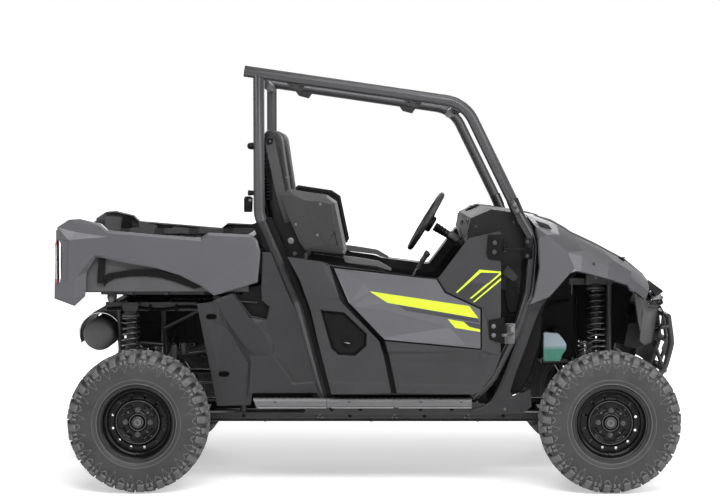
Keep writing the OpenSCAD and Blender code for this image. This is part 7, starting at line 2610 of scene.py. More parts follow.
def seat_sides():
    """Side shields of the seat bases, seen above the door line."""
    B = Build(M_GREYBAR)
    for s in (1, -1):
        top = [(-0.130, 1.049), (-0.084, 1.044), (0.033, 1.025), (0.092, 0.990), (0.086, 0.980), (0.020, 1.002), (-0.118, 1.018)]
        v, f = g_plate(rounded(top, 0.006, 3), *sorted((s * 0.541, s * 0.556)))
        B.add(v, f, M_GREYBAR)
        low = [(-0.270, 1.060), (-0.128, 1.040), (-0.112, 1.016), (0.020, 0.998), (0.070, 0.974), (0.056, 0.900), (-0.370, 0.900), (-0.330, 0.990)]
        v, f = g_plate(rounded(low, 0.010, 3), *sorted((s * 0.540, s * 0.549)))
        B.add(v, f, M_BLACK)
        for k in range(4):
            x = -0.24 + 0.07 * k
            v, f = g_box((x, min(s * 0.549, s * 0.553), 0.915), (x + 0.010, max(s * 0.549, s * 0.553), 0.985))
            B.add(v, f, M_BLACK)
    o = B.obj("seat_side_shields", bevel=0.0025, seg=2, angle=28)
    finish(o, "chassis", None)


def belts():
    B = Build(M_BELT)
    for s in (1, -1):
        # webbing from the guide on the roof hoop to the hip, slightly twisted
        pts = [(-0.458, 1.570, 0.0), (-0.440, 1.480, 0.10), (-0.405, 1.320, 0.05), (-0.366, 1.190, -0.05), (-0.330, 1.060, -0.08), (-0.308, 0.966, 0.0)]
        vs, fs = [], []
        P = smooth_path([Vector((x, 0, z)) for x, z, w in pts], 6)
        n = len(P)
        for i, p in enumerate(P):
            w = 0.022
            k = math.sin(i / n * math.pi * 2) * 0.0018
            d = (P[min(i + 1, n - 1)] - P[max(i - 1, 0)]).normalized()
            t = Vector((d.z, 0, -d.x))
            for a, b in ((-w, 0.5627), (w, 0.5627), (w, 0.5642), (-w, 0.5642)):
                q = p + t * a
                vs.append((q.x, s * (b + k), q.z))
        for i in range(n - 1):
            for j in range(4):
                a, b = i * 4 + j, i * 4 + (j + 1) % 4
                fs.append((a, b, b + 4, a + 4))
        fs += [(0, 1, 2, 3), (n * 4 - 4, n * 4 - 1, n * 4 - 2, n * 4 - 3)]
        B.add(vs, fs, M_BELT)
        # retractor case, its cover and the buckle plate
        plate_xz(B, M_BLACK, [(-0.573, 1.246), (-0.536, 1.246), (-0.534, 1.310), (-0.545, 1.317), (-0.568, 1.317), (-0.573, 1.305)], s * 0.560, s * 0.590, 0.006)
        ring(B, (-0.554, s * 0.588, 1.280), (-0.554, s * 0.5965, 1.280), 0.0155, M_BLACK, 28)
        bolt(B, (-0.545, s * 0.5905, 1.300), (0, s, 0), 0.005, 0.003, M_ZINC)
        plate_xz(B, M_ZINC, [(-0.326, 0.962), (-0.292, 0.972), (-0.300, 1.000), (-0.332, 0.992)], s * 0.5605, s * 0.5622, 0.003, 2)
        plate_xz(B, M_BLACK, [(-0.474, 1.548), (-0.444, 1.552), (-0.440, 1.578), (-0.470, 1.576)], s * 0.560, s * 0.5675, 0.005, 2)
        bolt(B, (-0.456, s * 0.5675, 1.564), (0, s, 0), 0.005, 0.002, M_ZINC, washer=False)
    o = B.obj("seat_belts_visual", bevel=0.0008, seg=1, angle=40)
    finish(o, "chassis", "seat_belts")


def tub():
    B = Build(M_BLACK)
    line = [(-0.532, 1.048), (-0.478, 0.752), (0.024, 0.752), (0.036, 0.708), (0.036, 0.400), (0.590, 0.400), (0.672, 0.548), (0.690, 0.868)]
    strip_sheet(B, M_BLACK, line, -0.545, 0.545, 0.006, 3)
    # floor mats with ribs
    for s in (1, -1):
        for i in range(12):
            y = s * (0.13 + i * 0.034)
            v, f = g_plate([(0.070, 0.403), (0.078, 0.4075), (0.560, 0.4075), (0.568, 0.403)], *sorted((y, y + s * 0.014)))
            B.add(v, f, M_BLACK)
        # foot rest bars on the slope
        for k in range(7):
            t = 0.12 + k * 0.12
            x, z = 0.590 + 0.082 * t, 0.400 + 0.148 * t
            v, f = g_tube([(x - 0.004, s * 0.14, z + 0.002), (x - 0.004, s * 0.50, z + 0.002)], 0.004, 10)
            B.add(v, f, M_BLACK)
        # riser grooves below the seat
        for k in range(8):
            y = s * (0.10 + 0.055 * k)
            v, f = g_box((0.0375, min(y, y + s * 0.010), 0.430), (0.0415, max(y, y + s * 0.010), 0.690))
            B.add(v, f, M_BLACK)
    # console with side panels and a cup ring
    cs = rounded([(0.042, 0.406), (0.232, 0.406), (0.232, 0.800), (0.200, 0.850), (0.042, 0.850)], 0.010, 3)
    v, f = g_plate(cs, -0.070, 0.070)
    B.add(v, f, M_PLASTIC)
    for s in (1, -1):
        plate_xz(B, M_PLASTIC, [(0.060, 0.44), (0.214, 0.44), (0.214, 0.780), (0.060, 0.780)], s * 0.070, s * 0.0735, 0.02, 4)
    for x in (0.078,):
        v, f = g_lathe([(0.030, 0.0), (0.036, 0.0), (0.037, 0.004), (0.034, 0.007), (0.030, 0.006)], 36, close=True)
        B.add(v, f, M_BLACK, M=Matrix.Translation((x, 0, 0.8495)) @ Matrix.Rotation(math.radians(90), 4, "X"))
    # shift gate plate
    v, f = g_box((0.125, -0.030, 0.849), (0.205, 0.030, 0.853))
    B.add(v, f, M_BLACK)
    o = B.obj("floor_tub_visual", bevel=0.0022, seg=2, angle=30)
    finish(o, "chassis", "floor_tub")


M_DASH = mat("dash_plastic", (0.008, 0.008, 0.0085), rough=0.5, vary=0.1, scale=6, grain=0.35, grain_scale=800, spec=0.12)


def dash():
    B = Build(M_DASH)
    line = [(0.692, 1.230), (0.541, 1.254), (0.450, 1.216), (0.434, 1.148), (0.484, 1.008), (0.562, 0.908), (0.668, 0.884)]
    # thick moulded face, split by grooves into panels
    cuts = [-0.572, -0.470, -0.464, -0.196, -0.190, 0.060, 0.066, 0.205, 0.211, 0.455, 0.461, 0.572]
    for a, b in zip(cuts[:-1], cuts[1:]):
        if b - a < 0.01:
            strip_sheet(B, M_BLACK, line, a, b, 0.005)
        else:
            strip_sheet(B, M_DASH, line, a, b, 0.010, 3)
    # ends that return to the body
    for s in (1, -1):
        plate_xz(B, M_DASH, [(0.690, 1.226), (0.541, 1.250), (0.452, 1.214), (0.437, 1.148), (0.486, 1.011), (0.564, 0.912), (0.666, 0.890)], s * 0.5665, s * 0.5725, 0.006, 2)
        # light diagonal trim and an oval grommet on the end
        vv = [(0.5888, 0.9697), (0.6129, 1.0079), (0.659, 0.9547), (0.641, 0.9336)]
        plate_xz(B, M_DOOR, vv, s * 0.572, s * 0.5760, 0.003, 2)
        vv = [(0.6068, 0.9497), (0.6289, 0.9677), (0.655, 0.9296), (0.665, 0.8593), (0.649, 0.7971), (0.6189, 0.7971), (0.6008, 0.8694)]
        plate_xz(B, M_BLACK, vv, s * 0.572, s * 0.5755, 0.010, 3)
    # instrument pod behind the wheel
    c = Vector((0.500, 0.330, 1.210))
    w = Matrix.Translation(c) @ Matrix.Rotation(math.radians(-52), 4, "Y")
    v, f = g_box((-0.006, -0.088, -0.044), (0.030, 0.088, 0.034))
    B.add([w @ Vector(p) for p in v], f, M_BLACK)
    for yy, rr in ((-0.030, 0.030), (0.044, 0.020)):
        v, f = g_lathe([(rr, 0.0), (rr + 0.003, 0.0), (rr + 0.003, 0.006), (rr, 0.006)], 36, close=True)
        B.add(v, f, M_ZINC, M=w @ Matrix.Translation((-0.006, yy, 0.0)) @ Matrix.Rotation(math.radians(90), 4, "Z"))
        v, f = g_lathe([(0.0, 0.002), (rr, 0.002), (rr, 0.0), (0.0, 0.0)], 36)
        B.add(v, f, M_LENS, M=w @ Matrix.Translation((-0.006, yy, 0.0)) @ Matrix.Rotation(math.radians(90), 4, "Z"))
    for y in (0.255, 0.405):
        p = smooth_path([Vector((0.560, y, 1.236)), Vector((0.505, y, 1.236)), Vector((0.470, y, 1.218)), Vector((0.452, y, 1.180))], 5)
        v, f = g_tube(p, 0.010, 14)
        B.add(v, f, M_DOOR)
    v, f = g_plate(rounded([(0.548, 1.250), (0.520, 1.262), (0.470, 1.240), (0.452, 1.205), (0.470, 1.190), (0.548, 1.215)], 0.008, 3), 0.250, 0.410)
    B.add(v, f, M_DASH)
    # switch bank, vents, glove box, grab bar
    for k in range(5):
        y = -0.02 + k * 0.034 + 0.02
        v, f = g_box((0.433, y - 0.012, 1.160), (0.446, y + 0.012, 1.190))
        B.add(v, f, M_BLACK)
    for y in (-0.42, -0.26, 0.52):
        for k in range(5):
            z = 1.165 + k * 0.010
            v, f = g_box((0.436, y - 0.040, z), (0.446, y + 0.040, z + 0.004))
            B.add(v, f, M_BLACK)
    plate = [(-0.420, 1.030), (-0.210, 1.030), (-0.200, 1.120), (-0.430, 1.120)]
    vs = []
    for y, z in plate:
        x = 0.434 + (1.148 - z) / 0.14 * 0.050
        vs.append((x - 0.010, y, z))
    vs += [(x + 0.006, y, z) for x, y, z in vs]
    B.add(vs, [(0, 1, 2, 3), (7, 6, 5, 4), (0, 4, 5, 1), (1, 5, 6, 2), (2, 6, 7, 3), (3, 7, 4, 0)], M_DOOR)
    # top pad seam and screws
    for y in (-0.50, -0.25, 0.0, 0.25, 0.50):
        screw(B, (0.600, y, 1.2495), (0, 0, 1), 0.006)
    for s in (1, -1):
        for x, z in ((0.470, 1.180), (0.520, 1.000), (0.640, 0.920), (0.640, 1.200)):
            screw(B, (x, s * 0.5725, z), (0, s, 0), 0.006)
    o = B.obj("dashboard_visual", bevel=0.0022, seg=2, angle=28)
    finish(o, "chassis", "dashboard")
    # kick panels between the door opening and the dash ends
    K = Build(M_DOOR)
    for s in (1, -1):
        vv = [(0.452, 1.216), (0.541, 1.250), (0.690, 1.226), (0.690, 0.880), (0.672, 0.560), (0.600, 0.420), (0.560, 0.420), (0.560, 0.910), (0.486, 1.010), (0.437, 1.148)]
        v, f = g_plate(vv, *sorted((s * 0.549, s * 0.556)))
        K.add(v, f, M_BLACK)
        for k in range(6):
            z = 0.50 + k * 0.055
            v, f = g_box((0.585, min(s * 0.556, s * 0.560), z), (0.655, max(s * 0.556, s * 0.560), z + 0.012))
            K.add(v, f, M_BLACK)
    o = K.obj("kick_panels", bevel=0.002, seg=2, angle=28)
    finish(o, "chassis", None)


def controls():
    B = Build(M_BLACK)
    for y in (0.250, 0.370):
        v, f = g_tube(smooth_path([(0.562, y, 0.560), (0.578, y, 0.650), (0.604, y, 0.760), (0.610, y, 0.856)], 5), 0.0068, 16)
        B.add(v, f, M_FRAME)
        M = Matrix.Translation((0.552, y, 0.508)) @ Matrix.Rotation(math.radians(8), 4, "Y")
        v, f = g_box((0.001, -0.027, 0.002), (0.009, 0.027, 0.078))
        B.add(v, f, M_FRAME, M=M)
        for k in range(6):
            v, f = g_box((-0.002, -0.024, 0.008 + k * 0.012), (0.002, 0.024, 0.014 + k * 0.012))
            B.add(v, f, M_BLACK, M=M)
    # shift lever: shank, boot and a leaning grip
    v, f = g_tube(smooth_path([(0.166, 0, 0.857), (0.188, 0, 0.900), (0.212, 0, 0.945), (0.230, 0, 0.975)], 5), 0.0068, 18)
    B.add(v, f, M_ROD)
    bellows(B, (0.162, 0, 0.853), (0.184, 0, 0.892), 0.022, 0.0105, 4, M_BLACK, 0.0015)
    v, f = g_tube(smooth_path([(0.222, 0, 0.960), (0.240, 0, 0.990), (0.258, 0, 1.016), (0.270, 0, 1.034), (0.276, 0, 1.040)], 5), [0.0095] * 6 + [0.0125] * 6 + [0.0150] * 5 + [0.0145, 0.0125, 0.009, 0.004], 24)
    B.add(v, f, M_GRIP)
    o = B.obj("driver_controls_visual", bevel=0.0010, seg=1, angle=40)
    finish(o, "chassis", "driver_controls")


def wheel_steer():
    B = Build(M_GRIP)
    M = Matrix.Translation((0.272, 0.330, 1.176)) @ Matrix.Rotation(math.radians(-58.76), 4, "Y")
    R = 0.151
    k = 96
    vs, fs = [], []
    m = 18
    for i in range(k):
        a = 2 * math.pi * i / k
        # grips are a little thicker at the sides, with finger waves
        g = 1.0 + 0.06 * max(0, math.cos(2 * (a - math.pi / 2))) + (0.035 * math.sin(a * 14) if abs(math.cos(a)) < 0.62 else 0)
        for j in range(m):
            b = 2 * math.pi * j / m
            r = 0.0132 * g
            rr = R + r * math.cos(b)
            vs.append(M @ Vector((rr * math.cos(a), rr * math.sin(a), r * math.sin(b))))
    for i in range(k):
        for j in range(m):
            fs.append((i * m + j, ((i + 1) % k) * m + j, ((i + 1) % k) * m + (j + 1) % m, i * m + (j + 1) % m))
    B.add(vs, fs, M_GRIP)
    # hub with a soft cover, spokes
    v, f = g_lathe([(0.0, -0.006), (0.030, -0.0065), (0.0395, -0.010), (0.0415, -0.016), (0.0415, -0.034), (0.036, -0.040), (0.0, -0.040)], 40)
    B.add(v, f, M_BLACK, M=M @ Matrix.Rotation(math.radians(90), 4, "X") @ Matrix.Identity(4))
    for a in (0, 110, 250):
        T = M @ Matrix.Rotation(math.radians(a), 4, "Z")
        vs = []
        prof = [(0.018, 0.020, -0.027, -0.018), (0.060, 0.0135, -0.020, -0.012), (0.105, 0.0115, -0.010, -0.003), (0.146, 0.0125, -0.004, 0.004)]
        for x, w, z0, z1 in prof:
            vs += [T @ Vector((x, -w, z0)), T @ Vector((x, w, z0)), T @ Vector((x, w * 0.8, z1)), T @ Vector((x, -w * 0.8, z1))]
        fs = []
        for i in range(len(prof) - 1):
            for j in range(4):
                p, q = i * 4 + j, i * 4 + (j + 1) % 4
                fs.append((p, q, q + 4, p + 4))
        fs += [(3, 2, 1, 0), (len(prof) * 4 - 4, len(prof) * 4 - 3, len(prof) * 4 - 2, len(prof) * 4 - 1)]
        B.add(vs, fs, M_BLACK)
    o = B.obj("steering_wheel_visual", bevel=0.0012, seg=2, angle=40)
    finish(o, "steering_wheel", "steering_wheel")


seats()
bolsters()
seat_sides()
belts()
tub()
dash()
controls()
wheel_steer()

# ------------------------------------------------------------------ engine, bottle, liners and lines


def engine():
    B = Build(M_ENGINE)
    # crankcase
    v, f = g_plate(rounded([(-0.690, 0.390), (-0.640, 0.358), (-0.400, 0.358), (-0.345, 0.395), (-0.345, 0.500), (-0.400, 0.545), (-0.640, 0.545), (-0.690, 0.500)], 0.020, 4), -0.150, 0.130)
    B.add(v, f, M_ENGINE)
    for k in range(7):
        x = -0.655 + k * 0.045
        v, f = g_plate([(x, 0.3545), (x + 0.005, 0.3545), (x + 0.005, 0.5485), (x, 0.5485)], -0.148, 0.128)
        B.add(v, f, M_ENGINE)
    # side covers with bolts
    for s, y0, y1 in ((1, 0.128, 0.176), (-1, -0.150, -0.162)):
        o = rounded([(-0.665, 0.430), (-0.615, 0.376), (-0.430, 0.376), (-0.372, 0.430), (-0.372, 0.490), (-0.430, 0.530), (-0.615, 0.530), (-0.665, 0.490)], 0.025, 4)
        v, f = g_plate(o, *sorted((y0, y1)))
        B.add(v, f, M_CAST)
        for p in o[::5]:
            c = Vector((p[0], 0, p[1]))
            q = Vector((-0.518, 0, 0.453))
            c = c.lerp(q, 0.09)
            bolt(B, (c.x, y1, c.z), (0, s, 0), 0.0055, 0.004, M_BOLT, washer=False)
    # belt housing on the right side, with ribs and a duct
    o = rounded([(-0.690, 0.470), (-0.640, 0.392), (-0.540, 0.376), (-0.450, 0.400), (-0.372, 0.440), (-0.350, 0.510), (-0.392, 0.575), (-0.480, 0.590), (-0.600, 0.612), (-0.668, 0.570)], 0.030, 4)
    v, f = g_plate(o, -0.200, -0.160)
    B.add(v, f, M_BLACK)
    for cx, cz, r in ((-0.590, 0.492, 0.075), (-0.440, 0.500, 0.058)):
        for k in range(12):
            a = 2 * math.pi * k / 12
            v, f = g_tube([(cx + 0.02 * math.cos(a), -0.2005, cz + 0.02 * math.sin(a)), (cx + r * math.cos(a), -0.2005, cz + r * math.sin(a))], 0.0026, 6)
            B.add(v, f, M_BLACK)
        v, f = g_tube([(cx + r * math.cos(2 * math.pi * k / 40), -0.2005, cz + r * math.sin(2 * math.pi * k / 40)) for k in range(40)], 0.0028, 6, closed=True)
        B.add(v, f, M_BLACK)
    p = smooth_path([(-0.600, -0.180, 0.600), (-0.612, -0.172, 0.640), (-0.590, -0.150, 0.680), (-0.540, -0.130, 0.700)], 5)
    bellows_path(B, p, 0.026, M_BLACK)
    # two finned cylinders leaning back, heads and covers
    for y in (-0.062, 0.062):
        for k in range(9):
            z = 0.548 + k * 0.0112
            x = -0.500 - k * 0.002
            v, f = g_plate(rounded([(x - 0.072, z), (x + 0.072, z), (x + 0.072, z + 0.0045), (x - 0.072, z + 0.0045)], 0.001, 1), y - 0.056, y + 0.056)
            B.add(v, f, M_ENGINE)
        v, f = g_cyl((-0.500, y, 0.540), (-0.518, y, 0.652), 0.048, 36)
        B.add(v, f, M_ENGINE)
    v, f = g_plate(rounded([(-0.602, 0.648), (-0.430, 0.648), (-0.425, 0.690), (-0.450, 0.716), (-0.580, 0.716), (-0.606, 0.690)], 0.010, 3), -0.128, 0.128)
    B.add(v, f, M_ENGINE)
    for y in (-0.114, -0.04, 0.04, 0.114):
        for x in (-0.588, -0.442):
            bolt(B, (x, y, 0.7155), (0, 0, 1), 0.0055, 0.004, M_BOLT, washer=False)
    v, f = g_plate(rounded([(-0.575, 0.7155), (-0.455, 0.7155), (-0.462, 0.7275), (-0.568, 0.7275)], 0.004, 2), -0.100, 0.100)
    B.add(v, f, M_BLACK)
    # inlet, throttle body, filter and exhaust port pipes
    p = smooth_path([(-0.430, 0.030, 0.670), (-0.400, 0.030, 0.676), (-0.372, 0.030, 0.690), (-0.350, 0.030, 0.706)], 5)
    v, f = g_tube(p, 0.024, 24)
    B.add(v, f, M_CAST)
    for t in (0.2, 0.7):
        c = p[int(t * (len(p) - 1))]
        v, f = g_tube([c, p[int(t * (len(p) - 1)) + 1]], 0.0262, 24)
        B.add(v, f, M_ZINC)
    for y in (-0.05, 0.05):
        p = smooth_path([(-0.600, y, 0.670), (-0.640, y, 0.668), (-0.672, y * 1.4, 0.650), (-0.690, 0.085, 0.610)], 5)
        v, f = g_tube(p, 0.0165, 22)
        B.add(v, f, M_EXH)
    ring(B, (-0.520, 0.120, 0.420), (-0.520, 0.190, 0.420), 0.036, M_BLACK, 32, 0.004)
    ring(B, (-0.430, 0.160, 0.500), (-0.430, 0.186, 0.500), 0.020, M_CAST, 28, 0.003)
    # mounts down to the ladder level
    for x in (-0.640, -0.400):
        for s in (1, -1):
            v, f = g_plate(rounded([(x - 0.022, 0.357), (x + 0.022, 0.357), (x + 0.018, 0.420), (x - 0.018, 0.420)], 0.004, 2), *sorted((s * 0.140, s * 0.188)))
            B.add(v, f, M_FRAME)
    # leads and hoses
    for y0, pts in ((0, [(-0.470, 0.062, 0.720), (-0.440, 0.090, 0.727), (-0.390, 0.120, 0.700), (-0.360, 0.140, 0.620), (-0.365, 0.150, 0.540)]),
                    (0, [(-0.560, 0.062, 0.720), (-0.600, 0.100, 0.716), (-0.650, 0.140, 0.660), (-0.670, 0.160, 0.560)]),
                    (0, [(-0.560, -0.140, 0.560), (-0.500, -0.170, 0.640), (-0.420, -0.170, 0.660), (-0.360, -0.150, 0.600)])):
        v, f = g_tube(smooth_path(pts, 6), 0.0062, 12)
        B.add(v, f, M_BLACK)
    o = B.obj("engine_block_visual", bevel=0.0016, seg=1, angle=40)
    finish(o, "chassis", "engine_block")


def bellows_path(B, p, r, m):
    out, rr = [], []
    n = len(p)
    k = n * 4
    for i in range(k):
        t = i / (k - 1) * (n - 1)
        j = min(int(t), n - 2)
        out.append(Vector(p[j]).lerp(Vector(p[j + 1]), t - j))
        rr.append(r + 0.0022 * math.cos(i * math.pi / 2) - 0.0022)
    v, f = g_tube(out, rr, 24)
    B.add(v, f, m)


def bottle():
    B = Build(M_BOTTLE)
    y0, y1 = -0.393, -0.312
    o = [(0.792, 0.551), (0.868, 0.551), (0.878, 0.585), (0.895, 0.606), (0.897, 0.634), (0.880, 0.660), (0.858, 0.684), (0.792, 0.688)]
    v, f = g_plate(rounded(o, 0.008, 4), y0, y1)
    B.add(v, f, M_BOTTLE)
    # level moulding, ribs and cap
    v, f = g_plate([(0.794, 0.622), (0.884, 0.622), (0.884, 0.6245), (0.794, 0.6245)], y0 - 0.0012, y1 + 0.0012)
    B.add(v, f, M_BOTTLE)
    for x in (0.812, 0.848):
        v, f = g_box((x, y0 - 0.0015, 0.562), (x + 0.003, y0 + 0.002, 0.610))
        B.add(v, f, M_BOTTLE)
    v, f = g_lathe([(0.0, 0.0), (0.021, 0.0), (0.0215, 0.004), (0.0215, 0.016), (0.018, 0.019), (0.0, 0.0195)], 32)
    B.add(v, f, M_BLACK, M=Matrix.Translation((0.845, -0.352, 0.6865)) @ Matrix.Rotation(math.radians(90), 4, "X"))
    o = B.obj("coolant_bottle_visual", bevel=0.0035, seg=3, angle=30)
    finish(o, "chassis", "coolant_bottle")


def sheet_xz(B, m, path, y0, y1, t=0.004):
    strip_sheet(B, m, path, *sorted((y0, y1)), t, 2)


def liners():
    B = Build(M_BLACK)
    for s in (1, -1):
        # curved splash guard behind the front wheel
        path = [(0.600, 0.420), (0.634, 0.430), (0.672, 0.448), (0.702, 0.498), (0.736, 0.580), (0.757, 0.662), (0.766, 0.760), (0.792, 0.848)]
        P = smooth_path([Vector((x, 0, z)) for x, z in path], 4)
        sheet_xz(B, M_BLACK, [(p.x, p.z) for p in P], s * 0.600, s * 0.400)
        # plate in line with the lower moulding that closes the wheel house
        vv = [(0.700, 0.800), (0.732, 0.842), (0.792, 0.862), (0.768, 0.790), (0.757, 0.662), (0.706, 0.500), (0.672, 0.440), (0.640, 0.424), (0.598, 0.414), (0.640, 0.520), (0.690, 0.660)]
        v, f = g_plate(vv, *sorted((s * 0.592, s * 0.597)))
        B.add(v, f, M_BLACK)
        # inner splash panel between cowl and tower
        vv = [(0.700, 0.560), (0.945, 0.560), (0.952, 0.700), (0.950, 0.970), (0.930, 1.010), (0.830, 1.040), (0.740, 1.060), (0.700, 1.060)]
        v, f = g_plate(rounded(vv, 0.02, 3), *sorted((s * 0.300, s * 0.304)))
        B.add(v, f, M_BLACK)
        for k in range(5):
            z = 0.600 + k * 0.055
            v, f = g_box((0.715, min(s * 0.304, s * 0.308), z), (0.780, max(s * 0.304, s * 0.308), z + 0.014))
            B.add(v, f, M_BLACK)
        # inner apron behind the spring, with pressed ribs
        vv = [(0.930, 0.640), (1.185, 0.620), (1.195, 0.800), (1.225, 0.862), (1.205, 0.905), (1.140, 0.938), (1.060, 0.958), (0.930, 0.985)]
        v, f = g_plate(rounded(vv, 0.015, 3), *sorted((s * 0.236, s * 0.240)))
        B.add(v, f, M_BLACK)
        for k in range(5):
            v, f = g_box((0.955 + 0.034 * k, min(s * 0.240, s * 0.2425), 0.665), (0.967 + 0.034 * k, max(s * 0.240, s * 0.2425), 0.885))
            B.add(v, f, M_BLACK)
        # cowl closing panel up to the hood
        vv = [(0.700, 1.060), (0.700, 1.200), (0.735, 1.176), (0.900, 1.105), (0.980, 1.055), (0.980, 0.990), (0.900, 0.960)]
        v, f = g_plate(vv, *sorted((s * 0.400, s * 0.404)))
        B.add(v, f, M_BLACK)
        # under-fender ledge above the shock
        sheet_xz(B, M_BLACK, [(0.880, 0.985), (0.930, 0.988), (1.046, 0.958), (1.130, 0.922), (1.200, 0.872)], s * 0.690, s * 0.330)
        # brake line along the upper arm with a loop at the wheel
        p = smooth_path([Vector(q) for q in ((0.930, s * 0.310, 0.640), (0.960, s * 0.350, 0.560), (0.990, s * 0.440, 0.500), (1.020, s * 0.520, 0.470), (1.050, s * 0.560, 0.450))], 6)
        v, f = g_tube(p, 0.0042, 10)
        B.add(v, f, M_BLACK)
        # loom down the tower
        p = smooth_path([Vector(q) for q in ((0.940, s * 0.312, 0.898), (0.950, s * 0.322, 0.830), (0.944, s * 0.306, 0.720), (0.952, s * 0.290, 0.600), (0.944, s * 0.262, 0.480))], 6)
        v, f = g_tube(p, 0.0065, 10)
        B.add(v, f, M_BLACK)
        # shock tower cross plates
        v, f = g_plate(rounded([(0.985, 0.905), (1.078, 0.905), (1.072, 0.958), (1.052, 0.968), (1.010, 0.968), (0.992, 0.955)], 0.008, 3), *sorted((s * 0.318, s * 0.323)))
        B.add(v, f, M_FRAME)
        v, f = g_plate(rounded([(0.985, 0.905), (1.078, 0.905), (1.072, 0.958), (1.052, 0.968), (1.010, 0.968), (0.992, 0.955)], 0.008, 3), *sorted((s * 0.364, s * 0.369)))
        B.add(v, f, M_FRAME)
    # radiator behind the grille and its hoses
    v, f = g_plate([(1.205, 0.560), (1.232, 0.560), (1.262, 0.800), (1.235, 0.800)], -0.250, 0.250)
    B.add(v, f, M_BLACK)
    for k in range(20):
        z = 0.566 + k * 0.0118
        x = 1.206 + (z - 0.560) * 0.125
        v, f = g_box((x - 0.0015, -0.235, z), (x + 0.030, 0.235, z + 0.004))
        B.add(v, f, M_CAST)
    for y in (-0.2, 0.2):
        p = smooth_path([Vector(q) for q in ((1.225, y, 0.76), (1.170, y, 0.80), (1.130, y * 0.8, 0.78), (1.128, y * 0.8, 0.62), (1.130, y * 0.7, 0.42))], 6)
        v, f = g_tube(p, 0.017, 18)
        B.add(v, f, M_BLACK)
    # bottle hose
    p = smooth_path([Vector(q) for q in ((0.800, -0.352, 0.690), (0.790, -0.350, 0.730), (0.810, -0.340, 0.790), (0.860, -0.330, 0.820), (0.915, -0.318, 0.830))], 6)
    v, f = g_tube(p, 0.0048, 10)
    B.add(v, f, M_BLACK)
    o = B.obj("front_liners", bevel=0.0012, seg=1, angle=40)
    finish(o, "chassis", None)
    # rear bay
    R = Build(M_BLACK)
    for s in (1, -1):
        # guard ahead of the rear wheel
        path = [(-0.548, 0.410), (-0.640, 0.416), (-0.668, 0.500), (-0.700, 0.620), (-0.742, 0.740), (-0.786, 0.838)]
        P = smooth_path([Vector((x, 0, z)) for x, z in path], 4)
        sheet_xz(R, M_BLACK, [(p.x, p.z) for p in P], s * 0.598, s * 0.300)
        v, f = g_plate(rounded([(-0.560, 0.430), (-0.655, 0.440), (-0.712, 0.640), (-0.780, 0.830), (-0.560, 0.830)], 0.01, 2), *sorted((s * 0.362, s * 0.366)))
        R.add(v, f, M_BLACK)
        # hardware between frame and bed: loom, clips, cross tubes
        p = smooth_path([Vector(q) for q in ((-1.220, s * 0.356, 0.792), (-1.100, s * 0.362, 0.800), (-0.980, s * 0.358, 0.790), (-0.860, s * 0.364, 0.802), (-0.740, s * 0.358, 0.795), (-0.600, s * 0.362, 0.800))], 6)
        v, f = g_tube(p, 0.0070, 10)
        R.add(v, f, M_BLACK)
        for x in (-1.15, -1.02, -0.90, -0.78, -0.66):
            v, f = g_box((x - 0.006, min(s * 0.349, s * 0.372), 0.784), (x + 0.006, max(s * 0.349, s * 0.372), 0.812))
            R.add(v, f, M_BLACK)
        # shock mount cheeks and stiffeners
        for yy in (0.352, 0.396):
            v, f = g_plate(rounded([(-1.150, 0.826), (-1.068, 0.826), (-1.074, 0.790), (-1.088, 0.780), (-1.126, 0.780), (-1.142, 0.792)], 0.006, 2), *sorted((s * yy, s * (yy + 0.004))))
            R.add(v, f, M_FRAME)
        # grey canister pair and bracket rod
        v, f = g_cyl((-0.905, s * 0.395, 0.560), (-0.905, s * 0.395, 0.632), 0.0140, 24, ch=0.005)
        R.add(v, f, M_CAST)
        v, f = g_cyl((-0.862, s * 0.395, 0.585), (-0.862, s * 0.395, 0.640), 0.0130, 24, ch=0.005)
        R.add(v, f, M_CAST)
        v, f = g_plate(rounded([(-0.925, 0.570), (-0.842, 0.584), (-0.842, 0.600), (-0.925, 0.590)], 0.003, 2), *sorted((s * 0.372, s * 0.3815)))
        R.add(v, f, M_FRAME)
        v, f = g_tube([(-0.842, s * 0.380, 0.590), (-0.700, s * 0.366, 0.610)], 0.006, 12)
        R.add(v, f, M_FRAME)
        v, f = g_tube([(-0.960, s * 0.270, 0.560), (-0.925, s * 0.376, 0.582)], 0.006, 12)
        R.add(v, f, M_FRAME)
        # brace from the rear tower to the rail, stabiliser link
        v, f = g_tube([(-0.960, s * 0.316, 0.700), (-0.790, s * 0.330, 0.790)], 0.0100, 16)
        R.add(v, f, M_FRAME)
        v, f = g_tube([(-1.164, s * 0.300, 0.640), (-0.960, s * 0.290, 0.620)], 0.0110, 16)
        R.add(v, f, M_FRAME)
        v, f = g_tube([(-0.960, s * 0.240, 0.440), (-0.600, s * 0.230, 0.440)], 0.0110, 16)
        R.add(v, f, M_FRAME)
        # brake line
        p = smooth_path([Vector(q) for q in ((-0.900, s * 0.320, 0.700), (-0.935, s * 0.350, 0.600), (-0.975, s * 0.430, 0.520), (-1.010, s * 0.500, 0.470), (-1.030, s * 0.545, 0.420))], 6)
        v, f = g_tube(p, 0.0042, 10)
        R.add(v, f, M_BLACK)
        # spring clip loops
        p = smooth_path([Vector(q) for q in ((-0.884, s * 0.399, 0.560), (-0.890, s * 0.404, 0.535), (-0.876, s * 0.404, 0.518), (-0.862, s * 0.402, 0.532))], 5)
        v, f = g_tube(p, 0.0026, 8)
        R.add(v, f, M_ZINC)
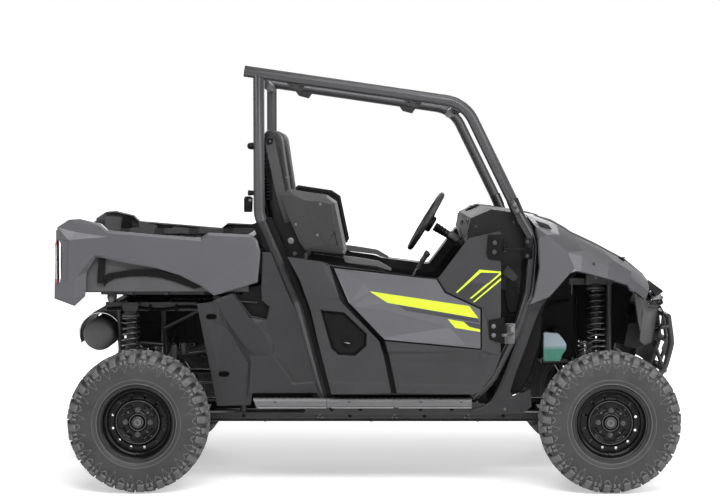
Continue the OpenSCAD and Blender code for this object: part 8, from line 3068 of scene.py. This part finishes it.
        # air box side with ribs and its lid clip
        box = [(-0.985, 0.655), (-0.960, 0.812), (-0.930, 0.828), (-0.640, 0.828), (-0.622, 0.808), (-0.622, 0.640), (-0.660, 0.618), (-0.950, 0.625)]
        v, f = g_plate(rounded(box, 0.014, 3), *sorted((s * 0.150, s * 0.225)))
        R.add(v, f, M_BLACK)
        for k in range(7):
            x = -0.925 + 0.044 * k
            v, f = g_box((x, min(s * 0.225, s * 0.230), 0.662), (x + 0.010, max(s * 0.225, s * 0.230), 0.790))
            R.add(v, f, M_BLACK)
        v, f = g_box((-0.940, min(s * 0.225, s * 0.231), 0.800), (-0.650, max(s * 0.225, s * 0.231), 0.808))
        R.add(v, f, M_BLACK)
        v, f = g_plate(rounded([(-0.800, 0.786), (-0.772, 0.786), (-0.772, 0.818), (-0.800, 0.818)], 0.004, 2), *sorted((s * 0.230, s * 0.235)))
        R.add(v, f, M_CAST)
        # gusset plate between the rear towers and the hitch member
        v, f = g_plate(rounded([(-1.150, 0.640), (-1.150, 0.832), (-0.972, 0.832), (-0.972, 0.610), (-1.060, 0.596)], 0.01, 2), *sorted((s * 0.196, s * 0.201)))
        R.add(v, f, M_BLACK)
        v, f = g_plate(rounded([(-1.135, 0.700), (-1.135, 0.716), (-0.985, 0.716), (-0.985, 0.700)], 0.003, 2), *sorted((s * 0.201, s * 0.205)))
        R.add(v, f, M_BLACK)
    # stabiliser bar across, exhaust joint
    p = bent([Vector((-0.930, -0.360, 0.470)), Vector((-0.900, -0.300, 0.440)), Vector((-0.900, 0.300, 0.440)), Vector((-0.930, 0.360, 0.470))], [0.05, 0.05], 5)
    v, f = g_tube(p, 0.0085, 14)
    R.add(v, f, M_FRAME)
    p = smooth_path([Vector(q) for q in ((-0.690, 0.085, 0.618), (-0.760, 0.095, 0.600), (-0.850, 0.110, 0.560), (-0.950, 0.118, 0.548), (-1.012, 0.120, 0.570))], 6)
    v, f = g_tube(p, 0.0185, 22)
    R.add(v, f, M_EXH)
    o = R.obj("rear_bay_details", bevel=0.0012, seg=1, angle=40)
    finish(o, "chassis", None)


engine()
bottle()
liners()

# ------------------------------------------------------------------ floor and the end
def floor():
    """Pale floor that brightens gently away from the vehicle, so that it meets the backdrop without a line."""
    m = new_mat("floor_pale")
    nt = m.node_tree
    N, lk = nt.nodes.new, nt.links.new
    out = N("ShaderNodeOutputMaterial"); b = N("ShaderNodeBsdfPrincipled"); lk(b.outputs[0], out.inputs[0])
    tc = N("ShaderNodeTexCoord")
    n = N("ShaderNodeTexNoise"); n.inputs["Scale"].default_value = 2.0; n.inputs["Detail"].default_value = 5
    lk(tc.outputs["Object"], n.inputs["Vector"])
    r = N("ShaderNodeValToRGB")
    r.color_ramp.elements[0].color = (0.78, 0.78, 0.78, 1); r.color_ramp.elements[1].color = (0.81, 0.81, 0.81, 1)
    lk(n.outputs["Fac"], r.inputs[0]); lk(r.outputs[0], b.inputs["Base Color"])
    b.inputs["Roughness"].default_value = 0.7
    b.inputs["Specular IOR Level"].default_value = 0.1
    ln = N("ShaderNodeVectorMath"); ln.operation = "LENGTH"
    lk(tc.outputs["Object"], ln.inputs[0])
    mr = N("ShaderNodeMapRange"); mr.interpolation_type = "SMOOTHSTEP"
    mr.inputs["From Min"].default_value = 1.6; mr.inputs["From Max"].default_value = 6.0
    mr.inputs["To Min"].default_value = 0.42; mr.inputs["To Max"].default_value = 1.0
    lk(ln.outputs["Value"], mr.inputs[0])
    b.inputs["Emission Color"].default_value = (1, 1, 1, 1)
    lk(mr.outputs[0], b.inputs["Emission Strength"])
    B = Build(m)
    v, f = g_box((-60, -60, -0.02), (60, 60, 0.0))
    B.add(v, f, m, smooth=False)
    o = B.obj("floor")


floor()

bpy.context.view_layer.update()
import json
